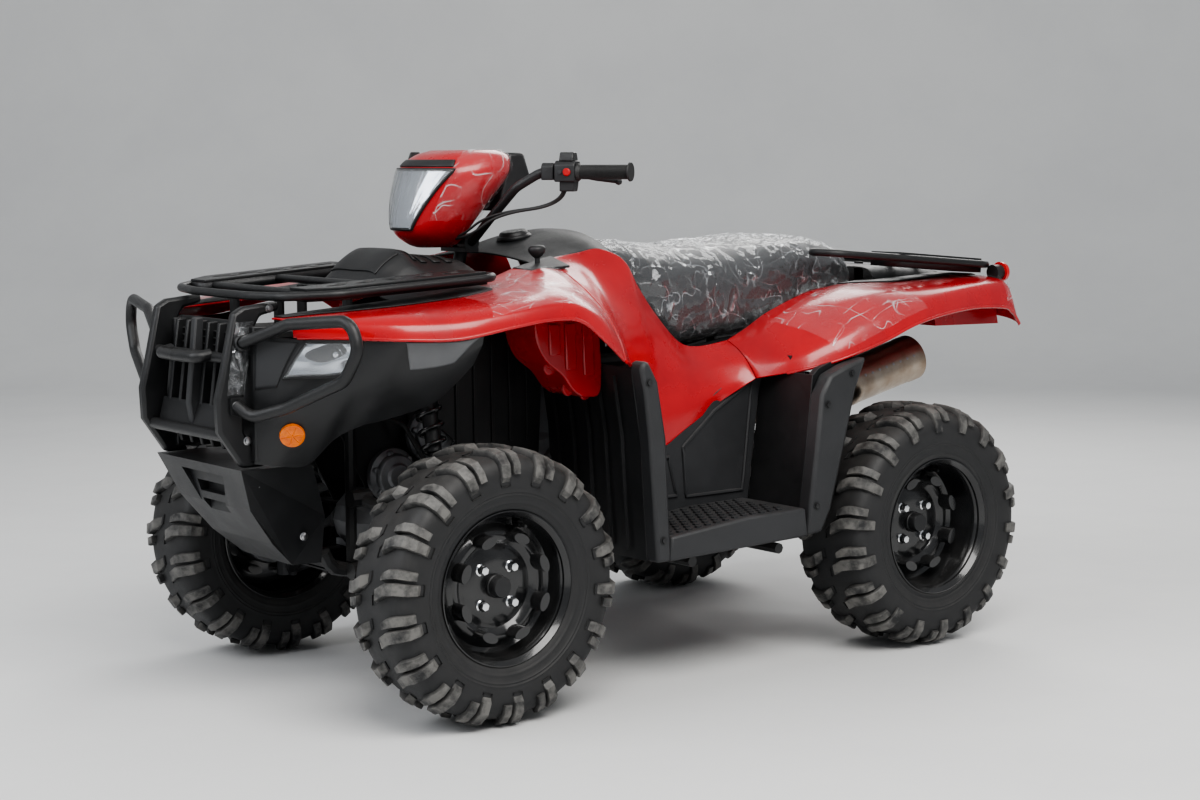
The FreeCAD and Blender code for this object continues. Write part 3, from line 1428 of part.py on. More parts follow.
def plank_reach(tube, station):
    """How far out the outer tube lies at a station."""
    for (a, b), (c, d) in zip(tube, tube[1:]):
        if min(a, c) <= station <= max(a, c) and a != c:
            return across(b + (d - b) * (station - a) / (c - a)).value
    raise RuntimeError("no tube at this station")


def racks():
    rack("front_rack", FRONT_RACK_TUBE_SHARES, FRONT_PLANK_SHARES, FRONT_SLOT_SHARES, FRONT_CROSS_SHARES,
         FRONT_RACK_LEVEL_SHARE, FRONT_RACK_TILT_DEGREES, FRONT_RACK_PIVOT_SHARE, True)
    rack("rear_rack", REAR_RACK_TUBE_SHARES, REAR_PLANK_SHARES, REAR_SLOT_SHARES, REAR_CROSS_SHARES,
         REAR_RACK_LEVEL_SHARE, REAR_RACK_TILT_DEGREES, REAR_RACK_PIVOT_SHARE, True)


FRONT_STAY_SHARES = [15.85, 14.1]
REAR_STAY_SHARES = [-1.95, -2.9]
SEAT_POST_SHARES = [(5.3, 7.78), (3.3, 7.82)]


def rack_bottom(station, level, tilt, pivot_station):
    """The height of the lower side of a rack's tubes at a station."""
    middle = rack_middle(level)
    run = (along(station) - along(pivot_station)).value
    slope = math.tan(math.radians(tilt))
    return middle - run * slope - S.rack_tube_radius.value / math.cos(math.radians(tilt)), slope


def rack_stays():
    """Short posts between the upper rails and the racks."""
    posts = []
    side = S.rail_spacing.value / 2
    tops = [(station, *rack_bottom(station, FRONT_RACK_LEVEL_SHARE, FRONT_RACK_TILT_DEGREES, FRONT_RACK_PIVOT_SHARE))
            for station in FRONT_STAY_SHARES]
    tops += [(station, *rack_bottom(station, REAR_RACK_LEVEL_SHARE, REAR_RACK_TILT_DEGREES, REAR_RACK_PIVOT_SHARE))
             for station in REAR_STAY_SHARES]
    tops += [(station, up(level).value, 0) for station, level in SEAT_POST_SHARES]
    for station, top, top_slope in tops:
        rail_z, slope = upper_rail(station)
        x = along(station).value
        head = top - S.seat_gap.value - S.stay_radius.value * abs(top_slope)
        posts.append(rod(Vector(x, side, rail_z + rail_rise(S.stay_radius, slope)), Vector(x, side, head),
                         S.stay_radius.value))
    keep_shape("rack_stays", both(posts))


# Bumper

BAR_PLATE_SHARES = [(16.35, 9.14), (17.2, 9.06), (17.45, 8.92), (17.75, 7.6), (17.88, 7.1), (17.85, 6.4), (17.3, 5.605),
                    (16.75, 5.605), (17.25, 6.4), (17.25, 7.0), (17.15, 7.8), (16.95, 8.6), (16.8, 8.85), (16.35, 8.95)]
BAR_PLATE_SIDE_SHARE = 1.62
HOOP_SHARES = [(17.32, 1.96, 8.3), (16.9, 3.2, 8.75), (16.45, 4.95, 8.9), (16.4, 5.15, 8.3), (16.5, 4.75, 7.65),
               (16.97, 3.2, 7.0), (17.33, 2.35, 6.75), (17.5, 2.0, 7.0)]
CROSS_BAR_SHARES = (7.95, 17.888, 17.45)
LOW_BAR_SHARES = (6.3, 17.6)
CROSS_END_SHARE = 0.75


def bumper():
    """Two upright plates with bars between them in front, and a hoop round each headlamp."""
    body_y = across(BAR_PLATE_SIDE_SHARE).value
    thick = S.bar_plate_thickness.value
    corners = [Vector(along(a).value, body_y, up(b).value) for a, b in BAR_PLATE_SHARES]
    plate = slab(corners, ACROSS * thick)
    pieces = [plate, mirrored(plate)]
    radius = S.hoop_radius.value
    middle_y = body_y + thick / 2
    level, front, back = CROSS_BAR_SHARES
    level = up(level).value
    front_x = along(front).value
    back_x = along(back).value
    pieces.append(run_of_tube([Vector(back_x, -middle_y, level), Vector(front_x, -middle_y * CROSS_END_SHARE, level),
                               Vector(front_x, middle_y * CROSS_END_SHARE, level), Vector(back_x, middle_y, level)],
                              radius, S.hoop_bend.value))
    low_level, low_x = LOW_BAR_SHARES
    pieces.append(rod(Vector(along(low_x).value, -middle_y, up(low_level).value),
                      Vector(along(low_x).value, middle_y, up(low_level).value), radius))
    keep_shape("bumper", joined(pieces))
    keep_shape("bumper_hoops", both([run_of_tube(places(HOOP_SHARES), radius, S.hoop_bend.value)]))


# Exhaust, hitch, hubs and tail

MUFFLER_SHARES = [(0.3, 2.3, 6.2), (-2.6, 2.3, 6.85)]
PIPE_START_SHARES = (6.4, 5.2)
PIPE_SHARES = [(6.4, 2.2, 5.2), (5.0, 2.2, 5.2), (2.6, 1.75, 5.6), (1.0, 1.75, 6.0), (0.25, 2.25, 6.2)]
MUFFLER_SIDES = 16
MUFFLER_NECK_SHARE = 0.12
END_DISH_SHARE = 0.25


def muffler():
    """A round silencer on the left with a cone at its front, a rolled rim and a short tail pipe."""
    front, rear = places(MUFFLER_SHARES)
    length = (rear - front).Length
    radius = S.muffler_radius.value
    neck = length * MUFFLER_NECK_SHARE
    lip = S.wall.value
    outlet = S.tail_pipe_radius.value
    can = lathe([(0, 0), (S.muffler_neck_radius, 0), (radius, neck), (radius, length), (radius - lip, length),
                 (radius - lip, length - lip), (outlet, length - lip), (outlet, length + S.tail_pipe_length.value * END_DISH_SHARE),
                 (0, length + S.tail_pipe_length.value * END_DISH_SHARE)],
                front, rear - front, MUFFLER_SIDES)
    station, level = PIPE_START_SHARES
    port = Vector(along(station).value, (engine_half() + S.seat_gap).value, up(level).value)
    pipe = run_of_tube([port] + places(PIPE_SHARES), S.pipe_radius.value, S.rail_bend.value)
    keep_shape("muffler", joined([can, pipe]))


HITCH_TALL_SHARE = 1.6
HITCH_TIP_SHARE = 0.6
HITCH_END_SHARE = -3.4
HITCH_HOLE_SHARE = 3.0


def tow_hitch():
    """An upright plate across the ends of the lower rails, with a tongue for the hitch pin."""
    body = new_body("tow_hitch")
    half = S.hitch_width / 2
    tip = along(HITCH_END_SHARE)
    root = along(LOWER_RAIL_SHARES[-1][0]) - S.seat_gap
    level = up(LOWER_RAIL_SHARES[-1][1])
    wide = S.rail_spacing / 2 + S.rail_radius
    tall = S.rail_radius * HITCH_TALL_SHARE
    plate = [(-wide, level - tall), (wide, level - tall), (wide, level + tall), (-wide, level + tall)]
    slab_along(body, [plate], root - S.hitch_thickness, root)
    outline = [(root, -half), (root, half), (tip, half * HITCH_TIP_SHARE), (tip, -half * HITCH_TIP_SHARE)]
    slab_up(body, [outline], level, level + S.hitch_thickness)
    hole = add_circle(body, "XY_Plane", level - S.overrun, tip + S.hitch_width / HITCH_HOLE_SHARE, ZERO, S.hitch_hole_radius)
    add_pocket(body, hole, S.hitch_thickness + S.overrun * 2)
    keep("tow_hitch", body)


def hub_carriers():
    """The rear uprights that carry the wheels."""
    y = (S.rear_track / 2 - S.rear_rim_width / 2 + S.knuckle_radius).value
    low_ball, high_ball = ball_levels()
    low = Vector(0, y, (low_ball - S.knuckle_radius).value)
    high = Vector(0, y, (high_ball + S.knuckle_radius).value)
    face_y = (S.rear_track / 2 + S.rear_disc_offset - S.seat_gap).value
    stub = rod(Vector(0, (rear_shaft_end() + S.seat_gap).value, WHEEL_Z.value), Vector(0, face_y, WHEEL_Z.value),
               S.hub_radius.value, PART_SIDES)
    keep_shape("rear_hub_carriers", both([joined([rod(low, high, S.knuckle_radius.value), stub])]))


TAIL_LAMP_SHARES = (-3.72, 4.4, 9.16)
KNOB_SHARES = [(9.9, 2.5, 9.78), (9.9, 2.5, 10.2)]
KNOB_NECK_SHARE = 0.333


def tail_lamps():
    """Round reflectors that face backwards at the ends of the rear fender."""
    centre = place_of(TAIL_LAMP_SHARES)
    back = Vector(-1, 0, 0)
    disc = rod(centre, centre + back * S.reflector_depth.value * 2, S.reflector_radius.value, PART_SIDES)
    keep_shape("tail_lamps", both([disc]))


def selector_knob():
    """The gear selector beside the tank on the left."""
    low, high = places(KNOB_SHARES)
    radius = S.knob_radius.value
    length = (high - low).Length
    keep_shape("selector_knob", lathe([(0, 0), (radius / 2, 0), (radius / 2, length * KNOB_NECK_SHARE), (radius, length / 2),
                                       (radius, length), (0, length)], low, high - low, TUBE_SIDES))


def build():
    wheels()
    frame()
    skid_plate()
    engine()
    differentials()
    drive_shafts()
    suspension_arms()
    shocks()
    shock_mounts()
    knuckles()
    hub_carriers()
    steering_bearing()
    handlebar()
    controls()
    pod()
    body_panels()
    front_end()
    seat()
    footwells()
    racks()
    rack_stays()
    bumper()
    muffler()
    tow_hitch()
    tail_lamps()
    selector_knob()


def check():
    """Stops if any object failed, or if a node is empty or broken."""
    doc.recompute()
    for item in doc.Objects:
        if "Invalid" in item.State or "Error" in item.State:
            raise RuntimeError(f"{item.Name} failed: {item.State}")
    for name, item in nodes.items():
        if item.Shape.isNull() or not item.Shape.isValid():
            raise RuntimeError(f"{name} is not a valid shape")


def write():
    os.makedirs("parts", exist_ok=True)
    low = Vector(math.inf, math.inf, math.inf)
    high = -low
    for name, item in nodes.items():
        item.Shape.exportStep(os.path.join("parts", name + ".step"))
        box = item.Shape.BoundBox
        low = Vector(min(low.x, box.XMin), min(low.y, box.YMin), min(low.z, box.ZMin))
        high = Vector(max(high.x, box.XMax), max(high.y, box.YMax), max(high.z, box.ZMax))
    print(len(nodes), "nodes from", low, "to", high)


build()
check()
write()
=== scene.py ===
# %% [markdown]
# This lesson dresses a utility quad bike: a steel frame on four chunky tyres, with glossy red mouldings, black
# carriers and a long seat in clear film. The frame file holds the plain solids and their joints. Every piece made
# here goes where those solids say, so the first cell loads them.

# %% Load the frame
import math

import bmesh
import bpy
from mathutils import Matrix, Vector, noise


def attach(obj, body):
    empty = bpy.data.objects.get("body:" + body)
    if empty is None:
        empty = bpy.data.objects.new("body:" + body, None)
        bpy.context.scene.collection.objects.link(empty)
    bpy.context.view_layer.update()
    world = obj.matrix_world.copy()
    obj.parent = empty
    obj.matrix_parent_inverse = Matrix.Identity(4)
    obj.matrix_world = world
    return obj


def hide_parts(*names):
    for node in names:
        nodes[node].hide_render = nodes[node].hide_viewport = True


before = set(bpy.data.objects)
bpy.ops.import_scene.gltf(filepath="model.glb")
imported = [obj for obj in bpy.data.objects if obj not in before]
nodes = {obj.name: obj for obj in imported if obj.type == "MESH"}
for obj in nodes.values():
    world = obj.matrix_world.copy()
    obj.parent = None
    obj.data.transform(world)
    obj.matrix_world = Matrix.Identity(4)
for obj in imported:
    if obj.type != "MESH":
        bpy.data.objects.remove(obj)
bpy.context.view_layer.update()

# %% [markdown]
# The bike is laid out on a grid: stations along it, 13 from axle to axle, and steps of 100 mm across and up. A place
# on the grid turns into a point in metres here, with the origin on the ground under the middle of the bike.

# %% The grid
WHEELBASE = 1.295
STATION = WHEELBASE / 13
MIDDLE = 0.695
AXLE_HEIGHT = 0.303
FRONT_AXLE = WHEELBASE - MIDDLE
REAR_AXLE = -MIDDLE


def at(station, side, level):
    return Vector((station * STATION - MIDDLE, side * 0.1, level * 0.1))


print("rear axle at", at(0, 0, 3.03), "front axle at", at(13, 0, 3.03))

# %% [markdown]
# The camera and the light come first, so that every later piece can be looked at as it is made. The camera stands
# in front of the bike on its left, a little above the handlebar, with a long lens. The studio has a pale floor that
# curves up into a wall. A large soft light hangs over the near side, and weaker ones in front and behind.

# %% Camera and studio
CAMERA_PLACE = Vector((3.2753, 4.2946, 1.2173))
CAMERA_YAW, CAMERA_PITCH, CAMERA_ROLL = -2.2347, 0.1104, -0.0043
CAMERA_LENS = 65.6

ahead = Vector((math.cos(CAMERA_PITCH) * math.cos(CAMERA_YAW), math.cos(CAMERA_PITCH) * math.sin(CAMERA_YAW),
                -math.sin(CAMERA_PITCH)))
right = ahead.cross(Vector((0, 0, 1))).normalized()
above = right.cross(ahead)
right_rolled = right * math.cos(CAMERA_ROLL) + above * math.sin(CAMERA_ROLL)
above_rolled = above * math.cos(CAMERA_ROLL) - right * math.sin(CAMERA_ROLL)
camera = bpy.data.objects.new("camera", bpy.data.cameras.new("camera"))
bpy.context.scene.collection.objects.link(camera)
turn = Matrix((right_rolled, above_rolled, -ahead)).transposed().to_4x4()
camera.matrix_world = Matrix.Translation(CAMERA_PLACE) @ turn
camera.data.lens = CAMERA_LENS
camera.data.sensor_width = 36.0
camera.data.clip_end = 60.0
bpy.context.scene.camera = camera

world = bpy.data.worlds.new("studio")
world.use_nodes = True
world.node_tree.nodes["Background"].inputs["Color"].default_value = (0.86, 0.89, 0.93, 1)
world.node_tree.nodes["Background"].inputs["Strength"].default_value = 0.42
bpy.context.scene.world = world
bpy.context.scene.view_settings.look = "AgX - Medium High Contrast"


def soft_light(name, place, target, size, power, colour):
    lamp = bpy.data.lights.new(name, "AREA")
    lamp.shape = "RECTANGLE"
    lamp.size, lamp.size_y = size
    lamp.energy = power
    lamp.color = colour
    holder = bpy.data.objects.new(name, lamp)
    holder.location = place
    holder.rotation_mode = "QUATERNION"
    holder.rotation_quaternion = (Vector(target) - Vector(place)).to_track_quat("-Z", "Y")
    bpy.context.scene.collection.objects.link(holder)


soft_light("over_left", (1.2, 3.4, 4.2), (0.1, 0.2, 0.5), (4.0, 2.6), 250, (1.0, 0.985, 0.96))
soft_light("over_front", (4.2, -0.6, 3.2), (0.3, 0, 0.5), (2.6, 2.6), 90, (0.95, 0.97, 1.0))
soft_light("behind", (-3.6, -2.4, 3.4), (0, 0, 0.6), (3.5, 2.0), 90, (1.0, 0.99, 0.97))
print("camera at", tuple(camera.location))

# %% [markdown]
# Pieces are made from points and faces. Four helpers cover most of a vehicle: a smooth skin through sections, a
# form turned on an axis like lathe work, a tube swept along a bent route, and a flat outline given thickness. Each
# returns plain points and faces, so that several of them can be gathered into one piece.

# %% Helpers for forms


def cubic(p0, p1, p2, p3, t):
    """A place on the smooth curve from the second point to the third."""
    return (p1 * 2 + (p2 - p0) * t + (p0 * 2 - p1 * 5 + p2 * 4 - p3) * t * t
            + (p1 * 3 - p0 - p2 * 3 + p3) * t * t * t) * 0.5


def around(first, second, angle):
    """The way at an angle between two ways that are square to each other."""
    return first * math.cos(angle) + second * math.sin(angle)


def smooth_line(row, count):
    """Points evenly spread along a smooth curve through the row."""
    spread = []
    for step in range(count):
        place = step * (len(row) - 1) / (count - 1)
        index = min(int(place), len(row) - 2)
        t = place - index
        p0, p1, p2, p3 = row[max(index - 1, 0)], row[index], row[index + 1], row[min(index + 2, len(row) - 1)]
        spread.append(cubic(p0, p1, p2, p3, t))
    return spread


def grid_faces(rows, columns, ring_rows=False, ring_columns=False, flip=False):
    """The faces of a grid of points, closed to a ring either way where that is asked for."""
    faces = []
    for row in range(rows if ring_rows else rows - 1):
        for column in range(columns if ring_columns else columns - 1):
            down, over = (row + 1) % rows, (column + 1) % columns
            face = (row * columns + column, row * columns + over, down * columns + over, down * columns + column)
            faces.append(face[::-1] if flip else face)
    return faces


def skin(sections, rows, columns):
    """A smooth surface through sections, each a station and its places across and up."""
    lines = [smooth_line([at(station, side, level) for side, level in half], columns) for station, half in sections]
    spread = [smooth_line([line[column] for line in lines], rows) for column in range(columns)]
    points = [spread[column][row] for row in range(rows) for column in range(columns)]
    return points, grid_faces(rows, columns)


def turned(profile, start, way, segments=48, closed=False):
    """A profile of radius and distance turned about a line."""
    way = Vector(way).normalized()
    first = way.orthogonal().normalized()
    second = way.cross(first)
    points = []
    for radius, distance in profile:
        for step in range(segments):
            angle = 2 * math.pi * step / segments
            points.append(start + way * distance + around(first, second, angle) * max(radius, 1e-5))
    return points, grid_faces(len(profile), segments, ring_rows=closed, ring_columns=True)


def rounded_route(route, bend):
    """The route with an arc of six steps at each corner."""
    spots = [route[0]]
    for index in range(1, len(route) - 1):
        corner = route[index]
        back = (route[index - 1] - corner).normalized()
        forth = (route[index + 1] - corner).normalized()
        half_turn = (math.pi - back.angle(forth)) / 2
        if half_turn < 0.02:
            spots.append(corner)
            continue
        room = min((route[index - 1] - corner).length, (route[index + 1] - corner).length) * 0.48
        reach = min(bend * math.tan(half_turn), room)
        arc = reach / math.tan(half_turn)
        centre = corner + (back + forth).normalized() * (arc / math.cos(half_turn))
        for step in range(7):
            ray = (corner + back * reach - centre).lerp(corner + forth * reach - centre, step / 6)
            spots.append(centre + ray.normalized() * arc)
    return spots + [route[-1]]


def tube(route, radius, bend=0.05, sides=14):
    """A round tube along a route, with an arc at each corner and flat closed ends."""
    spots = rounded_route([Vector(spot) for spot in route], bend)
    way = (spots[1] - spots[0]).normalized()
    first = way.orthogonal().normalized()
    second = way.cross(first)
    ring = [spots[0] + around(first, second, 2 * math.pi * s / sides) * radius for s in range(sides)]
    rings = [ring]
    for index in range(1, len(spots)):
        way = (spots[index] - spots[index - 1]).normalized()
        plane = way
        if index < len(spots) - 1:
            plane = (way + (spots[index + 1] - spots[index]).normalized()).normalized()
        ring = [point + way * ((spots[index] - point).dot(plane) / way.dot(plane)) for point in ring]
        rings.append(ring)
    count = len(rings) * sides
    points = [point for ring in rings for point in ring]
    faces = grid_faces(len(rings), sides, ring_columns=True)
    faces += [tuple(range(sides))[::-1], tuple(range(count - sides, count))]
    return points, faces


def slab(outline, thickness):
    """A flat outline carried along a vector, with both faces closed."""
    count = len(outline)
    points = list(outline) + [point + thickness for point in outline]
    faces = [tuple(range(count)), tuple(range(2 * count - 1, count - 1, -1))]
    faces += [(a, (a + 1) % count, (a + 1) % count + count, a + count)[::-1] for a in range(count)]
    return points, faces


def block(low, high):
    a, b = Vector(low), Vector(high)
    return slab([Vector((a.x, a.y, a.z)), Vector((b.x, a.y, a.z)), Vector((b.x, b.y, a.z)),
                 Vector((a.x, b.y, a.z))], Vector((0, 0, b.z - a.z)))


def gather(forms):
    points, faces = [], []
    for more_points, more_faces in forms:
        shift = len(points)
        points += [Vector(point) for point in more_points]
        faces += [tuple(corner + shift for corner in face) for face in more_faces]
    return points, faces


def on_both_sides(form):
    """A form on the left together with its mirror image on the right."""
    points, faces = form
    other = [Vector((point.x, -point.y, point.z)) for point in points]
    return gather([form, (other, [face[::-1] for face in faces])])


print("helpers ready")

# %% [markdown]
# A piece becomes a Blender object with a material, and rides on the body of the bike that carries it. Where it
# stands for a plain solid, that solid is hidden. Small bevels matter: a real edge catches a thin line of light, and
# a perfectly sharp one looks drawn.

# %% Helper that makes a piece


def make(name, form, material, body="chassis", stands_for=(), wall=0.0, bevel=0.0, sharp=40, merge=True):
    points, faces = form
    mesh = bpy.data.meshes.new(name)
    mesh.from_pydata([tuple(point) for point in points], [], faces)
    cleaner = bmesh.new()
    cleaner.from_mesh(mesh)
    if merge:
        bmesh.ops.remove_doubles(cleaner, verts=cleaner.verts, dist=2e-5)
    bmesh.ops.recalc_face_normals(cleaner, faces=cleaner.faces)
    cleaner.to_mesh(mesh)
    cleaner.free()
    mesh.materials.append(material)
    mesh.shade_smooth()
    mesh.set_sharp_from_angle(angle=math.radians(sharp))
    thing = bpy.data.objects.new(name, mesh)
    bpy.context.scene.collection.objects.link(thing)
    if wall:
        thicken = thing.modifiers.new("wall", "SOLIDIFY")
        thicken.thickness = abs(wall)
        thicken.offset = -1 if wall > 0 else 1
        thicken.use_even_offset = True
    if bevel:
        edge = thing.modifiers.new("edge", "BEVEL")
        edge.width = bevel
        edge.segments = 2
        edge.limit_method = "ANGLE"
        edge.angle_limit = math.radians(35)
    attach(thing, body)
    if stands_for:
        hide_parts(*stands_for)
    return thing


def cut(piece, forms):
    """Cuts solid forms out of a piece and leaves no modifier behind."""
    points, faces = gather(forms)
    mesh = bpy.data.meshes.new("cutter")
    mesh.from_pydata([tuple(point) for point in points], [], faces)
    cleaner = bmesh.new()
    cleaner.from_mesh(mesh)
    bmesh.ops.recalc_face_normals(cleaner, faces=cleaner.faces)
    cleaner.to_mesh(mesh)
    cleaner.free()
    cutter = bpy.data.objects.new("cutter", mesh)
    bpy.context.scene.collection.objects.link(cutter)
    step = piece.modifiers.new("cut", "BOOLEAN")
    step.object, step.operation, step.solver = cutter, "DIFFERENCE", "EXACT"
    bpy.context.view_layer.update()
    done = bpy.data.meshes.new_from_object(piece.evaluated_get(bpy.context.evaluated_depsgraph_get()))
    piece.modifiers.clear()
    piece.data = done
    bpy.data.objects.remove(cutter)


print("piece maker ready")

# %% [markdown]
# Effects that many finishes share are shader node groups. The first breaks a surface into fine moulded grain, the
# second gives a slow cloudy mask for dirt and uneven colour, and the third gives dust that settles on faces that
# look upwards. Each gives out only a value or a normal; the shader itself stays in each material.

# %% Shared shader groups


def new_group(name, inputs, outputs):
    group = bpy.data.node_groups.new(name, "ShaderNodeTree")
    for label, value in inputs:
        group.interface.new_socket(label, in_out="INPUT", socket_type="NodeSocketFloat").default_value = value
    for label, kind in outputs:
        group.interface.new_socket(label, in_out="OUTPUT", socket_type=kind)
    return group, group.nodes.new("NodeGroupInput"), group.nodes.new("NodeGroupOutput")


def join(tree, source, target):
    tree.links.new(source, target)


def grain_group():
    group, entry, out = new_group("moulded_grain", [("Scale", 900.0), ("Depth", 0.2), ("Ripple", 0.1)],
                                  [("Normal", "NodeSocketVector")])
    place = group.nodes.new("ShaderNodeTexCoord")
    cells = group.nodes.new("ShaderNodeTexVoronoi")
    cells.feature = "SMOOTH_F1"
    slow = group.nodes.new("ShaderNodeTexNoise")
    slow.inputs["Scale"].default_value = 9.0
    slow.inputs["Detail"].default_value = 3.0
    fine = group.nodes.new("ShaderNodeBump")
    fine.inputs["Distance"].default_value = 0.0006
    wide = group.nodes.new("ShaderNodeBump")
    wide.inputs["Distance"].default_value = 0.02
    for texture in (cells, slow):
        join(group, place.outputs["Object"], texture.inputs["Vector"])
    join(group, entry.outputs["Scale"], cells.inputs["Scale"])
    join(group, entry.outputs["Depth"], fine.inputs["Strength"])
    join(group, entry.outputs["Ripple"], wide.inputs["Strength"])
    join(group, cells.outputs["Distance"], fine.inputs["Height"])
    join(group, slow.outputs["Fac"], wide.inputs["Height"])
    join(group, wide.outputs["Normal"], fine.inputs["Normal"])
    join(group, fine.outputs["Normal"], out.inputs["Normal"])
    return group


def cloud_group():
    group, entry, out = new_group("cloud_mask", [("Scale", 6.0), ("Low", 0.4), ("High", 0.65)],
                                  [("Mask", "NodeSocketFloat")])
    place = group.nodes.new("ShaderNodeTexCoord")
    slow = group.nodes.new("ShaderNodeTexNoise")
    slow.inputs["Detail"].default_value = 8.0
    slow.inputs["Roughness"].default_value = 0.62
    range_map = group.nodes.new("ShaderNodeMapRange")
    join(group, place.outputs["Object"], slow.inputs["Vector"])
    join(group, entry.outputs["Scale"], slow.inputs["Scale"])
    join(group, slow.outputs["Fac"], range_map.inputs["Value"])
    join(group, entry.outputs["Low"], range_map.inputs["From Min"])
    join(group, entry.outputs["High"], range_map.inputs["From Max"])
    join(group, range_map.outputs["Result"], out.inputs["Mask"])
    return group


def dust_group():
    group, entry, out = new_group("settled_dust", [("Amount", 0.3), ("Scale", 30.0)], [("Mask", "NodeSocketFloat")])
    place = group.nodes.new("ShaderNodeTexCoord")
    shape = group.nodes.new("ShaderNodeNewGeometry")
    split = group.nodes.new("ShaderNodeSeparateXYZ")
    facing = group.nodes.new("ShaderNodeMapRange")
    facing.inputs["From Min"].default_value = -0.2
    facing.inputs["From Max"].default_value = 1.0
    speckle = group.nodes.new("ShaderNodeTexNoise")
    speckle.inputs["Detail"].default_value = 6.0
    first = group.nodes.new("ShaderNodeMath")
    first.operation = "MULTIPLY"
    second = group.nodes.new("ShaderNodeMath")
    second.operation = "MULTIPLY"
    join(group, place.outputs["Object"], speckle.inputs["Vector"])
    join(group, entry.outputs["Scale"], speckle.inputs["Scale"])
    join(group, shape.outputs["Normal"], split.inputs["Vector"])
    join(group, split.outputs["Z"], facing.inputs["Value"])
    join(group, facing.outputs["Result"], first.inputs[0])
    join(group, speckle.outputs["Fac"], first.inputs[1])
    join(group, first.outputs["Value"], second.inputs[0])
    join(group, entry.outputs["Amount"], second.inputs[1])
    join(group, second.outputs["Value"], out.inputs["Mask"])
    return group


MOULDED_GRAIN, CLOUD_MASK, SETTLED_DUST = grain_group(), cloud_group(), dust_group()
print("shader groups:", [group.name for group in bpy.data.node_groups])

# %% [markdown]
# A finish mixes two close tones of its colour through the cloudy mask, lays dust over it, and lets the roughness
# follow the same mask, because handled or rained-on plastic is never evenly shiny. New mouldings have little dust;
# the tyres and the parts near the ground have more.

# %% A function for layered finishes
DUST = (0.42, 0.39, 0.35, 1)


def finish(name, colour, tone, rough=(0.4, 0.5), metal=0.0, coat=0.0, grain=(900, 0.2, 0.1), dust=0.1, cloud=6.0):
    material = bpy.data.materials.new(name)
    material.use_nodes = True
    tree = material.node_tree
    shader = tree.nodes["Principled BSDF"]
    shader.inputs["Metallic"].default_value = metal
    shader.inputs["Coat Weight"].default_value = coat
    shader.inputs["Coat Roughness"].default_value = 0.08
    mask = tree.nodes.new("ShaderNodeGroup")
    mask.node_tree = CLOUD_MASK
    mask.inputs["Scale"].default_value = cloud
    settled = tree.nodes.new("ShaderNodeGroup")
    settled.node_tree = SETTLED_DUST
    settled.inputs["Amount"].default_value = dust
    surface = tree.nodes.new("ShaderNodeGroup")
    surface.node_tree = MOULDED_GRAIN
    surface.inputs["Scale"].default_value = grain[0]
    surface.inputs["Depth"].default_value = grain[1]
    surface.inputs["Ripple"].default_value = grain[2]
    tones = tree.nodes.new("ShaderNodeMix")
    tones.data_type = "RGBA"
    tones.inputs["A"].default_value = (*colour, 1)
    tones.inputs["B"].default_value = (*tone, 1)
    dusty = tree.nodes.new("ShaderNodeMix")
    dusty.data_type = "RGBA"
    dusty.inputs["B"].default_value = DUST
    rough_map = tree.nodes.new("ShaderNodeMapRange")
    rough_map.inputs["To Min"].default_value = rough[0]
    rough_map.inputs["To Max"].default_value = rough[1]
    join(tree, mask.outputs["Mask"], tones.inputs["Factor"])
    join(tree, tones.outputs["Result"], dusty.inputs["A"])
    join(tree, settled.outputs["Mask"], dusty.inputs["Factor"])
    join(tree, dusty.outputs["Result"], shader.inputs["Base Color"])
    join(tree, mask.outputs["Mask"], rough_map.inputs["Value"])
    join(tree, rough_map.outputs["Result"], shader.inputs["Roughness"])
    join(tree, surface.outputs["Normal"], shader.inputs["Normal"])
    return material


# %% [markdown]
# Each material of the bike is one call here: two close colours that drift into each other, a range of roughness, a
# grain and a little dust. The mouldings differ mostly in how dark and how rough they are.

# %% Finishes of the bike
RED = finish("red_moulding", (0.46, 0.008, 0.012), (0.36, 0.006, 0.01), rough=(0.22, 0.34), coat=0.35,
             grain=(1400, 0.05, 0.06), dust=0.03)
BLACK_MOULDING = finish("black_moulding", (0.011, 0.0115, 0.0125), (0.017, 0.0175, 0.019), rough=(0.36, 0.5),
                        grain=(1500, 0.35, 0.1), dust=0.05)
PLAIN_BLACK = finish("plain_black", (0.006, 0.0063, 0.007), (0.009, 0.0094, 0.0102), rough=(0.5, 0.62),
                     grain=(1500, 0.35, 0.1), dust=0.0)
GREY_MOULDING = finish("grey_moulding", (0.022, 0.023, 0.025), (0.03, 0.031, 0.034), rough=(0.45, 0.6),
                       grain=(1200, 0.5, 0.12), dust=0.1)
POWDER_BLACK = finish("powder_coat", (0.01, 0.0105, 0.0115), (0.014, 0.0145, 0.0155), rough=(0.28, 0.4),
                      grain=(2200, 0.4, 0.03), dust=0.05)
FRAME_BLACK = finish("frame_paint", (0.01, 0.0105, 0.0115), (0.016, 0.0165, 0.0175), rough=(0.32, 0.46),
                     grain=(1600, 0.2, 0.05), dust=0.12)
RIM_BLACK = finish("rim_paint", (0.007, 0.0075, 0.0085), (0.011, 0.0115, 0.0125), rough=(0.16, 0.26), coat=0.6,
                   grain=(1800, 0.12, 0.03), dust=0.06)
RUBBER = finish("tyre_rubber", (0.012, 0.0125, 0.0135), (0.019, 0.0195, 0.021), rough=(0.5, 0.68),
                grain=(900, 0.4, 0.08), dust=0.14, cloud=12)
SOFT_RUBBER = finish("soft_rubber", (0.014, 0.0145, 0.015), (0.02, 0.0205, 0.021), rough=(0.5, 0.65),
                     grain=(1500, 0.3, 0.05), dust=0.05)
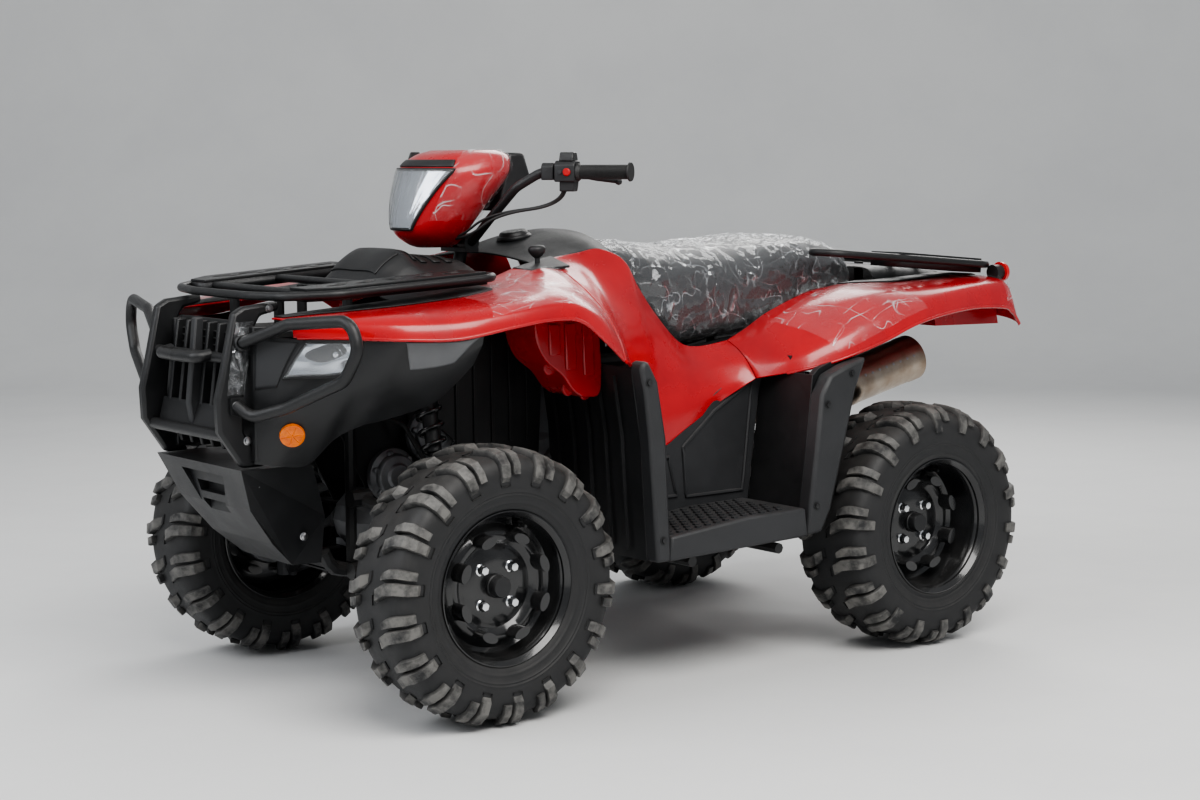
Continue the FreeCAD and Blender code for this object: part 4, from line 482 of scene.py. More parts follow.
VINYL = finish("seat_vinyl", (0.016, 0.0165, 0.018), (0.024, 0.0245, 0.026), rough=(0.34, 0.5),
               grain=(700, 0.45, 0.1), dust=0.02)
CAST_ALLOY = finish("cast_alloy", (0.33, 0.335, 0.345), (0.24, 0.245, 0.255), rough=(0.42, 0.6), metal=0.9,
                    grain=(700, 0.5, 0.08), dust=0.12)
DARK_CASTING = finish("dark_casting", (0.06, 0.0615, 0.065), (0.045, 0.046, 0.05), rough=(0.45, 0.6), metal=0.5,
                      grain=(800, 0.5, 0.08), dust=0.15)
STEEL = finish("plain_steel", (0.45, 0.455, 0.46), (0.36, 0.365, 0.37), rough=(0.28, 0.42), metal=1.0,
               grain=(1200, 0.1, 0.02), dust=0.05)
CHROME = finish("bright_plating", (0.8, 0.81, 0.82), (0.7, 0.71, 0.72), rough=(0.08, 0.18), metal=1.0,
                grain=(1200, 0.02, 0.01), dust=0.0)
TINTED_STEEL = finish("heat_tinted_steel", (0.42, 0.36, 0.3), (0.3, 0.22, 0.16), rough=(0.3, 0.5), metal=1.0,
                      grain=(900, 0.15, 0.03), dust=0.06, cloud=9)
AMBER = finish("amber_reflector", (0.9, 0.2, 0.0), (0.7, 0.11, 0.0), rough=(0.3, 0.4), coat=0.15,
               grain=(260, 0.9, 0.0), dust=0.0, cloud=60)
RED_REFLECTOR = finish("red_reflector", (0.55, 0.006, 0.006), (0.4, 0.004, 0.004), rough=(0.15, 0.25), coat=0.6,
                       grain=(420, 0.8, 0.0), dust=0.0)
STOP_RED = finish("stop_button", (0.5, 0.01, 0.01), (0.4, 0.008, 0.008), rough=(0.35, 0.45), grain=(900, 0.1, 0.02),
                  dust=0.0)
# A lighter grey, used only for the painted highlight on the front side panels.
PANEL_HIGHLIGHT_GREY = finish("painted_highlight_grey", (0.12, 0.123, 0.128), (0.1, 0.103, 0.108), rough=(0.4, 0.55),
                        grain=(1200, 0.5, 0.12), dust=0.05)
# Lug tops are painted lighter: partly dust, partly a painted highlight.
LUG_DUST_AND_HIGHLIGHT = (0.17, 0.165, 0.155)
SILVER_BOWL = finish("lamp_bowl", (0.75, 0.77, 0.8), (0.6, 0.62, 0.65), rough=(0.1, 0.2), metal=1.0,
                     grain=(90, 0.25, 0.0), dust=0.0)


def mark_colour(material, attribute, colour, share):
    """Lays another colour over a finish where an attribute of the mesh is set, broken up by the cloudy mask."""
    tree = material.node_tree
    shader = tree.nodes["Principled BSDF"]
    source = shader.inputs["Base Color"].links[0].from_socket
    marks = tree.nodes.new("ShaderNodeAttribute")
    marks.attribute_name = attribute
    broken = tree.nodes.new("ShaderNodeGroup")
    broken.node_tree = CLOUD_MASK
    broken.inputs["Scale"].default_value = 26.0
    broken.inputs["Low"].default_value = 0.36
    broken.inputs["High"].default_value = 0.6
    amount = tree.nodes.new("ShaderNodeMath")
    amount.operation = "MULTIPLY"
    scaled = tree.nodes.new("ShaderNodeMath")
    scaled.operation = "MULTIPLY"
    scaled.inputs[1].default_value = share
    over = tree.nodes.new("ShaderNodeMix")
    over.data_type = "RGBA"
    over.inputs["B"].default_value = (*colour, 1)
    join(tree, marks.outputs["Fac"], amount.inputs[0])
    join(tree, broken.outputs["Mask"], amount.inputs[1])
    join(tree, amount.outputs["Value"], scaled.inputs[0])
    join(tree, scaled.outputs["Value"], over.inputs["Factor"])
    join(tree, source, over.inputs["A"])
    join(tree, over.outputs["Result"], shader.inputs["Base Color"])


# Every lug top is painted lighter, partly as dust and partly as a painted highlight.
mark_colour(RUBBER, "lug_face", LUG_DUST_AND_HIGHLIGHT, 0.85)
print(len(bpy.data.materials), "finishes")

# %% [markdown]
# Clear lenses are real glass to the renderer: a plain transmission weight with a little roughness, and fine ribs in
# the normal that stand for the pressed pattern on the inside of the lens.

# %% Lens material


def lens_finish(name, colour, ribs):
    material = bpy.data.materials.new(name)
    material.use_nodes = True
    tree = material.node_tree
    shader = tree.nodes["Principled BSDF"]
    shader.inputs["Base Color"].default_value = (*colour, 1)
    shader.inputs["Roughness"].default_value = 0.04
    shader.inputs["IOR"].default_value = 1.45
    shader.inputs["Transmission Weight"].default_value = 0.92
    place = tree.nodes.new("ShaderNodeTexCoord")
    wave = tree.nodes.new("ShaderNodeTexWave")
    wave.inputs["Scale"].default_value = ribs
    wave.bands_direction = "Y"
    bump = tree.nodes.new("ShaderNodeBump")
    bump.inputs["Strength"].default_value = 0.12
    bump.inputs["Distance"].default_value = 0.003
    join(tree, place.outputs["Object"], wave.inputs["Vector"])
    join(tree, wave.outputs["Fac"], bump.inputs["Height"])
    join(tree, bump.outputs["Normal"], shader.inputs["Normal"])
    return material


CLEAR_LENS = lens_finish("clear_lens", (0.93, 0.95, 0.97), 18.0)
print("lens ready")

# %% [markdown]
# Every solid that stays in view gets the finish of the real part. The list goes by kind, so that the frame, the
# castings and the mouldings can't be mixed up.

# %% Finishes on the solids that stay
NODE_FINISH = {
    FRAME_BLACK: ["frame_rails", "frame_uprights", "frame_cross_tubes", "footwell_bars", "steering_bearing",
                  "rack_stays", "shock_mounts", "front_arms", "rear_arms", "tie_rod_left", "tie_rod_right",
                  "tow_hitch"],
    DARK_CASTING: ["knuckle_left", "knuckle_right", "rear_hub_carriers"],
    STEEL: ["propeller_shafts"],
    SOFT_RUBBER: ["half_shafts", "grips"],
    CAST_ALLOY: ["engine", "differentials"],
    TINTED_STEEL: ["muffler"],
    POWDER_BLACK: ["front_rack", "rear_rack", "bumper", "bumper_hoops", "handlebar", "levers", "shock_springs",
                   "shock_dampers"],
    BLACK_MOULDING: ["skid_plate", "switch_housings", "instrument", "tank_cover", "centre_cover",
                     "front_side_panels", "grille", "lower_cover", "selector_knob"],
    GREY_MOULDING: ["footwells"],
    RED: ["front_fender", "side_covers", "rear_fender", "inner_boxes", "tail_boxes", "pod_shell"],
    VINYL: ["seat"],
    CLEAR_LENS: ["headlamps", "pod_lens"],
    AMBER: ["amber_reflectors"],
    RED_REFLECTOR: ["tail_lamps"],
    RUBBER: [name for name in nodes if name.startswith("tyre")],
    RIM_BLACK: [name for name in nodes if name.startswith("rim")],
}
for material, names in NODE_FINISH.items():
    for name in names:
        solid = nodes[name]
        solid.data.materials.clear()
        solid.data.materials.append(material)
        solid.data.shade_smooth()
        solid.data.set_sharp_from_angle(angle=math.radians(50 if material is FRAME_BLACK else 38))
print(sum(len(names) for names in NODE_FINISH.values()), "solids finished of", len(nodes))

# %% [markdown]
# Each tyre is one carcass with a row of lugs on either half. The carcass is turned from the real section: bead,
# bulging side wall with a few raised rings, shoulder and nearly flat tread. A lug is drawn as a bar that starts at
# the middle, leans as it runs out, then drops over the shoulder, and it is laid on the section point by point.

# %% Tyres
LUGS = 18
LUG_LONG = [(0.004, 0.0), (0.03, 0.016), (0.056, 0.03), (0.078, 0.034), (0.1, 0.034), (0.122, 0.034),
            (0.142, 0.034)]
LUG_SHORT = [(0.044, 0.004), (0.062, 0.012), (0.08, 0.016), (0.1, 0.016), (0.118, 0.016)]


def tyre_section(half, seat):
    """Half of the section, from the middle of the tread out and down to the bead: place across, radius."""
    return [Vector((side * half, radius, 0)) for side, radius in (
        (0.0, 0.2885), (0.3, 0.2885), (0.6, 0.2865), (0.8, 0.281), (0.92, 0.271), (0.985, 0.256), (1.0, 0.238),
        (0.995, 0.219), (0.965, 0.2), (0.92, 0.184), (seat / half + 0.05, 0.1735), (seat / half + 0.01, 0.168))]


def on_section(line, distance):
    """Place, radius and outward way at a distance along the section."""
    for start, end in zip(line, line[1:]):
        run = (end - start).length
        if distance <= run or end is line[-1]:
            way = (end - start).normalized()
            spot = start + way * distance
            return spot, Vector((-way.y, way.x, 0)) * -1
        distance -= run
    return line[-1], Vector((1, 0, 0))


def lug(line, path, width, height, angle, side, flip):
    """One lug laid over the tread and down the shoulder."""
    rows = []
    for index, (distance, lead) in enumerate(path):
        spot, out = on_section(line, distance)
        if out.y < 0 and out.x < 0:
            out = -out
        fade = 1.0 if distance < 0.075 else max(0.35, 1.0 - (distance - 0.075) * 8.5)
        half = width / 2 * (0.72 if index == 0 else 1.0)
        row = []
        for offset, lift in ((-1.0, -0.002), (-0.93, 0.7), (-0.78, 1.0), (0.78, 1.0), (0.93, 0.7), (1.0, -0.002)):
            raised = spot + out * (height * fade * lift if lift > 0 else -0.003)
            turn = angle + (lead * flip + offset * half) / 0.29
            row.append((turn, raised.x * side, raised.y))
        rows.append(row)
    points = [Vector((radius * math.cos(turn), place, radius * math.sin(turn)))
              for row in rows for turn, place, radius in row]
    faces = grid_faces(len(rows), 6, flip=side < 0)
    last = len(points) - 6
    faces += [tuple(range(6)), tuple(range(last, last + 6))]
    return points, faces


def tyre_form(half, seat):
    line = smooth_line(tyre_section(half, seat), 60)
    ribbed = []
    for spot in line:
        on_ring = any(abs(spot.y - ring) < 0.0018 for ring in (0.186, 0.204, 0.209))
        bump = 0.0012 if on_ring and spot.x > half * 0.8 else 0
        ribbed.append(Vector((spot.x + bump, spot.y, 0)))
    profile = [(spot.y, spot.x) for spot in ribbed]
    other = [(radius, -place) for radius, place in profile[1:]][::-1]
    forms = [turned(other + profile, Vector((0, 0, 0)), (0, 1, 0), segments=108)]
    for side in (1, -1):
        for step in range(LUGS):
            base = 2 * math.pi * (step + (0.5 if side < 0 else 0.0)) / LUGS
            forms.append(lug(line, LUG_LONG, 0.03, 0.0145, base, side, side))
            forms.append(lug(line, LUG_SHORT, 0.024, 0.0125, base + math.pi / LUGS, side, side))
    return gather(forms)


def moved(form, shift):
    return [point + shift for point in form[0]], form[1]


for axle, x, half, seat, track in (("front", FRONT_AXLE, 0.097, 0.08, 0.47),
                                   ("rear", REAR_AXLE, 0.1118, 0.1, 0.48)):
    form = tyre_form(half, seat)
    for side, sign in (("left", 1), ("right", -1)):
        tyre = make(f"{axle}_{side}_tyre", moved(form, Vector((x, sign * track, AXLE_HEIGHT))), RUBBER,
                    body=f"wheel_{axle}_{side}", stands_for=[f"tyre_{axle}_{side}"], sharp=32,
                    merge=False)
        lug_rows = [0, 0.45, 1, 1, 0.45, 0] * (len(LUG_LONG) + len(LUG_SHORT))
        lug_marks = lug_rows * (LUGS * 2)
        plain = len(form[0]) - len(lug_marks)
        tyre.data.attributes.new("lug_face", "FLOAT", "POINT").data.foreach_set("value", [0.0] * plain + lug_marks)
print("tyres with", LUGS * 4, "lugs each")

# %% [markdown]
# The pressed steel rims are dished: the disc sits deep inside the barrel, with eight oval vents in a ring, a raised
# pad in the middle, four bright wheel nuts and a black cap. The vents are cut by ovals that run right through.

# %% Rims
VENTS, VENT_POINTS, NUTS = 8, 20, 4


def rim_form(half, disc):
    """Barrel and disc as one section turned about the axle: out is away from the bike."""
    return [(0.0, disc), (0.05, disc), (0.078, disc), (0.084, disc - 0.004), (0.092, disc - 0.006),
            (0.104, disc + 0.004), (0.116, disc + 0.004), (0.128, disc - 0.006), (0.136, disc - 0.012),
            (0.146, disc - 0.006), (0.149, disc + 0.004), (0.151, half - 0.022), (0.153, half - 0.014),
            (0.158, half - 0.009), (0.163, half - 0.002), (0.168, half + 0.002), (0.169, half + 0.0055),
            (0.1665, half + 0.0065), (0.161, half + 0.001), (0.1565, half - 0.004)]


for axle, x, half, disc, track in (("front", FRONT_AXLE, 0.08, 0.038, 0.47), ("rear", REAR_AXLE, 0.1, 0.014, 0.48)):
    profile = rim_form(half, disc)
    inner = [(0.1565, -half + 0.004), (0.161, -half - 0.001), (0.1665, -half - 0.0065), (0.169, -half - 0.0055),
             (0.168, -half - 0.002), (0.163, -half + 0.002), (0.158, -half + 0.009), (0.152, -half + 0.016),
             (0.151, disc - 0.014), (0.146, disc - 0.02), (0.128, disc - 0.012), (0.092, disc - 0.014),
             (0.0, disc - 0.008)]
    for side, sign in (("left", 1), ("right", -1)):
        centre = Vector((x, sign * track, AXLE_HEIGHT))
        way = Vector((0, sign, 0))
        body = f"wheel_{axle}_{side}"
        outer_form = turned(profile, centre, way, segments=96)
        inner_form = turned(inner[::-1], centre, way, segments=96)
        whole = gather([outer_form, inner_form])
        ring_out = [(0.1565, half - 0.004), (0.1565, -half + 0.004)]
        whole = gather([whole, turned(ring_out, centre, way, segments=96)])
        rim_piece = make(f"{axle}_{side}_rim", whole, RIM_BLACK, body=body, stands_for=[f"rim_{axle}_{side}"],
                         sharp=40)
        cutters = []
        for step in range(VENTS):
            angle = 2 * math.pi * (step + 0.5) / VENTS
            out = Vector((math.cos(angle), 0, math.sin(angle)))
            along_way = Vector((-math.sin(angle), 0, math.cos(angle)))
            turns = [2 * math.pi * s / VENT_POINTS for s in range(VENT_POINTS)]
            oval = [centre + out * (0.111 + 0.011 * math.cos(t)) + along_way * (0.021 * math.sin(t))
                    + way * (disc - 0.04) for t in turns]
            cutters.append(slab(oval, way * 0.08))
        cut(rim_piece, cutters)
        cap = [(0.026, disc), (0.026, disc + 0.006), (0.024, disc + 0.008), (0.0235, disc + 0.024),
               (0.021, disc + 0.028), (0.0, disc + 0.0285)]
        make(f"{axle}_{side}_cap", turned(cap, centre, way, segments=40), BLACK_MOULDING, body=body, sharp=35)
        nuts = []
        for step in range(NUTS):
            angle = 2 * math.pi * (step + 0.5) / NUTS
            spot = centre + Vector((math.cos(angle), 0, math.sin(angle))) * 0.055
            nuts.append(turned([(0.0135, disc), (0.0135, disc + 0.002), (0.0105, disc + 0.004)], spot, way,
                               segments=20))
            nuts.append(turned([(0.0105, disc + 0.004), (0.0105, disc + 0.016), (0.009, disc + 0.0185),
                                (0.0, disc + 0.0195)], spot, way, segments=6))
        make(f"{axle}_{side}_nuts", gather(nuts), CHROME, body=body, sharp=30)
        valve = centre + Vector((math.cos(2.0), 0, math.sin(2.0))) * 0.14
        make(f"{axle}_{side}_valve", turned([(0.0, disc - 0.01), (0.0055, disc - 0.01), (0.0055, disc + 0.012),
                                             (0.0035, disc + 0.014), (0.0035, disc + 0.032), (0.0, disc + 0.033)],
                                            valve, way, segments=12), SOFT_RUBBER, body=body)
print("rims done")

# %% [markdown]
# The red mouldings are single sheets with a soft crown. Their sections are the same as in the solids, but the skin
# here runs smoothly both ways, with a wall and a small bevel at its edges.

# %% Red mouldings
FRONT_FENDER = [
    (16.7, [(2.15, 8.82), (2.5, 8.82), (2.8, 8.77), (3.0, 8.65), (3.05, 8.45)]),
    (16.0, [(2.15, 8.88), (2.8, 8.88), (3.4, 8.84), (3.75, 8.72), (3.85, 8.45)]),
    (15.0, [(2.15, 8.95), (3.2, 8.95), (4.2, 8.9), (4.65, 8.74), (4.8, 8.42)]),
    (14.0, [(2.15, 9.02), (3.4, 9.02), (4.6, 8.96), (5.15, 8.78), (5.3, 8.42)]),
    (12.7, [(2.15, 9.12), (3.5, 9.14), (4.8, 9.1), (5.35, 8.95), (5.5, 8.62)]),
    (11.8, [(2.15, 9.25), (3.5, 9.28), (4.8, 9.22), (5.4, 9.05), (5.55, 8.72)]),
    (11.0, [(2.15, 9.45), (3.5, 9.45), (4.8, 9.3), (5.4, 9.02), (5.55, 8.66)]),
    (10.2, [(2.2, 9.72), (3.4, 9.6), (4.6, 9.15), (5.25, 8.7), (5.45, 8.15)]),
    (9.6, [(2.2, 9.82), (3.3, 9.5), (4.4, 8.9), (5.1, 8.2), (5.35, 7.68)]),
]
SIDE_COVER = [
    (9.57, [(2.2, 9.82), (3.3, 9.5), (4.4, 8.9), (5.1, 8.2), (5.35, 7.68)]),
    (9.1, [(2.25, 9.9), (3.2, 9.45), (4.1, 8.7), (4.72, 7.95), (4.98, 7.45)]),
    (8.6, [(2.3, 9.97), (3.05, 9.3), (3.7, 8.4), (4.1, 7.5), (4.2, 6.9)]),
    (8.0, [(2.4, 10.05), (2.95, 9.1), (3.5, 8.0), (3.75, 6.9), (3.8, 6.0)]),
    (7.3, [(2.45, 9.75), (2.9, 8.7), (3.3, 7.6), (3.45, 6.4), (3.45, 5.45)]),
    (6.9, [(2.5, 9.1), (2.87, 8.3), (3.22, 7.3), (3.42, 6.3), (3.42, 5.35)]),
    (6.4, [(2.52, 8.45), (2.85, 7.9), (3.2, 7.1), (3.41, 6.3), (3.41, 5.6)]),
    (5.7, [(2.55, 7.75), (2.85, 7.4), (3.2, 6.95), (3.41, 6.4), (3.41, 5.98)]),
    (5.1, [(2.58, 7.6), (2.87, 7.35), (3.2, 7.05), (3.41, 6.6), (3.41, 6.3)]),
    (4.19, [(2.6, 7.7), (2.93, 7.55), (3.27, 7.32), (3.52, 7.05), (3.68, 6.83)]),
]
REAR_FENDER = [
    (4.18, [(2.6, 7.7), (2.93, 7.55), (3.27, 7.32), (3.52, 7.05), (3.68, 6.83)]),
    (3.6, [(2.6, 7.95), (3.2, 7.85), (3.9, 7.6), (4.4, 7.35), (4.6, 7.05)]),
    (2.8, [(2.6, 8.35), (3.4, 8.32), (4.3, 8.1), (4.95, 7.75), (5.15, 7.3)]),
    (1.6, [(2.6, 8.75), (3.5, 8.76), (4.5, 8.65), (5.2, 8.25), (5.45, 7.7)]),
    (0.6, [(2.6, 8.9), (3.6, 8.93), (4.6, 8.85), (5.25, 8.5), (5.5, 8.05)]),
    (-0.6, [(2.3, 8.95), (3.4, 8.98), (4.5, 8.93), (5.15, 8.7), (5.35, 8.25)]),
    (-2.0, [(2.0, 9.0), (3.2, 9.03), (4.3, 9.0), (4.95, 8.83), (5.15, 8.35)]),
    (-3.2, [(2.0, 9.05), (3.1, 9.08), (4.2, 9.05), (4.85, 8.88), (5.05, 8.3)]),
    (-3.6, [(2.0, 8.98), (3.1, 9.02), (4.2, 9.0), (4.8, 8.83), (4.98, 8.15)]),
    (-3.85, [(2.0, 8.6), (3.1, 8.65), (4.2, 8.6), (4.75, 8.4), (4.92, 7.95)]),
    (-4.03, [(2.0, 8.05), (3.1, 8.05), (4.2, 8.0), (4.7, 7.9), (4.87, 7.78)]),
]
ROWS, COLUMNS = 56, 28
for name, sections in (("front_fender", FRONT_FENDER), ("side_covers", SIDE_COVER), ("rear_fender", REAR_FENDER)):
    make(name + "_skin", on_both_sides(skin(sections, ROWS, COLUMNS)), RED, stands_for=[name], wall=0.004,
         bevel=0.0012, sharp=60)
print("red mouldings done")

# %% [markdown]
# Some pieces lie on a curved panel: a lamp lens, a reflector, a strip of film. For these the panel is kept as a
# grid, and a patch is read from it between four corners given in shares of its length and depth, then lifted off
# it.

# %% Helpers for patches and bolts


def sample(grid, u, v):
    """A place on a grid of points and the way it faces, at shares of its rows and columns."""
    rows, columns = len(grid) - 1, len(grid[0]) - 1
    a, b = min(max(u, 0), 1) * rows, min(max(v, 0), 1) * columns
    i, j = min(int(a), rows - 1), min(int(b), columns - 1)
    s, t = a - i, b - j
    spot = (grid[i][j] * (1 - s) * (1 - t) + grid[i + 1][j] * s * (1 - t) + grid[i][j + 1] * (1 - s) * t
            + grid[i + 1][j + 1] * s * t)
    out = (grid[i][j + 1] - grid[i][j]).cross(grid[i + 1][j] - grid[i][j])
    return spot, out.normalized()


def skin_grid(sections, rows, columns):
    points, faces = skin(sections, rows, columns)
    return [points[row * columns:(row + 1) * columns] for row in range(rows)]


def between(corners, s, t):
    """The shares of a grid's rows and columns at a place between four corners."""
    a, b, c, d = corners
    return [(a[k] * (1 - s) + b[k] * s) * (1 - t) + (d[k] * (1 - s) + c[k] * s) * t for k in (0, 1)]


def patch(grid, corners, rows, columns, lift, wave=None):
    """A piece of the grid between four corners, lifted along the way it faces."""
    points = []
    for row in range(rows):
        for column in range(columns):
            s, t = row / (rows - 1), column / (columns - 1)
            spot, out = sample(grid, *between(corners, s, t))
            height = lift + (wave(s, t) if wave else 0.0)
            points.append(spot + out * height)
    return points, grid_faces(rows, columns)


def edge_of(grid, corners, lift):
    """The outline of a patch as a route, with twelve places to a side."""
    route = []
    for index in range(4):
        a, b = corners[index], corners[(index + 1) % 4]
        for step in range(12):
            t = step / 12
            spot, out = sample(grid, a[0] + (b[0] - a[0]) * t, a[1] + (b[1] - a[1]) * t)
            route.append(spot + out * lift)
    return route


def ring_tube(route, radius, sides=8):
    """A closed thin bead along a closed route."""
    count = len(route)
    points = []
    for index in range(count):
        way = (route[(index + 1) % count] - route[index - 1]).normalized()
        first = way.cross(Vector((0.12, 0.35, 0.93))).normalized()
        second = way.cross(first)
        points += [route[index] + around(first, second, 2 * math.pi * s / sides) * radius for s in range(sides)]
    return points, grid_faces(count, sides, ring_rows=True, ring_columns=True)


def bolt(spot, way, radius=0.007, height=0.006):
    """A flanged hexagon bolt head."""
    flange = [(0, 0), (radius * 1.35, 0), (radius * 1.35, height * 0.25), (radius, height * 0.35)]
    head = [(radius, height * 0.3), (radius, height * 0.9), (radius * 0.8, height), (0, height)]
    return gather([turned(flange, spot, way, 16), turned(head, spot, way, 6)])


print("patch helpers ready")

# %% [markdown]
# The edge of each red moulding is rolled into a round lip. It stiffens the sheet, keeps a sharp edge off the rider's
# leg and catches a thin line of light. A tube along the last column of each surface is that lip.

# %% Rolled lips
for name, sections, first_row, last_row in (("front", FRONT_FENDER, 1, 55), ("side", SIDE_COVER, 0, 20),
                                            ("rear", REAR_FENDER, 4, 54)):
    edge_line = [row[-1] for row in skin_grid(sections, ROWS, COLUMNS)][first_row:last_row]
    make(f"{name}_lip", on_both_sides(tube(edge_line, 0.0042, 0.001, 10)), RED, sharp=60)
print("lips done")

# %% [markdown]
# What closes the view under a fender is black: liners inboard of the wheels, and a cover between the rear fenders.
# Without these the eye would look straight through the bike. The black patches laid on the red fenders under the
# carriers are painted shadow of the carriers.

# %% Black inner panels and painted carrier shadows
front_grid = skin_grid(FRONT_FENDER, ROWS, COLUMNS)
rear_grid = skin_grid(REAR_FENDER, ROWS, COLUMNS)
# The black patches on the red fenders under the carriers are painted shadow of the carriers.
for name, grid, corners in (("front_carrier_shadow", front_grid, [(0.02, 0.0), (0.68, 0.0), (0.62, 0.24), (0.02, 0.22)]),
                            ("rear_carrier_shadow", rear_grid, [(0.42, 0.0), (0.93, 0.0), (0.93, 0.42), (0.5, 0.3)])):
    make(name, on_both_sides(patch(grid, corners, 40, 20, 0.0035)), BLACK_MOULDING, wall=0.003, bevel=0.001)


def whole_width(table):
    """Half sections carried across to the other side."""
    return [(station, [(-side, level) for side, level in half[:0:-1]] + half) for station, half in table]


TAIL_COVER = [(-0.9, [(0.0, 9.3), (1.2, 9.3), (2.3, 9.28), (2.75, 8.85)]),
              (-1.6, [(0.0, 9.34), (1.2, 9.34), (2.35, 9.31), (2.8, 8.9)]),
              (-2.6, [(0.0, 9.26), (1.2, 9.26), (2.35, 9.24), (2.8, 8.92)]),
              (-3.5, [(0.0, 9.13), (1.2, 9.13), (2.3, 9.12), (2.8, 8.95)]),
              (-3.9, [(0.0, 8.8), (1.2, 8.8), (2.2, 8.75), (2.7, 8.5)]),
              (-4.0, [(0.0, 8.1), (1.2, 8.1), (2.1, 8.1), (2.5, 8.1)])]
make("tail_cover", skin(whole_width(TAIL_COVER), 40, 40), BLACK_MOULDING, wall=0.004, bevel=0.002, sharp=50)
front_liner = slab([at(9.35, 1.62, 4.4), at(11.2, 1.62, 5.3), at(12.5, 1.62, 6.4), at(12.7, 1.62, 8.7),
                    at(9.6, 1.62, 9.4), at(9.2, 1.62, 7.0)], Vector((0, 0.006, 0)))
rear_liner = slab([at(4.6, 1.62, 5.9), at(4.6, 1.62, 7.5), at(3.6, 1.62, 7.65), at(1.9, 1.62, 7.8),
                   at(0.2, 1.62, 8.6), at(-3.3, 1.62, 9.0), at(-3.5, 1.62, 8.2), at(-1.2, 1.62, 7.6),
                   at(1.0, 1.62, 7.0)], Vector((0, 0.006, 0)))
liner_ribs = [slab([at(station, 1.68, 5.6), at(station + 0.08, 1.68, 5.6), at(station + 0.1, 1.68, 8.6),
                    at(station + 0.02, 1.68, 8.6)], Vector((0, 0.005, 0)))
              for station in (9.6, 10.1, 10.6, 11.1, 11.6, 12.1)]
nose_liner = slab([at(11.5, 0.9, 4.2), at(13.4, 0.9, 4.2), at(14.5, 0.9, 6.4), at(14.3, 0.9, 7.6),
                   at(11.5, 0.9, 7.6)], Vector((0, 0.004, 0)))
make("arch_liners", on_both_sides(gather([front_liner, rear_liner, nose_liner] + liner_ribs)), BLACK_MOULDING,
     bevel=0.001)
case_section = [(0.0, 0.0), (0.058, 0.0), (0.062, 0.004), (0.062, 0.02), (0.05, 0.026), (0.05, 0.034),
                (0.046, 0.04), (0.03, 0.044), (0.026, 0.05), (0.012, 0.052), (0.0, 0.052)]
castings = [turned(case_section, at(12.05, 1.05, 5.85), (0, 1, 0), 40),
            turned(case_section, at(13.05, 0.96, 5.0), (0, 1, 0), 40)]
for station, level in ((12.05, 5.85), (13.05, 5.0)):
    for step in range(6):
        angle = math.pi * step / 3 + 0.3
        castings.append(turned([(0.0075, 0), (0.0075, 0.012), (0.005, 0.015), (0, 0.015)],
                               at(station, 1.05 if station < 12.5 else 0.96, level)
                               + Vector((math.cos(angle) * 0.052, 0.018, math.sin(angle) * 0.052)), (0, 1, 0), 12))
make("side_castings", on_both_sides(gather(castings)), CAST_ALLOY, bevel=0.001, sharp=35)
hoses = [tube([at(12.0, 1.3, 6.5), at(12.3, 1.45, 7.0), at(13.0, 1.4, 7.2), at(13.8, 1.3, 6.9)], 0.009, 0.04, 12),
         tube([at(11.4, 1.4, 5.2), at(11.9, 1.5, 5.0), at(12.4, 1.5, 5.3), at(12.9, 1.35, 6.2), at(13.6, 1.3, 6.4)],
              0.006, 0.03, 10)]
make("breather_hoses", on_both_sides(gather(hoses)), SOFT_RUBBER, sharp=60)
print("inner panels done")

# %% [markdown]
# The black panel beside the grille carries the headlamp and the round side reflector. The lamp is built in layers,
# as a real one is: a hollow silver bowl with soft ribs, a bulb in its shade, a clear lens over both, and a dark
# bezel round the edge.

# %% Front side panels and headlamps
FRONT_PANEL = [
    (17.1, [(2.05, 8.5), (2.05, 8.0), (2.05, 7.3), (2.03, 6.5), (2.0, 5.7)]),
    (16.7, [(2.98, 8.42), (2.97, 8.0), (2.92, 7.4), (2.65, 6.5), (2.25, 5.65)]),
    (16.0, [(3.8, 8.42), (3.76, 8.0), (3.55, 7.3), (2.95, 6.4), (2.35, 5.62)]),
    (15.6, [(4.2, 8.41), (4.15, 8.0), (3.9, 7.4), (3.35, 6.75), (2.85, 6.2)]),
    (15.2, [(4.58, 8.39), (4.5, 8.05), (4.25, 7.55), (3.85, 7.05), (3.3, 6.5)]),
    (14.8, [(4.86, 8.38), (4.68, 8.1), (4.45, 7.6), (4.1, 7.15), (3.5, 6.6)]),
    (14.0, [(5.26, 8.38), (5.2, 8.2), (5.05, 7.9), (4.75, 7.5), (4.3, 7.0)]),
    (13.4, [(5.33, 8.46), (5.3, 8.4), (5.25, 8.25), (5.1, 8.05), (4.9, 7.8)]),
]
panel_grid = skin_grid(FRONT_PANEL, 50, 30)
make("front_panel_skin", on_both_sides(([point for line in panel_grid for point in line], grid_faces(50, 30))),
     BLACK_MOULDING, stands_for=["front_side_panels"], wall=0.004, bevel=0.001, sharp=50)
LAMP_CORNERS = [(0.12, 0.43), (0.19, 0.04), (0.39, 0.04), (0.33, 0.36)]
HIGHLIGHT_CORNERS = [(0.72, 0.42), (0.66, 0.03), (0.97, 0.03), (0.86, 0.5)]
NOSTRIL_CORNERS = [(0.01, 0.5), (0.02, 0.06), (0.165, 0.06), (0.095, 0.5)]


def bowl_wave(s, t):
    hollow = math.exp(-((s - 0.62) ** 2 + (t - 0.42) ** 2) / 0.05)
    return -0.001 - 0.012 * hollow - 0.0015 * abs(math.sin(s * 8)) * (1 - hollow)


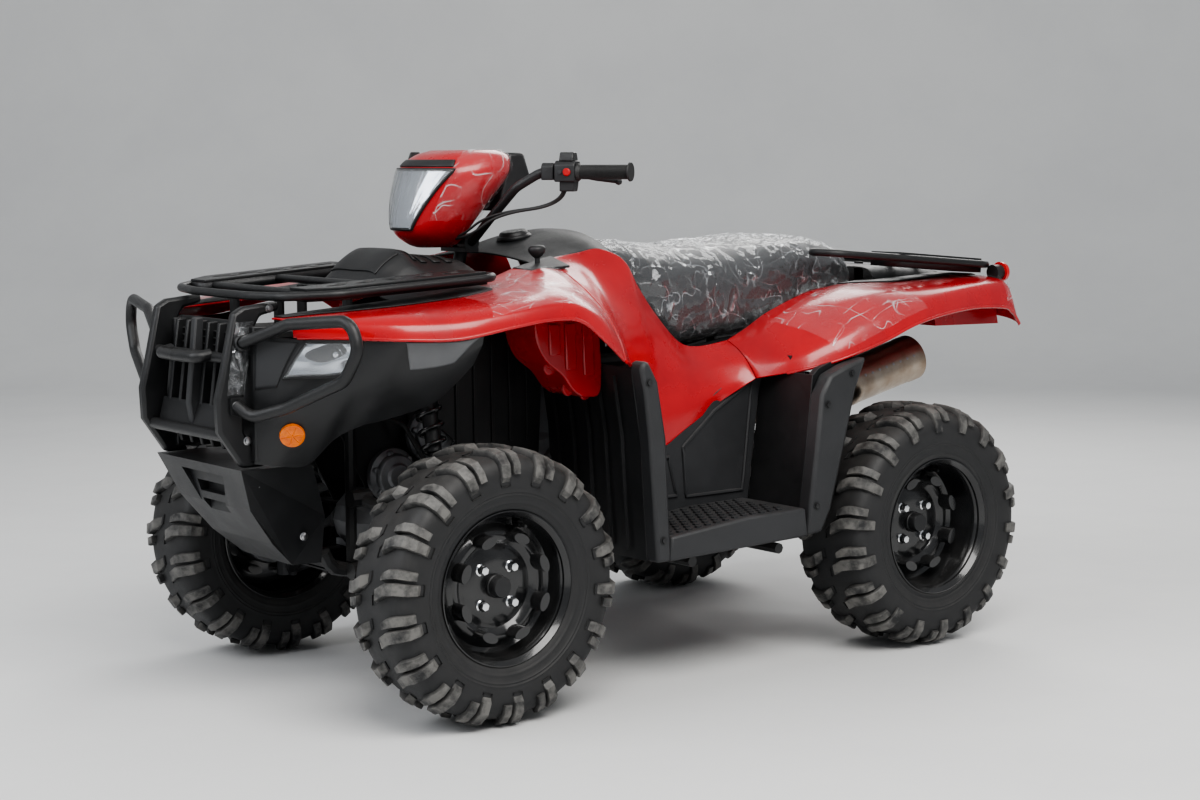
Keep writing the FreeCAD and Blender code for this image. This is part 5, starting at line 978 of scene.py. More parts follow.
make("headlamp_bowl", on_both_sides(patch(panel_grid, LAMP_CORNERS, 40, 30, 0.004, bowl_wave)), SILVER_BOWL,
     sharp=20)
make("headlamp_lens", on_both_sides(patch(panel_grid, LAMP_CORNERS, 24, 20, 0.0085)), CLEAR_LENS,
     stands_for=["headlamps"], wall=0.003)
bulb_spot, bulb_way = sample(panel_grid, 0.27, 0.2)
bulb = turned([(0, -0.012), (0.008, -0.012), (0.0085, -0.004), (0.006, 0.001), (0.0, 0.0025)], bulb_spot, bulb_way,
              20)
shade = turned([(0.0135, -0.012), (0.0145, 0.0), (0.0135, 0.001), (0.0125, -0.011)], bulb_spot, bulb_way, 28,
               closed=True)
make("headlamp_bulb", on_both_sides(gather([bulb, shade])), CHROME, sharp=30)
make("headlamp_bezel", on_both_sides(gather([ring_tube(edge_of(panel_grid, LAMP_CORNERS, 0.006), 0.0035),
                                             ring_tube(edge_of(panel_grid, LAMP_CORNERS, 0.002), 0.0055)])),
     BLACK_MOULDING)
# The lighter grey patch on the upper rear of each front panel is a painted highlight.
make("panel_painted_highlight", on_both_sides(patch(panel_grid, HIGHLIGHT_CORNERS, 24, 16, 0.0015)), PANEL_HIGHLIGHT_GREY, wall=0.0012)
make("panel_nostril", on_both_sides(patch(panel_grid, NOSTRIL_CORNERS, 16, 16, 0.0015)), GREY_MOULDING, wall=0.0012)
reflector_spot, reflector_way = sample(panel_grid, 0.175, 0.78)
reflector = turned([(0, 0), (0.0265, 0), (0.0275, 0.003), (0.0265, 0.008), (0.023, 0.0095), (0.0, 0.0105)],
                   reflector_spot, reflector_way, 40)
first = reflector_way.orthogonal().normalized()
second = reflector_way.cross(first)
spokes = []
for step in range(6):
    out = around(first, second, math.pi * step / 3)
    spokes.append(tube([reflector_spot + reflector_way * 0.0104 + out * 0.002,
                        reflector_spot + reflector_way * 0.0092 + out * 0.0225], 0.0012, 0.01, 6))
make("amber_discs", on_both_sides(gather([reflector] + spokes)), AMBER, stands_for=["amber_reflectors"], sharp=30)
print("front panels done, reflector at", tuple(reflector_spot))

# %% [markdown]
# The bull bar is two broad plates with rounded edges, a short bent bar in front of the grille and a lower bar, and a
# hoop of tube round each headlamp. Broad bevels turn flat plates into parts that look pressed from steel.

# %% Bull bar and hoops
PLATE = [(16.35, 9.14), (17.2, 9.06), (17.45, 8.92), (17.75, 7.6), (17.88, 7.1), (17.85, 6.4), (17.3, 5.61),
         (16.75, 5.61), (17.25, 6.4), (17.25, 7.0), (17.15, 7.8), (16.95, 8.6), (16.8, 8.85), (16.35, 8.95)]
plate_outline = [at(station, 1.62, level) for station, level in PLATE]
make("bar_plates", on_both_sides(slab(plate_outline, Vector((0, 0.026, 0)))), POWDER_BLACK, stands_for=["bumper"],
     bevel=0.007, sharp=50)
cross = tube([at(17.5, -0.9, 8.0), at(17.81, -0.85, 7.95), at(17.88, 0, 7.95), at(17.81, 0.85, 7.95),
              at(17.5, 0.9, 8.0)], 0.013, 0.03, 18)
cross_feet = tube([at(17.45, -1.7, 7.95), at(17.45, 1.7, 7.95)], 0.011, 0.02, 14)
low_bar = tube([at(17.6, -1.75, 6.3), at(17.6, 1.75, 6.3)], 0.013, 0.02, 16)
low_strip = slab([at(17.42, -1.5, 6.9), at(17.56, -1.5, 6.35), at(17.48, -1.5, 6.35), at(17.34, -1.5, 6.9)],
                 Vector((0, 0.3, 0)))
make("bar_cross", gather([cross, cross_feet, low_bar, low_strip]), POWDER_BLACK, sharp=50)
HOOP = [(17.32, 1.96, 8.3), (16.9, 3.2, 8.75), (16.45, 4.95, 8.9), (16.4, 5.15, 8.3), (16.5, 4.75, 7.65),
        (16.97, 3.2, 7.0), (17.33, 2.35, 6.75), (17.5, 2.0, 7.0)]
hoop = tube([at(*spot) for spot in HOOP], 0.013, 0.05, 18)
feet = [turned([(0, -0.01), (0.017, -0.01), (0.017, 0.006), (0.013, 0.009)], at(*HOOP[0]), (0.25, 1, 0.2), 20),
        slab([at(17.62, 1.9, 7.15), at(17.62, 1.9, 6.8), at(17.3, 1.9, 6.7), at(17.3, 1.9, 7.15)],
             Vector((0, 0.008, 0)))]
make("hoop_tubes", on_both_sides(gather([hoop] + feet)), POWDER_BLACK, stands_for=["bumper_hoops"], sharp=50)
bar_bolts = [bolt(at(*spot), (0, 1, 0)) for spot in ((17.5, 1.98, 6.98), (17.35, 1.885, 8.05), (17.2, 1.885, 6.2),
                                                     (16.6, 1.885, 9.0))]
make("bar_bolts", on_both_sides(gather(bar_bolts)), STEEL, sharp=30)
print("bull bar done")

# %% [markdown]
# Behind the bar stand the grille's upright ribs on a dark mesh, and under it the nose cover: a tapered shell with a
# sunken middle, three slots in it, and bolts on its cheeks.

# %% Grille and nose
ribs = []
for side in (-1.2, -0.72, -0.24, 0.24, 0.72, 1.2):
    rib = [at(17.16, side - 0.06, 5.9), at(17.44, side - 0.06, 6.9), at(17.2, side - 0.06, 8.65),
           at(16.95, side - 0.06, 8.65), at(17.12, side - 0.06, 6.9), at(16.88, side - 0.06, 5.9)]
    ribs.append(slab(rib, Vector((0, 0.012, 0))))
back = slab([at(16.86, -1.55, 5.9), at(17.12, -1.55, 6.9), at(16.92, -1.55, 8.7), at(16.85, -1.55, 8.7),
             at(17.05, -1.55, 6.9), at(16.8, -1.55, 5.9)], Vector((0, 0.31, 0)))
make("grille_ribs", gather(ribs), BLACK_MOULDING, stands_for=["grille"], bevel=0.0025, sharp=40)
mesh_rows = [tube([at(17.02 + 0.1 * math.sin(level), -1.5, level + 5.9),
                   at(17.02 + 0.1 * math.sin(level), 1.5, level + 5.9)], 0.002, 0.01, 6)
             for level in [0.15 * step for step in range(1, 18)]]
make("grille_mesh", gather([back] + mesh_rows), SOFT_RUBBER, sharp=40)
# The middle bar of the grille is grey where the ribs are black: its grey is a painted highlight.
spine = slab([at(17.5, -0.11, 6.2), at(17.62, -0.11, 6.9), at(17.42, -0.11, 8.75), at(17.22, -0.11, 8.75),
              at(17.3, -0.11, 6.9), at(17.1, -0.11, 6.2)], Vector((0, 0.022, 0)))
make("grille_spine", spine, GREY_MOULDING, bevel=0.004, sharp=40)
NOSE = [(15.02, 3.22, 1.2), (15.7, 3.22, 1.1), (16.35, 3.8, 1.38), (17.0, 4.62, 1.6), (17.4, 5.58, 1.95),
        (15.67, 5.58, 2.0), (15.02, 4.3, 1.4)]
left_side = [at(station, half, level) for station, level, half in NOSE]
right_side = [Vector((point.x, -point.y, point.z)) for point in left_side]
count = len(NOSE)
nose_faces = [(a, (a + 1) % count, (a + 1) % count + count, a + count) for a in range(count)]
nose_faces += [tuple(range(count))[::-1], tuple(range(count, 2 * count))]
nose = make("nose_cover", (left_side + right_side, nose_faces), BLACK_MOULDING, stands_for=["lower_cover"],
            sharp=40)
recess = slab([at(17.9, -0.95, 5.35), at(17.9, 0.95, 5.35), at(17.6, 0.3, 3.9), at(17.6, -0.3, 3.9)],
              Vector((-0.075, 0, 0)))
slots = [slab([at(18.0, -0.62 + 0.1 * n, 5.1 - 0.42 * n), at(18.0, 0.62 - 0.1 * n, 5.1 - 0.42 * n),
               at(18.0, 0.55 - 0.1 * n, 4.85 - 0.42 * n), at(18.0, -0.55 + 0.1 * n, 4.85 - 0.42 * n)],
              Vector((-0.115, 0, 0))) for n in range(3)]
cut(nose, [recess])
cut(nose, slots)
for polygon in nose.data.polygons:
    polygon.use_smooth = False
rim_edge = nose.modifiers.new("edge", "BEVEL")
rim_edge.width, rim_edge.segments, rim_edge.limit_method, rim_edge.angle_limit = 0.004, 2, "ANGLE", math.radians(30)
nose_bolts = [bolt(at(16.9, 1.72, 5.2), (0.3, 1, 0)), bolt(at(15.6, 1.45, 3.9), (0.2, 1, 0))]
make("nose_bolts", on_both_sides(gather(nose_bolts)), STEEL, sharp=30)
cheeks = slab([at(17.1, 1.5, 5.75), at(17.1, 2.06, 5.75), at(16.6, 2.2, 5.75), at(16.6, 1.5, 5.75)],
              Vector((0.0, 0, 0.29)))
make("nose_cheeks", on_both_sides(cheeks), BLACK_MOULDING, bevel=0.003)
print("grille and nose done")

# %% [markdown]
# Each carrier is a tube bent round the outside, tubes across and a pressed plank on both sides with rows of oval
# holes. Both slope a little, so everything is drawn level and then tilted about the line that the solids use.

# %% Front and rear carriers


def oval_cutter(station, side, low, half_long, half_wide):
    turns = [2 * math.pi * s / 20 for s in range(20)]
    oval = [at(station, side, low) + Vector((half_long * math.cos(t), half_wide * math.sin(t), 0)) for t in turns]
    return slab(oval, Vector((0, 0, 0.06)))


def tilted(form, station, level, degrees):
    pivot = at(station, 0, level)
    turn = Matrix.Rotation(math.radians(degrees), 4, "Y")
    return [pivot + turn @ (point - pivot) for point in form[0]], form[1]


def carrier(name, outer, planks, holes, crosses, level, tilt, pivot, node):
    middle = level + 0.02
    route = [at(a, b, middle) for a, b in outer] + [at(a, -b, middle) for a, b in outer[::-1]]
    tubes = [tube(route, 0.0095, 0.06, 16)]
    for station, inner, reach in crosses:
        if inner:
            tubes.append(on_both_sides(tube([at(station, inner, middle), at(station, reach, middle)], 0.009, 0.02,
                                            14)))
        else:
            tubes.append(tube([at(station, -reach, middle), at(station, reach, middle)], 0.009, 0.02, 14))
    make(name + "_tubes", tilted(gather(tubes), pivot, middle, tilt), POWDER_BLACK, stands_for=[node], sharp=50)
    for side, sign in (("left", 1), ("right", -1)):
        outline = [at(a, b * sign, level + 0.1) for a, b in planks]
        plank = make(f"{name}_plank_{side}", slab(outline, Vector((0, 0, 0.0065))), POWDER_BLACK, sharp=40)
        cut(plank, [oval_cutter(a, b * sign, level - 0.2, long_half, wide_half)
                    for a, b, long_half, wide_half in holes])
        plank.data.transform(Matrix.Translation(at(pivot, 0, middle)) @ Matrix.Rotation(math.radians(tilt), 4, "Y")
                             @ Matrix.Translation(-at(pivot, 0, middle)))
        rounding = plank.modifiers.new("edge", "BEVEL")
        rounding.width, rounding.segments, rounding.limit_method = 0.0015, 2, "ANGLE"


def plank_flange(name, outline, level, tilt, pivot, drop):
    """The turned-down edge of a pressed plank."""
    for side, sign in (("left", 1), ("right", -1)):
        spots = [at(a, b * sign, level) for a, b in outline]
        points = spots + [spot - Vector((0, 0, drop)) for spot in spots]
        count = len(spots)
        faces = [(i, (i + 1) % count, (i + 1) % count + count, i + count) for i in range(count)]
        make(f"{name}_{side}", tilted((points, faces), pivot, level - 0.1 + 0.02, tilt), POWDER_BLACK, wall=0.003)


front_holes = [(12.45 + 0.72 * n, 2.75 - 0.05 * n, 0.024, 0.013) for n in range(5)]
front_holes += [(12.2 + 0.72 * n, 2.42 - 0.02 * n, 0.017, 0.009) for n in range(5)]
carrier("front_carrier", [(11.6, 2.5), (11.6, 3.4), (15.6, 3.1), (16.5, 2.4), (16.75, 1.2)],
        [(11.9, 2.25), (11.9, 3.32), (15.5, 3.05), (16.1, 2.6), (16.1, 1.9)], front_holes,
        [(12.05, 2.2, 3.35), (14.1, 0, 3.2), (15.85, 0, 2.85)], 9.38, 3.4, 14.2, "front_rack")
rear_holes = [(-0.85 - 0.55 * n, side, 0.02, 0.012) for side in (3.85, 3.45) for n in range(5)]
carrier("rear_carrier", [(1.2, 2.65), (1.7, 2.9), (1.4, 3.6), (-1.0, 4.2), (-3.3, 4.35), (-3.8, 3.8)],
        [(-0.4, 3.0), (-0.4, 4.08), (-3.2, 4.25), (-3.5, 3.7), (-3.5, 3.0)], rear_holes,
        [(-1.95, 0, 4.2), (-2.9, 0, 4.3), (-0.4, 2.6, 4.0)], 9.55, -5.0, -1.0, "rear_rack")
plank_flange("front_flange", [(11.9, 2.25), (11.9, 3.32), (15.5, 3.05), (16.1, 2.6), (16.1, 1.9)], 9.48, 3.4, 14.2,
             0.022)
plank_flange("rear_flange", [(-0.4, 3.0), (-0.4, 4.08), (-3.2, 4.25), (-3.5, 3.7), (-3.5, 3.0)], 9.65, -5.0, -1.0,
             0.03)
print("carriers done")

# %% [markdown]
# The pod on the handlebar is a moulded shell. Its outlines at rising levels are rounded rectangles, and the skin
# runs smoothly through them. A part of the front is lifted off as the lens, over a silver bowl.

# %% Headlamp pod
POD = [(10.1, 10.65, 11.5, 0.3), (10.2, 10.52, 11.74, 0.55), (10.5, 10.36, 12.03, 0.86), (11.1, 9.96, 11.95, 1.18),
       (11.7, 9.5, 11.76, 1.42), (12.0, 9.38, 11.6, 1.42), (12.24, 9.4, 11.25, 1.25), (12.36, 9.65, 10.85, 0.95)]
POD_ROWS, POD_COLUMNS = 44, 72


def pod_ring(level, rear, front, half):
    ring = []
    for step in range(POD_COLUMNS):
        angle = 2 * math.pi * step / POD_COLUMNS
        c, s = math.cos(angle), math.sin(angle)
        x = math.copysign(abs(c) ** 0.72, c)
        y = math.copysign(abs(s) ** 0.8, s)
        taper = 1.0 - 0.18 * max(c, 0)
        ring.append(at((front + rear) / 2 + (front - rear) / 2 * x, half * y * taper, level))
    return ring


rings = [pod_ring(*row) for row in POD]
columns = [smooth_line([ring[column] for ring in rings], POD_ROWS) for column in range(POD_COLUMNS)]
pod_points = [columns[column][row] for row in range(POD_ROWS) for column in range(POD_COLUMNS)]
pod_faces = grid_faces(POD_ROWS, POD_COLUMNS, ring_columns=True)
pod_faces += [tuple(range(POD_COLUMNS))[::-1], tuple(range((POD_ROWS - 1) * POD_COLUMNS, POD_ROWS * POD_COLUMNS))]
make("pod_skin", (pod_points, pod_faces), RED, body="steering", stands_for=["pod_shell"], bevel=0.004, sharp=55)
front_columns = [(step - 14) % POD_COLUMNS for step in range(29)]
pod_front = [[columns[column][row] for column in front_columns] for row in range(POD_ROWS)]
POD_LENS = [(0.30, 0.30), (0.66, 0.08), (0.66, 0.92), (0.30, 0.70)]
make("pod_bowl", patch(pod_front, POD_LENS, 30, 40, 0.0015, lambda s, t: -0.0008 * abs(math.sin(t * 30))),
     SILVER_BOWL, body="steering", sharp=20)
make("pod_glass", patch(pod_front, POD_LENS, 24, 30, 0.006), CLEAR_LENS, body="steering", stands_for=["pod_lens"],
     wall=0.003)
make("pod_bezel", ring_tube(edge_of(pod_front, POD_LENS, 0.0025), 0.004), BLACK_MOULDING, body="steering")
visor = patch(pod_front, [(0.7, 0.1), (0.78, 0.12), (0.78, 0.88), (0.7, 0.9)], 6, 30, 0.003)
make("pod_visor", visor, BLACK_MOULDING, body="steering", wall=0.003)
DASH = [(9.6, 12.3), (9.15, 12.3), (8.95, 11.72), (9.25, 11.5), (9.9, 10.9)]
dash = slab([at(a, -1.0, b) for a, b in DASH], Vector((0, 0.2, 0)))
make("dash_box", dash, BLACK_MOULDING, body="steering", stands_for=["instrument"], bevel=0.008, sharp=40)
screen = slab([at(9.12, -0.7, 12.22), at(9.12, 0.7, 12.22), at(8.98, 0.7, 11.82), at(8.98, -0.7, 11.82)],
              Vector((-0.003, 0, 0.001)))
make("dash_screen", screen, CLEAR_LENS, body="steering", bevel=0.001)
plug = gather([turned([(0, 0), (0.012, 0), (0.013, 0.02), (0.01, 0.026), (0, 0.027)], at(10.0, -0.9, 12.1),
                      (0, 0, 1), 24), block(at(9.9, -1.15, 12.1), at(10.5, -0.6, 12.33))])
make("dash_socket", plug, BLACK_MOULDING, body="steering", bevel=0.003)
print("pod done")

# %% [markdown]
# The handlebar is one bent tube on the steering stem, with clamps in the middle. The grips are ribbed rubber with a
# flange, each switch box is a rounded block with its buttons, and the levers are flattened bars with a ball at the
# tip. Cables run from the switch boxes in a loose arc down behind the pod.

# %% Handlebar, grips, switches and levers
BAR = [(10.35, 0.5, 10.2), (10.4, 1.3, 10.75), (10.2, 2.1, 11.5), (9.85, 2.6, 11.85), (8.75, 4.45, 11.85)]
half_bar = [at(*spot) for spot in BAR]
bar = tube([Vector((p.x, -p.y, p.z)) for p in half_bar[::-1]] + half_bar, 0.0108, 0.06, 18)
stem = tube([at(12.0, 0, 3.95), at(10.25, 0, 10.2)], 0.0148, 0.02, 20)
clamp_profile = [(0, -0.016), (0.021, -0.016), (0.022, 0), (0.021, 0.016), (0, 0.016)]
clamps = [turned(clamp_profile, at(10.35, side, 10.2), (0, 1, 0), 24) for side in (-0.35, 0.35)]
bridge = block(at(10.15, -0.5, 9.98), at(10.55, 0.5, 10.08))
make("bar_tube", gather([bar, stem, bridge] + clamps), POWDER_BLACK, body="steering", sharp=45)
grip_end = half_bar[-1]
grip_way = (half_bar[-2] - half_bar[-1]).normalized()
grip_ahead = grip_way.cross(Vector((0, 0, 1))).normalized()
grip_profile = [(0, -0.0048), (0.021, -0.0045), (0.0218, -0.001), (0.017, 0.001)]
for step in range(38):
    grip_profile += [(0.0168, 0.003 + 0.003 * step), (0.0152, 0.0045 + 0.003 * step)]
grip_profile += [(0.0168, 0.1185), (0.0195, 0.121), (0.0195, 0.125), (0.0112, 0.125)]
make("grip_rubbers", on_both_sides(turned(grip_profile, grip_end, grip_way, 36)), SOFT_RUBBER, body="steering",
     stands_for=["grips"], sharp=70)
switch_start = grip_end + grip_way * 0.1255


def switch_box(low, high, start, length):
    outline = [(low[0], low[1]), (low[0], high[1] * 0.6), (low[0] * 0.6, high[1]), (high[0] * 0.6, high[1]),
               (high[0], high[1] * 0.6), (high[0], low[1] * 0.6), (high[0] * 0.6, low[1]), (low[0] * 0.6, low[1])]
    return slab([switch_start + grip_way * start + grip_ahead * a + Vector((0, 0, b)) for a, b in outline],
                grip_way * length)


boxes = [switch_box((-0.021, -0.022), (0.022, 0.026), 0.0, 0.05),
         switch_box((-0.014, -0.044), (0.018, -0.02), 0.004, 0.036),
         switch_box((-0.017, -0.018), (0.026, 0.021), 0.054, 0.03)]
make("switch_boxes", on_both_sides(gather(boxes)), BLACK_MOULDING, body="steering", stands_for=["switch_housings"],
     bevel=0.004, sharp=40)
lid = switch_box((-0.016, 0.024), (0.02, 0.045), 0.006, 0.034)
reservoir = [Vector((p.x, -p.y, p.z)) + Vector((0, 0, 0.003)) for p in lid[0]]
make("fluid_box", gather([lid, (reservoir, [face[::-1] for face in lid[1]])]), POWDER_BLACK, body="steering",
     bevel=0.003, sharp=40)
button_spot = switch_start + grip_way * 0.018
left_face = grip_ahead * -1
rear_button = turned([(0, 0.019), (0.009, 0.019), (0.009, 0.024), (0.007, 0.026), (0, 0.026)], button_spot,
                     left_face, 24)
small_button = turned([(0, 0.019), (0.005, 0.019), (0.005, 0.023), (0, 0.0235)], button_spot + grip_way * 0.017,
                      left_face, 16)
front_button = turned([(0, 0.0195), (0.009, 0.0195), (0.009, 0.026), (0, 0.027)],
                      button_spot + Vector((0, 0, 0.004)), grip_ahead, 24)
make("stop_buttons", gather([rear_button, front_button]), STOP_RED, body="steering", sharp=35)
make("small_buttons", small_button, GREY_MOULDING, body="steering", sharp=35)
lever_root = switch_start + grip_way * 0.022 + grip_ahead * 0.026 - Vector((0, 0, 0.008))
lever_tip = grip_end + grip_way * 0.045 + grip_ahead * 0.05 - Vector((0, 0, 0.022))
lever = tube([lever_root, lever_root + grip_ahead * 0.022 - grip_way * 0.02,
              lever_root.lerp(lever_tip, 0.5) + grip_ahead * 0.014, lever_tip], 0.0062, 0.03, 12)
flat = [point.copy() for point in lever[0]]
for point in flat:
    point.z = lever_tip.z + (point.z - lever_tip.z) * 0.8
ball = turned([(0.0001, -0.0085), (0.006, -0.006), (0.0085, 0), (0.006, 0.006), (0.0001, 0.0085)], lever_tip,
              grip_way, 20)
perch = turned([(0, -0.012), (0.0135, -0.012), (0.0135, 0.012), (0, 0.012)], lever_root, (0, 0, 1), 20)
make("lever_bars", on_both_sides(gather([(flat, lever[1]), ball, perch])), POWDER_BLACK, body="steering",
     stands_for=["levers"], sharp=50)
print("handlebar done")

# %% [markdown]
# A seat is a padded thing: foam under a vinyl skin that pulls in where it is stapled to the pan. A closed form with
# a soft crown is made first, a little smaller than it should be. It is remeshed evenly and inflated as cloth, with
# the movement capped, so that it keeps its outline but no longer looks turned out of a block.

# %% Seat
SEAT = [(7.5, 9.78, 10.2, 1.85), (7.1, 9.25, 10.12, 2.1), (6.5, 8.5, 10.04, 2.25), (5.8, 7.8, 9.95, 2.32),
        (5.0, 7.7, 9.88, 2.36), (3.9, 7.74, 9.86, 2.38), (2.9, 7.83, 9.9, 2.38), (1.9, 8.2, 9.98, 2.36),
        (1.0, 8.5, 10.02, 2.3), (0.3, 8.62, 9.98, 2.2), (-0.3, 8.66, 9.84, 2.05), (-0.8, 8.68, 9.55, 1.85),
        (-1.1, 8.7, 9.2, 1.6)]
SEAT_ROWS, SEAT_COLUMNS = 70, 56


def seat_ring(station, low, high, half):
    ring = []
    for step in range(SEAT_COLUMNS):
        angle = 2 * math.pi * step / SEAT_COLUMNS
        c, s = math.cos(angle), math.sin(angle)
        y = math.copysign(abs(c) ** (0.5 if s > 0 else 0.22), c) * half
        z = math.copysign(abs(s) ** 0.6, s)
        ring.append(at(station, y, (low + high) / 2 + (high - low) / 2 * z))
    return ring


seat_rings = [seat_ring(*row) for row in SEAT]
seat_lines = [smooth_line([ring[column] for ring in seat_rings], SEAT_ROWS) for column in range(SEAT_COLUMNS)]
seat_points = [seat_lines[column][row] for row in range(SEAT_ROWS) for column in range(SEAT_COLUMNS)]
seat_faces = grid_faces(SEAT_ROWS, SEAT_COLUMNS, ring_columns=True)
seat_faces += [tuple(range(SEAT_COLUMNS))[::-1],
               tuple(range((SEAT_ROWS - 1) * SEAT_COLUMNS, SEAT_ROWS * SEAT_COLUMNS))]
seat = make("seat_pad", (seat_points, seat_faces), VINYL, stands_for=["seat"], sharp=180)


CLOTH_FRAMES = 20


def inflated(piece, voxel, pressure, cap):
    """Remeshes a closed piece evenly and lets it swell as cloth, with the movement capped."""
    step = piece.modifiers.new("even", "REMESH")
    step.mode, step.voxel_size, step.use_smooth_shade = "VOXEL", voxel, True
    bpy.context.view_layer.update()
    even = bpy.data.meshes.new_from_object(piece.evaluated_get(bpy.context.evaluated_depsgraph_get()))
    piece.modifiers.clear()
    piece.data = even
    before = [vertex.co.copy() for vertex in even.vertices]
    cloth = piece.modifiers.new("cloth", "CLOTH")
    cloth.settings.use_pressure = True
    cloth.settings.uniform_pressure_force = pressure
    cloth.settings.effector_weights.gravity = 0
    cloth.settings.quality = 4
    cloth.point_cache.frame_start, cloth.point_cache.frame_end = 1, CLOTH_FRAMES
    for frame_number in range(1, CLOTH_FRAMES + 1):
        bpy.context.scene.frame_set(frame_number)
    swollen = bpy.data.meshes.new_from_object(piece.evaluated_get(bpy.context.evaluated_depsgraph_get()))
    piece.modifiers.clear()
    piece.data = swollen
    for vertex, start in zip(swollen.vertices, before):
        move = vertex.co - start
        if move.length > cap:
            vertex.co = start + move.normalized() * cap
    bpy.context.scene.frame_set(1)
    return len(before)


seat_crowd = inflated(seat, 0.0085, 4.0, 0.007)
seat.data.shade_smooth()
if not seat.data.materials:
    seat.data.materials.append(VINYL)
print("seat with", seat_crowd, "points in its cloth")

# %% [markdown]
# A new seat comes in thick clear film. The film is a sheet laid close over the seat: every point is found by looking
# from the seat's middle line outwards, and it stands off the vinyl by a few millimetres in sharp ridges that follow a
# noise. Its material is nearly clear, with bumps along folds that wander across it and painted highlights in white
# lines along the same folds.

# %% Clear film
from mathutils.bvhtree import BVHTree


# The film's folds: bumps in the normal along them, and white lines on them that are painted highlights.
def crease_glint_group():
    group, entry, out = new_group("film_creases_and_painted_glints",
                                  [("Scale", 14.0), ("Haze", 0.1), ("Crease glint", 0.6), ("Width", 0.03)],
                                  [("Alpha", "NodeSocketFloat"), ("Normal", "NodeSocketVector")])

    def math_node(operation, first, second=None):
        node = group.nodes.new("ShaderNodeMath")
        node.operation = operation
        join(group, first, node.inputs[0])
        if second is not None:
            join(group, second, node.inputs[1])
        else:
            node.inputs[1].default_value = 0.5
        return node.outputs["Value"]

    place = group.nodes.new("ShaderNodeTexCoord")
    lines, folds = [], []
    for turn, stretch in (((0.4, 0.9, 0.6), (1.0, 4.2, 2.4)), ((-0.7, 0.3, -0.9), (3.8, 1.0, 1.7)),
                          ((1.1, -0.5, 0.2), (1.6, 2.8, 1.0))):
        laid = group.nodes.new("ShaderNodeMapping")
        laid.inputs["Rotation"].default_value = turn
        laid.inputs["Scale"].default_value = stretch
        drift = group.nodes.new("ShaderNodeTexNoise")
        drift.inputs["Detail"].default_value = 0.6
        join(group, place.outputs["Object"], laid.inputs["Vector"])
        join(group, laid.outputs["Vector"], drift.inputs["Vector"])
        join(group, entry.outputs["Scale"], drift.inputs["Scale"])
        fold = math_node("ABSOLUTE", math_node("SUBTRACT", drift.outputs["Fac"]))
        line = group.nodes.new("ShaderNodeMapRange")
        line.inputs["To Min"].default_value = 1.0
        line.inputs["To Max"].default_value = 0.0
        join(group, fold, line.inputs["Value"])
        join(group, entry.outputs["Width"], line.inputs["From Max"])
        folds.append(fold)
        lines.append(line.outputs["Result"])
    scattered = group.nodes.new("ShaderNodeTexNoise")
    scattered.inputs["Scale"].default_value = 19.0
    patchy = group.nodes.new("ShaderNodeMapRange")
    patchy.inputs["From Min"].default_value = 0.42
    patchy.inputs["From Max"].default_value = 0.6
    join(group, place.outputs["Object"], scattered.inputs["Vector"])
    join(group, scattered.outputs["Fac"], patchy.inputs["Value"])
    # The white lines along the folds are painted highlights.
    strength = math_node("MULTIPLY", math_node("MAXIMUM", math_node("MAXIMUM", lines[0], lines[1]), lines[2]),
                         patchy.outputs["Result"])
    total = math_node("ADD", math_node("MULTIPLY", strength, entry.outputs["Crease glint"]), entry.outputs["Haze"])
    bump = None
    for fold, distance in zip(folds, (0.022, 0.018, 0.012)):
        raised = group.nodes.new("ShaderNodeBump")
        raised.inputs["Distance"].default_value = distance
        raised.inputs["Strength"].default_value = 0.85
        join(group, fold, raised.inputs["Height"])
        if bump is not None:
            join(group, bump, raised.inputs["Normal"])
        bump = raised.outputs["Normal"]
    join(group, total, out.inputs["Alpha"])
    join(group, bump, out.inputs["Normal"])
    return group


FILM_CREASES_AND_GLINTS = crease_glint_group()


def film_finish(name, scale, haze, crease_glint, width, metal, rim_haze):
    material = bpy.data.materials.new(name)
    material.use_nodes = True
    tree = material.node_tree
    shader = tree.nodes["Principled BSDF"]
    shader.inputs["Base Color"].default_value = (0.8, 0.82, 0.84, 1)
    shader.inputs["Roughness"].default_value = 0.14
    shader.inputs["Metallic"].default_value = metal
    shader.inputs["Specular IOR Level"].default_value = 0.9
    folds_and_glints = tree.nodes.new("ShaderNodeGroup")
    folds_and_glints.node_tree = FILM_CREASES_AND_GLINTS
    for label, value in (("Scale", scale), ("Haze", haze), ("Crease glint", crease_glint), ("Width", width)):
        folds_and_glints.inputs[label].default_value = value
    glance = tree.nodes.new("ShaderNodeLayerWeight")
    glance.inputs["Blend"].default_value = 0.25
    edge_haze = tree.nodes.new("ShaderNodeMath")
    edge_haze.operation = "MULTIPLY_ADD"
    edge_haze.inputs[1].default_value = rim_haze
    edge_haze.use_clamp = True
    join(tree, folds_and_glints.outputs["Normal"], glance.inputs["Normal"])
    join(tree, glance.outputs["Facing"], edge_haze.inputs[0])
    join(tree, folds_and_glints.outputs["Alpha"], edge_haze.inputs[2])
    join(tree, edge_haze.outputs["Value"], shader.inputs["Alpha"])
    join(tree, folds_and_glints.outputs["Normal"], shader.inputs["Normal"])
    return material


SEAT_FILM = film_finish("seat_film", 7.0, 0.1, 0.5, 0.012, 0.6, 0.14)
PANEL_FILM = film_finish("panel_film", 4.2, 0.04, 0.55, 0.009, 0.1, 0.05)


def crinkle(spot, scale, height):
    """How far a film stands off at a place: broad ridges and fine ones, sharp where their noise crosses zero."""
    broad = max(1.0 - abs(noise.noise(spot * scale)) * 2.2, 0) ** 2
    fine = max(1.0 - abs(noise.noise(spot * scale * 2.3 + Vector((7, 3, 1)))) * 2.4, 0) ** 2
    return height * (broad + 0.5 * fine)


def film_piece(name, grid, material, body):
    """A film sheet from a grid of points, declared with its own area as the size that it was cut to."""
    rows, columns = len(grid), len(grid[0])
    piece = make(name, ([point for row in grid for point in row], grid_faces(rows, columns)), material, body=body,
                 sharp=22)


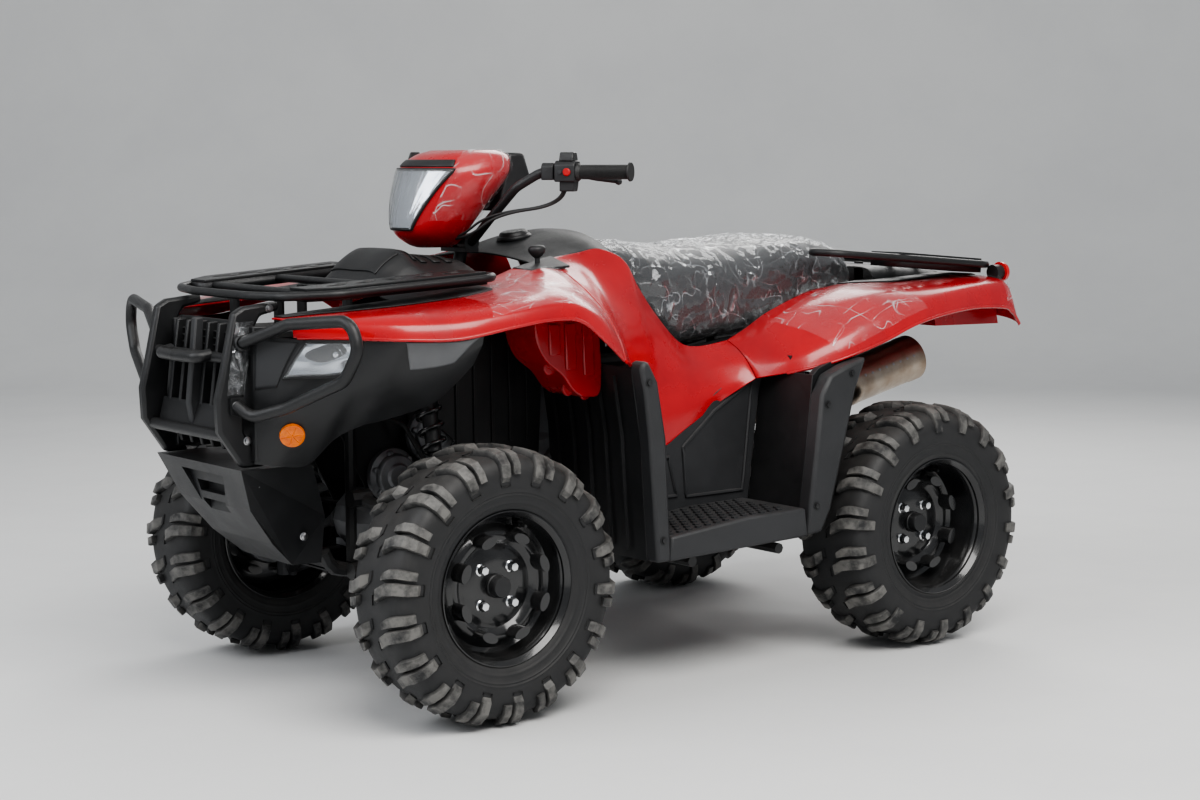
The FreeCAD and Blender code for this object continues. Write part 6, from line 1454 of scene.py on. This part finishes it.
seat_tree = BVHTree.FromPolygons([vertex.co for vertex in seat.data.vertices],
                                 [tuple(p.vertices) for p in seat.data.polygons])
WRAP_ROWS, WRAP_COLUMNS = 120, 110
film_grid = []
for i in range(WRAP_ROWS):
    station = 7.4 - 8.35 * i / (WRAP_ROWS - 1)
    spine = at(station, 0, 9.0 if station < 6.8 else 9.62)
    row = []
    for j in range(WRAP_COLUMNS):
        angle = math.radians(-36 + 252 * j / (WRAP_COLUMNS - 1))
        way = Vector((0.0, math.cos(angle), math.sin(angle)))
        hit = seat_tree.ray_cast(spine, way)
        spot = hit[0] if hit[0] is not None else spine + way * 0.1
        row.append(spot + way * (0.0022 + crinkle(spot, 14.0, 0.0058) + crinkle(spot, 31.0, 0.0026)))
    film_grid.append(row)
film_piece("seat_wrap", film_grid, SEAT_FILM, "chassis")

# %% [markdown]
# The black tank cover and centre cover are single smooth mouldings across the middle of the bike. The centre cover
# carries a plain raised panel, and beside the tank stands the gear selector with its tapered knob.

# %% Tank cover, centre cover and selector
TANK = [
    (9.85, [(0.0, 9.95), (0.8, 9.92), (1.5, 9.85), (2.165, 9.77)]),
    (9.3, [(0.0, 10.12), (0.9, 10.07), (1.6, 9.96), (2.2, 9.85)]),
    (8.6, [(0.0, 10.3), (0.9, 10.24), (1.7, 10.1), (2.265, 9.97)]),
    (8.0, [(0.0, 10.42), (1.0, 10.36), (1.8, 10.22), (2.365, 10.05)]),
    (7.55, [(0.0, 10.46), (1.0, 10.4), (1.8, 10.18), (2.38, 9.86)]),
]
CENTRE = [
    (13.6, [(0.0, 9.3), (0.8, 9.3), (1.3, 9.2), (1.7, 9.1), (2.145, 9.05)]),
    (13.1, [(0.0, 9.85), (0.8, 9.83), (1.2, 9.55), (1.6, 9.2), (2.145, 9.09)]),
    (12.6, [(0.0, 10.12), (0.8, 10.08), (1.2, 9.8), (1.6, 9.35), (2.145, 9.13)]),
    (12.2, [(0.0, 9.98), (0.8, 9.93), (1.3, 9.7), (1.7, 9.4), (2.145, 9.19)]),
    (11.5, [(0.0, 9.9), (0.8, 9.88), (1.3, 9.7), (1.7, 9.45), (2.145, 9.32)]),
    (11.0, [(0.0, 9.85), (0.8, 9.83), (1.3, 9.7), (1.7, 9.55), (2.145, 9.45)]),
]

tank_grid = skin_grid(whole_width(TANK), 40, 50)
make("tank_skin", ([p for line in tank_grid for p in line], grid_faces(40, 50)), PLAIN_BLACK,
     stands_for=["tank_cover"], wall=0.004, bevel=0.0015, sharp=60)
tank_cap = [(0, 0), (0.043, 0.0), (0.043, 0.004), (0.04, 0.008), (0.036, 0.009), (0.034, 0.015), (0.03, 0.018),
            (0, 0.0185)]
make("tank_cap", turned(tank_cap, at(8.75, 0, 10.25), (0.16, 0, 1), 40), BLACK_MOULDING, sharp=35)
centre_grid = skin_grid(whole_width(CENTRE), 50, 60)
make("centre_skin", ([p for line in centre_grid for p in line], grid_faces(50, 60)), BLACK_MOULDING,
     stands_for=["centre_cover"], wall=0.004, bevel=0.0015, sharp=60)
make("centre_panel", patch(centre_grid, [(0.12, 0.34), (0.36, 0.34), (0.36, 0.66), (0.12, 0.66)], 20, 30, 0.003),
     BLACK_MOULDING, wall=0.003, bevel=0.002)
vent_corners = [[(0.5 + 0.1 * n, 0.3), (0.55 + 0.1 * n, 0.3), (0.55 + 0.1 * n, 0.7), (0.5 + 0.1 * n, 0.7)]
                for n in range(4)]
make("centre_vents", gather([patch(centre_grid, corners, 4, 20, 0.0035) for corners in vent_corners]), SOFT_RUBBER,
     wall=0.0025)
knob = [(0, 0), (0.006, 0.0), (0.006, 0.013), (0.012, 0.018), (0.0185, 0.026), (0.0205, 0.034), (0.017, 0.0405),
        (0.008, 0.0425), (0, 0.043)]
make("selector_grip", turned(knob, at(9.9, 2.5, 9.76), (0.06, 0, 1), 32), BLACK_MOULDING,
     stands_for=["selector_knob"], sharp=50)
gate = slab([at(10.4, 2.2, 9.62), at(9.3, 2.2, 9.86), at(9.3, 2.95, 9.66), at(10.4, 2.95, 9.6)],
            Vector((0, 0, 0.006)))
make("selector_gate", gate, BLACK_MOULDING, bevel=0.002)
print("middle covers done")

# %% [markdown]
# The splash guards are black mouldings: a curved flare at the front and one at the rear of each footwell, a thin wall
# that closes the front wheel arch, a floor with raised treads, and an inner panel with raised outlines on it.

# %% Footwells
FRONT_FLARE = [(8.45, 3.09), (8.6, 5.9), (8.84, 7.2), (9.1, 7.66), (9.27, 7.68), (9.34, 7.5), (9.22, 7.0),
               (9.08, 5.9), (8.87, 3.09)]
REAR_FLARE = [(4.2, 3.22), (3.92, 5.1), (3.74, 6.55), (3.44, 7.0), (2.9, 7.2), (2.24, 7.37), (2.6, 6.6),
              (2.95, 5.3), (3.4, 3.75), (3.7, 3.22)]


def closed_smooth(row):
    """A closed outline rounded through its points, with five places from each point to the next."""
    count = len(row)
    spread = []
    for index in range(count):
        near = [row[(index + shift) % count] for shift in (-1, 0, 1, 2)]
        spread += [cubic(*near, step / 5) for step in range(5)]
    return spread


def side_slab(shares, low, high):
    return slab([at(station, low, level) for station, level in shares], Vector((0, (high - low) * 0.1, 0)))


flares = [side_slab(FRONT_FLARE, 5.13, 5.58), side_slab(REAR_FLARE, 5.08, 5.53)]
make("flares", on_both_sides(gather(flares)), GREY_MOULDING, stands_for=["footwells"], bevel=0.009, sharp=35)
FLOOR = [(8.5, 3.09), (8.45, 3.65), (6.1, 3.86), (4.3, 3.89), (4.2, 3.2)]
wall_front = side_slab([(8.84, 3.09), (9.03, 5.9), (9.29, 7.52), (9.33, 7.52), (9.07, 5.9), (8.88, 3.09)], 1.75,
                       5.2)
wall_rear = side_slab([(4.2, 3.2), (3.92, 5.1), (3.7, 7.0), (3.65, 7.0), (3.86, 5.1), (4.15, 3.2)], 3.3, 5.15)
wall_top = side_slab([(3.7, 6.95), (3.66, 7.4), (3.61, 7.4), (3.65, 6.95)], 3.3, 4.35)
wall_lip = side_slab([(3.72, 6.6), (3.66, 6.95), (3.45, 7.13), (3.05, 7.26), (2.3, 7.36), (2.6, 6.7), (3.2, 6.2)],
                     4.92, 5.09)
make("arch_walls", on_both_sides(gather([wall_front, wall_rear, wall_top, wall_lip])), BLACK_MOULDING, bevel=0.001)
make("floor_boards", on_both_sides(side_slab(FLOOR, 3.3, 5.58)), GREY_MOULDING, bevel=0.006, sharp=35)
inner_panel = side_slab([(8.8, 3.75), (8.95, 5.35), (7.6, 5.4), (6.5, 5.75), (5.4, 6.45), (4.4, 7.05), (3.62, 7.3),
                         (3.85, 6.4), (4.2, 3.8)], 3.3, 3.41)
make("inner_panels", on_both_sides(inner_panel), GREY_MOULDING, bevel=0.002)
RECESS = [(8.3, 4.15), (8.3, 5.1), (6.75, 5.1), (6.5, 4.15)]
BACK_RECESS = [(6.2, 4.1), (6.3, 5.3), (5.3, 6.1), (4.1, 6.75), (4.4, 4.1)]
frames_on_panel = []
for outline in (RECESS, BACK_RECESS):
    route = [at(p[0] + (q[0] - p[0]) * t / 8, 3.42, p[1] + (q[1] - p[1]) * t / 8)
             for p, q in zip(outline, outline[1:] + outline[:1]) for t in range(8)]
    frames_on_panel.append(ring_tube(route, 0.0045, 6))
make("panel_frames", on_both_sides(gather(frames_on_panel)), GREY_MOULDING)
treads = []
for row in range(8):
    side = 3.65 + 0.24 * row
    for step in range(13):
        station = 4.75 + 0.28 * step + (0.14 if row % 2 else 0)
        level = 3.875 - 0.022 * max(station - 4.3, 0) - (0.07 * max(station - 6.1, 0) if station > 6.1 else 0)
        treads.append(slab([at(station, side - 0.07, level), at(station + 0.12, side - 0.05, level),
                            at(station + 0.12, side + 0.05, level), at(station, side + 0.07, level)],
                           Vector((0, 0, 0.006))))
make("floor_treads", on_both_sides(gather(treads)), GREY_MOULDING)
ribs_on_wall = [slab([at(8.95, side, 3.3), at(9.1, side, 5.9), at(9.34, side, 7.3), at(9.42, side, 7.3),
                      at(9.2, side, 5.9), at(9.02, side, 3.3)], Vector((0, 0.006, 0)))
                for side in (2.2, 2.8, 3.4, 4.0, 4.6)]
make("wall_ribs", on_both_sides(gather(ribs_on_wall)), BLACK_MOULDING)
flare_bolts = [bolt(at(2.75, 5.53, 7.0), (0, 1, 0.1)), bolt(at(3.55, 5.53, 6.3), (0, 1, 0)),
               bolt(at(3.9, 5.53, 3.9), (0, 1, 0)), bolt(at(8.7, 5.58, 3.6), (0, 1, 0)),
               bolt(at(9.12, 5.58, 7.2), (0, 1, 0))]
make("flare_bolts", on_both_sides(gather(flare_bolts)), BLACK_MOULDING, sharp=30)
print("footwells done with", len(treads), "treads a side")

# %% [markdown]
# Each shock is a damper tube and a rod with a real coil wound round them: the coil's line is a helix along the same
# axis as the plain solid. The rubber bellows on the drive shafts are turned from a rippled profile.

# %% Shocks, bellows and hubs
SHOCKS = [((13.0, 3.05, 4.55), (13.0, 2.35, 7.5)), ((0.75, 2.9, 4.6), (1.7, 2.3, 7.0))]
coils, dampers, collars = [], [], []
for foot, head in SHOCKS:
    start, end = at(*foot), at(*head)
    way, length = (end - start).normalized(), (end - start).length
    first = way.orthogonal().normalized()
    second = way.cross(first)
    turns, steps = 7.0, 18
    route = []
    for step in range(int(turns * steps) + 1):
        angle = 2 * math.pi * step / steps
        along_share = 0.028 + (length - 0.056) * step / (turns * steps)
        route.append(start + way * along_share + around(first, second, angle) * 0.0262)
    points = []
    sides = 8
    for index, spot in enumerate(route):
        tangent = (route[min(index + 1, len(route) - 1)] - route[max(index - 1, 0)]).normalized()
        out = (spot - start - way * (spot - start).dot(way)).normalized()
        side = tangent.cross(out).normalized()
        points += [spot + around(out, side, 2 * math.pi * s / sides) * 0.0056 for s in range(sides)]
    coils.append((points, grid_faces(len(route), sides, ring_columns=True)))
    dampers.append(turned([(0, 0), (0.0315, 0.0), (0.0315, 0.016), (0.028, 0.02), (0.009, 0.021),
                           (0.009, length * 0.38), (0.0175, length * 0.38 + 0.004), (0.0175, length - 0.03),
                           (0.029, length - 0.027), (0.0315, length - 0.022), (0.0315, length - 0.004),
                           (0.027, length), (0, length)], start, way, 32))
    boot = [(0.0125, length * 0.1)]
    for step in range(9):
        boot += [(0.0155, length * 0.1 + 0.006 + 0.007 * step), (0.0125, length * 0.1 + 0.0095 + 0.007 * step)]
    collars.append(turned(boot, start, way, 24))
    for spot in (start, end):
        collars.append(turned([(0, -0.014), (0.013, -0.014), (0.013, 0.014), (0, 0.014)], spot, (1, 0, 0), 20))
make("shock_coils", on_both_sides(gather(coils)), RIM_BLACK, stands_for=["shock_springs"], sharp=60)
make("shock_tubes", on_both_sides(gather(dampers)), POWDER_BLACK, stands_for=["shock_dampers"], sharp=40)
make("shock_boots", on_both_sides(gather(collars)), SOFT_RUBBER, sharp=60)
bellows = []
for axle_x, wheel_y in ((FRONT_AXLE, 0.346), (REAR_AXLE, 0.34)):
    inner, outer = Vector((axle_x, 0.0805, 0.385)), Vector((axle_x, wheel_y, 0.303))
    way = (outer - inner).normalized()
    reach = (outer - inner).length
    for start, direction in ((inner + way * 0.004, way), (outer - way * 0.004, way * -1)):
        profile = [(0.0, 0), (0.0335, 0), (0.0335, 0.012)]
        for step in range(5):
            profile += [(0.0345 - 0.0035 * step, 0.018 + 0.011 * step),
                        (0.0285 - 0.003 * step, 0.0235 + 0.011 * step)]
        profile += [(0.0145, 0.078), (0.0145, 0.086), (0.0, 0.086)]
        bellows.append(turned(profile, start, direction, 28))
    bellows.append(turned([(0.0105, 0.0), (0.0105, reach)], inner, way, 18))
make("shaft_bellows", on_both_sides(gather(bellows)), SOFT_RUBBER, stands_for=["half_shafts"], sharp=60)
drum = [(0, -0.058), (0.06, -0.058), (0.085, -0.052), (0.09, -0.045), (0.09, -0.012), (0.082, -0.006), (0, -0.004)]
front_drum = turned(drum, Vector((FRONT_AXLE, 0.5, AXLE_HEIGHT)), (0, 1, 0), 48)
make("drum_left", front_drum, CAST_ALLOY, body="knuckle_left", sharp=30)
make("drum_right", ([Vector((p.x, -p.y, p.z)) for p in front_drum[0]], [f[::-1] for f in front_drum[1]]),
     CAST_ALLOY, body="knuckle_right", sharp=30)
print("suspension done")

# %% [markdown]
# The silencer is a rolled can with end rings, a clamp where the pipe enters, a drain fitting and a line of spot
# welds. Its steel has gone brown from heat in slow, cloudy patches.

# %% Exhaust
front_end, rear_end = at(0.3, 2.3, 6.2), at(-2.6, 2.3, 6.85)
can_way, can_length = (rear_end - front_end).normalized(), (rear_end - front_end).length
can = turned([(0.0, 0), (0.03, 0), (0.034, 0.006), (0.055, 0.03), (0.0605, 0.04), (0.0605, 0.06), (0.0593, 0.062),
              (0.0593, can_length - 0.034), (0.0607, can_length - 0.031), (0.0607, can_length - 0.002),
              (0.059, can_length), (0.055, can_length), (0.0535, can_length - 0.006), (0.049, can_length - 0.008),
              (0.024, can_length - 0.006), (0.0225, can_length + 0.009), (0.019, can_length + 0.0095),
              (0.0185, can_length - 0.02), (0, can_length - 0.021)], front_end, can_way, 64)
pipe = tube([at(6.4, 1.603, 5.2), at(6.4, 2.2, 5.2), at(5.0, 2.2, 5.2), at(2.6, 1.75, 5.6), at(1.0, 1.75, 6.0),
             at(0.25, 2.25, 6.2)], 0.0205, 0.06, 20)
make("silencer_can", gather([can, pipe]), TINTED_STEEL, stands_for=["muffler"], sharp=35)
first = can_way.cross(Vector((0, 1, 0))).normalized()
second = can_way.cross(first)


def round_can(angle, distance):
    """A place on the can's surface and the way it faces."""
    out = around(first, second, angle)
    return front_end + can_way * distance + out * 0.0593, out


fittings = [turned([(0.0315, 0.002), (0.0345, 0.002), (0.0345, 0.02), (0.0315, 0.02)], front_end - can_way * 0.008,
                   can_way, 36, closed=True)]
low_angle = max(range(36), key=lambda step: -round_can(step * math.pi / 18, 0.2)[1].z) * math.pi / 18
spot, out = round_can(low_angle + 0.5, can_length - 0.075)
fittings.append(turned([(0.011, -0.004), (0.011, 0.004), (0.0075, 0.005), (0.0075, 0.018), (0.0, 0.019)], spot, out,
                       20))
for step in range(8):
    spot, out = round_can(low_angle - 1.9, 0.075 + 0.026 * step)
    fittings.append(turned([(0.0045, -0.001), (0.0038, 0.0006), (0.0, 0.0009)], spot, out, 12))
make("silencer_fittings", gather(fittings), STEEL, sharp=40)
print("exhaust done")

# %% [markdown]
# Details of the engine bay: covers and fins on the engine block, bolts on the gear cases, a finned cooler behind the
# grille, and red box sections inside the fenders with round tabs and raised strips on their outer faces.

# %% Engine bay and boxes
covers, studs = [], []
for side in (1, -1):
    out = Vector((0, side, 0))
    for station, level, radius, depth in ((6.3, 4.6, 0.085, 0.022), (8.3, 4.55, 0.1, 0.026),
                                          (7.3, 6.2, 0.055, 0.016)):
        centre = at(station, 1.6 * side, level)
        covers.append(turned([(0, 0), (radius, 0), (radius, depth * 0.5), (radius * 0.93, depth * 0.8),
                              (radius * 0.7, depth), (radius * 0.3, depth), (radius * 0.26, depth * 0.8),
                              (0, depth * 0.8)], centre, out, 48))
        for step in range(7):
            angle = 2 * math.pi * step / 7
            studs.append(bolt(centre + Vector((math.cos(angle), 0, math.sin(angle))) * radius * 0.94
                              + out * depth * 0.55, out, 0.005, 0.007))
fins = [block(at(6.4, -1.66, 5.85 + 0.16 * n), at(8.15, 1.66, 5.9 + 0.16 * n)) for n in range(6)]
make("engine_covers", gather(covers), DARK_CASTING, sharp=30)
make("engine_fins", gather(fins), CAST_ALLOY, bevel=0.001)
cooler = [block(at(16.2, -1.25, 6.35 + 0.09 * n), at(16.42, 1.25, 6.37 + 0.09 * n)) for n in range(22)]
tanks = [block(at(16.15, -1.45, 6.3), at(16.47, -1.25, 8.35)), block(at(16.15, 1.25, 6.3), at(16.47, 1.45, 8.35)),
         block(at(16.2, -1.45, 6.25), at(16.42, 1.45, 6.33)), block(at(16.2, -1.45, 8.32), at(16.42, 1.45, 8.4))]
make("cooler_core", gather(cooler), CAST_ALLOY)
make("cooler_tanks", gather(tanks), DARK_CASTING, bevel=0.003)
for axle_x, radius in ((FRONT_AXLE, 0.066), (REAR_AXLE, 0.07)):
    for side in (1, -1):
        for step in range(6):
            angle = 2 * math.pi * (step + 0.5) / 6
            studs.append(bolt(Vector((axle_x + math.cos(angle) * 0.036, 0.08 * side,
                                      0.385 + math.sin(angle) * 0.036)), (0, side, 0), 0.005, 0.006))
make("case_bolts", gather(studs), STEEL, sharp=30)
BOX = [(9.32, 7.03), (9.7, 6.8), (10.1, 6.95), (10.45, 7.35), (10.9, 7.7), (11.15, 8.2), (11.1, 8.75), (10.2, 8.95),
       (9.5, 8.8)]
box_outline = closed_smooth([at(station, 2.95, level) for station, level in BOX])
tabs = [turned([(0, 0), (0.017, 0), (0.017, 0.006), (0, 0.006)], at(station, 3.86, level), (0, 1, 0), 20)
        for station, level in ((9.62, 6.88), (10.1, 7.0), (10.62, 7.5))]
steps = []
for station, lean in ((9.55, 0.0), (10.05, 0.15), (10.5, 0.5)):
    strip = [at(station, 4.12, 7.3 + lean), at(station + 0.3, 4.12, 7.3 + lean), at(station + 0.34, 4.12, 8.5),
             at(station + 0.04, 4.12, 8.5)]
    steps.append(slab(strip, Vector((0, 0.006, 0))))
make("box_shells", on_both_sides(gather([slab(box_outline, Vector((0, 0.118, 0)))] + tabs + steps)), RED,
     stands_for=["inner_boxes"], bevel=0.004, sharp=35)
for name in ("tail_boxes", "skid_plate", "tow_hitch", "differentials", "engine", "knuckle_left", "knuckle_right",
             "rear_hub_carriers"):
    edge = nodes[name].modifiers.new("edge", "BEVEL")
    edge.width, edge.segments, edge.limit_method, edge.angle_limit = 0.003, 2, "ANGLE", math.radians(40)
lens = turned([(0, 0), (0.0265, 0), (0.027, 0.004), (0.0255, 0.012), (0.022, 0.0145), (0, 0.0155)],
              at(-3.72, 4.4, 9.16), (-1, 0, 0), 40)
make("rear_reflectors", on_both_sides(lens), RED_REFLECTOR, stands_for=["tail_lamps"], sharp=35)
mount = tube([at(-3.45, 4.4, 9.16), at(-3.72, 4.4, 9.16)], 0.02, 0.02, 24)
make("reflector_mounts", on_both_sides(mount), BLACK_MOULDING, sharp=50)
print("engine bay done with", len(studs), "bolts")

# %% [markdown]
# Patches of film are left on the near fenders, on the pod and on the near plate of the bull bar. Those on mouldings
# are read off the same grids as the mouldings, so they follow them exactly, and stand off in a few creases.

# %% Film on the fenders, the pod and the bar
FILM_LIFT = 0.0012


def film_patch(name, grid, corners, height, scale):
    rows = []
    for i in range(60):
        row = []
        for j in range(50):
            spot, out = sample(grid, *between(corners, i / 59, j / 49))
            if out.z < 0:
                out = -out
            row.append(spot + out * (FILM_LIFT + crinkle(spot, scale, height)))
        rows.append(row)
    film_piece(name, rows, PANEL_FILM, "chassis")


film_patch("front_fender_film", front_grid, [(0.5, 0.08), (0.98, 0.08), (0.98, 0.72), (0.45, 0.8)], 0.0035, 9.0)
film_patch("rear_fender_film", rear_grid, [(0.15, 0.2), (0.42, 0.1), (0.45, 0.85), (0.2, 0.9)], 0.0035, 9.0)
film_patch("tail_film", rear_grid, [(0.72, 0.5), (0.9, 0.5), (0.9, 0.92), (0.72, 0.92)], 0.003, 11.0)
pod_side = [[columns[(10 + step) % POD_COLUMNS][row] for step in range(24)] for row in range(POD_ROWS)]
pod_middle = at(10.6, 0, 11.4)
pod_rows = []
for i in range(50):
    row = []
    for j in range(40):
        spot, out = sample(pod_side, 0.35 + 0.6 * i / 49, 0.05 + 0.9 * j / 39)
        if out.dot(spot - pod_middle) < 0:
            out = -out
        row.append(spot + out * (0.0015 + crinkle(spot, 20.0, 0.004)))
    pod_rows.append(row)
film_piece("pod_film", pod_rows, PANEL_FILM, "steering")
plate_rows = []
for i in range(40):
    share = i / 39
    row = []
    for j in range(16):
        level = 8.75 - 1.55 * share
        front_station = 17.42 + 0.26 * share
        spot = at(front_station - 0.42 * j / 15, 1.885, level)
        row.append(spot + Vector((0, FILM_LIFT + crinkle(spot, 30.0, 0.003), 0)))
    plate_rows.append(row)
film_piece("bar_film", plate_rows, SEAT_FILM, "chassis")

# %% [markdown]
# The cables of the handlebar are real lengths of flexible line. Each is one smooth spline through a few control
# points: straight out of its fitting, then an easy arc, and back in under the pod.

# %% Cables


def cable(name, points, diameter, body):
    data = bpy.data.curves.new(name, "CURVE")
    data.dimensions = "3D"
    spline = data.splines.new("NURBS")
    spline.points.add(len(points) - 1)
    for point, spot in zip(spline.points, points):
        point.co = (*spot, 1)
    spline.order_u = 3
    spline.use_endpoint_u = True
    data.resolution_u = 10
    line = bpy.data.objects.new(name, data)
    bpy.context.scene.collection.objects.link(line)
    bpy.context.view_layer.update()
    measured = bpy.data.meshes.new_from_object(line.evaluated_get(bpy.context.evaluated_depsgraph_get()))
    bpy.data.meshes.remove(measured)
    data.bevel_depth = diameter / 2
    data.bevel_resolution = 3
    data.materials.append(SOFT_RUBBER)
    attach(line, body)


box_foot = switch_start + grip_way * 0.03 + Vector((0, 0, -0.04))
CABLES = [(1, 0.0, 0.007), (1, 0.35, 0.006), (-1, 0.0, 0.0075), (-1, 0.35, 0.006)]
for index, (side, shift, diameter) in enumerate(CABLES):
    start = Vector((box_foot.x, box_foot.y * side, box_foot.z)) + Vector((0.006 * index, 0, 0))
    points = [start, start + Vector((0.0, -0.012 * side, -0.035)), at(10.6, (1.9 - shift) * side, 10.9),
              at(10.9, (1.2 - shift) * side, 10.35), at(10.9, 0.55 * side, 10.3 + shift * 0.1)]
    cable(f"bar_cable_{index + 1}", [Vector(point) for point in points], diameter, "steering")
print("cables done")

# %% [markdown]
# The studio floor is one sheet that curves up behind the bike, so no horizon line shows from the camera.

# %% Studio floor
FLOOR_REACH, FLOOR_HALF, WALL_DISTANCE, WALL_BEND, WALL_TOP = 9.0, 16.0, 6.0, 2.5, 9.0
floor_material = finish("studio_floor", (0.8, 0.8, 0.79), (0.76, 0.76, 0.755), rough=(0.6, 0.8),
                        grain=(60, 0.05, 0.02), dust=0.0, cloud=1.2)
back = Vector((ahead.x, ahead.y, 0)).normalized()
over = Vector((back.y, -back.x, 0))
sweep = [back * -FLOOR_REACH]
sweep += [back * (WALL_DISTANCE + WALL_BEND * math.sin(angle)) + Vector((0, 0, WALL_BEND * (1 - math.cos(angle))))
          for angle in [math.pi / 2 * step / 16 for step in range(17)]]
sweep.append(sweep[-1] + Vector((0, 0, WALL_TOP)))
floor_points = [spot + over * side for spot in sweep for side in (-FLOOR_HALF, FLOOR_HALF)]
floor_mesh = bpy.data.meshes.new("floor")
floor_mesh.from_pydata([tuple(point) for point in floor_points], [], grid_faces(len(sweep), 2))
floor_mesh.materials.append(floor_material)
floor_mesh.shade_smooth()
floor = bpy.data.objects.new("floor", floor_mesh)
bpy.context.scene.collection.objects.link(floor)
print("floor done")
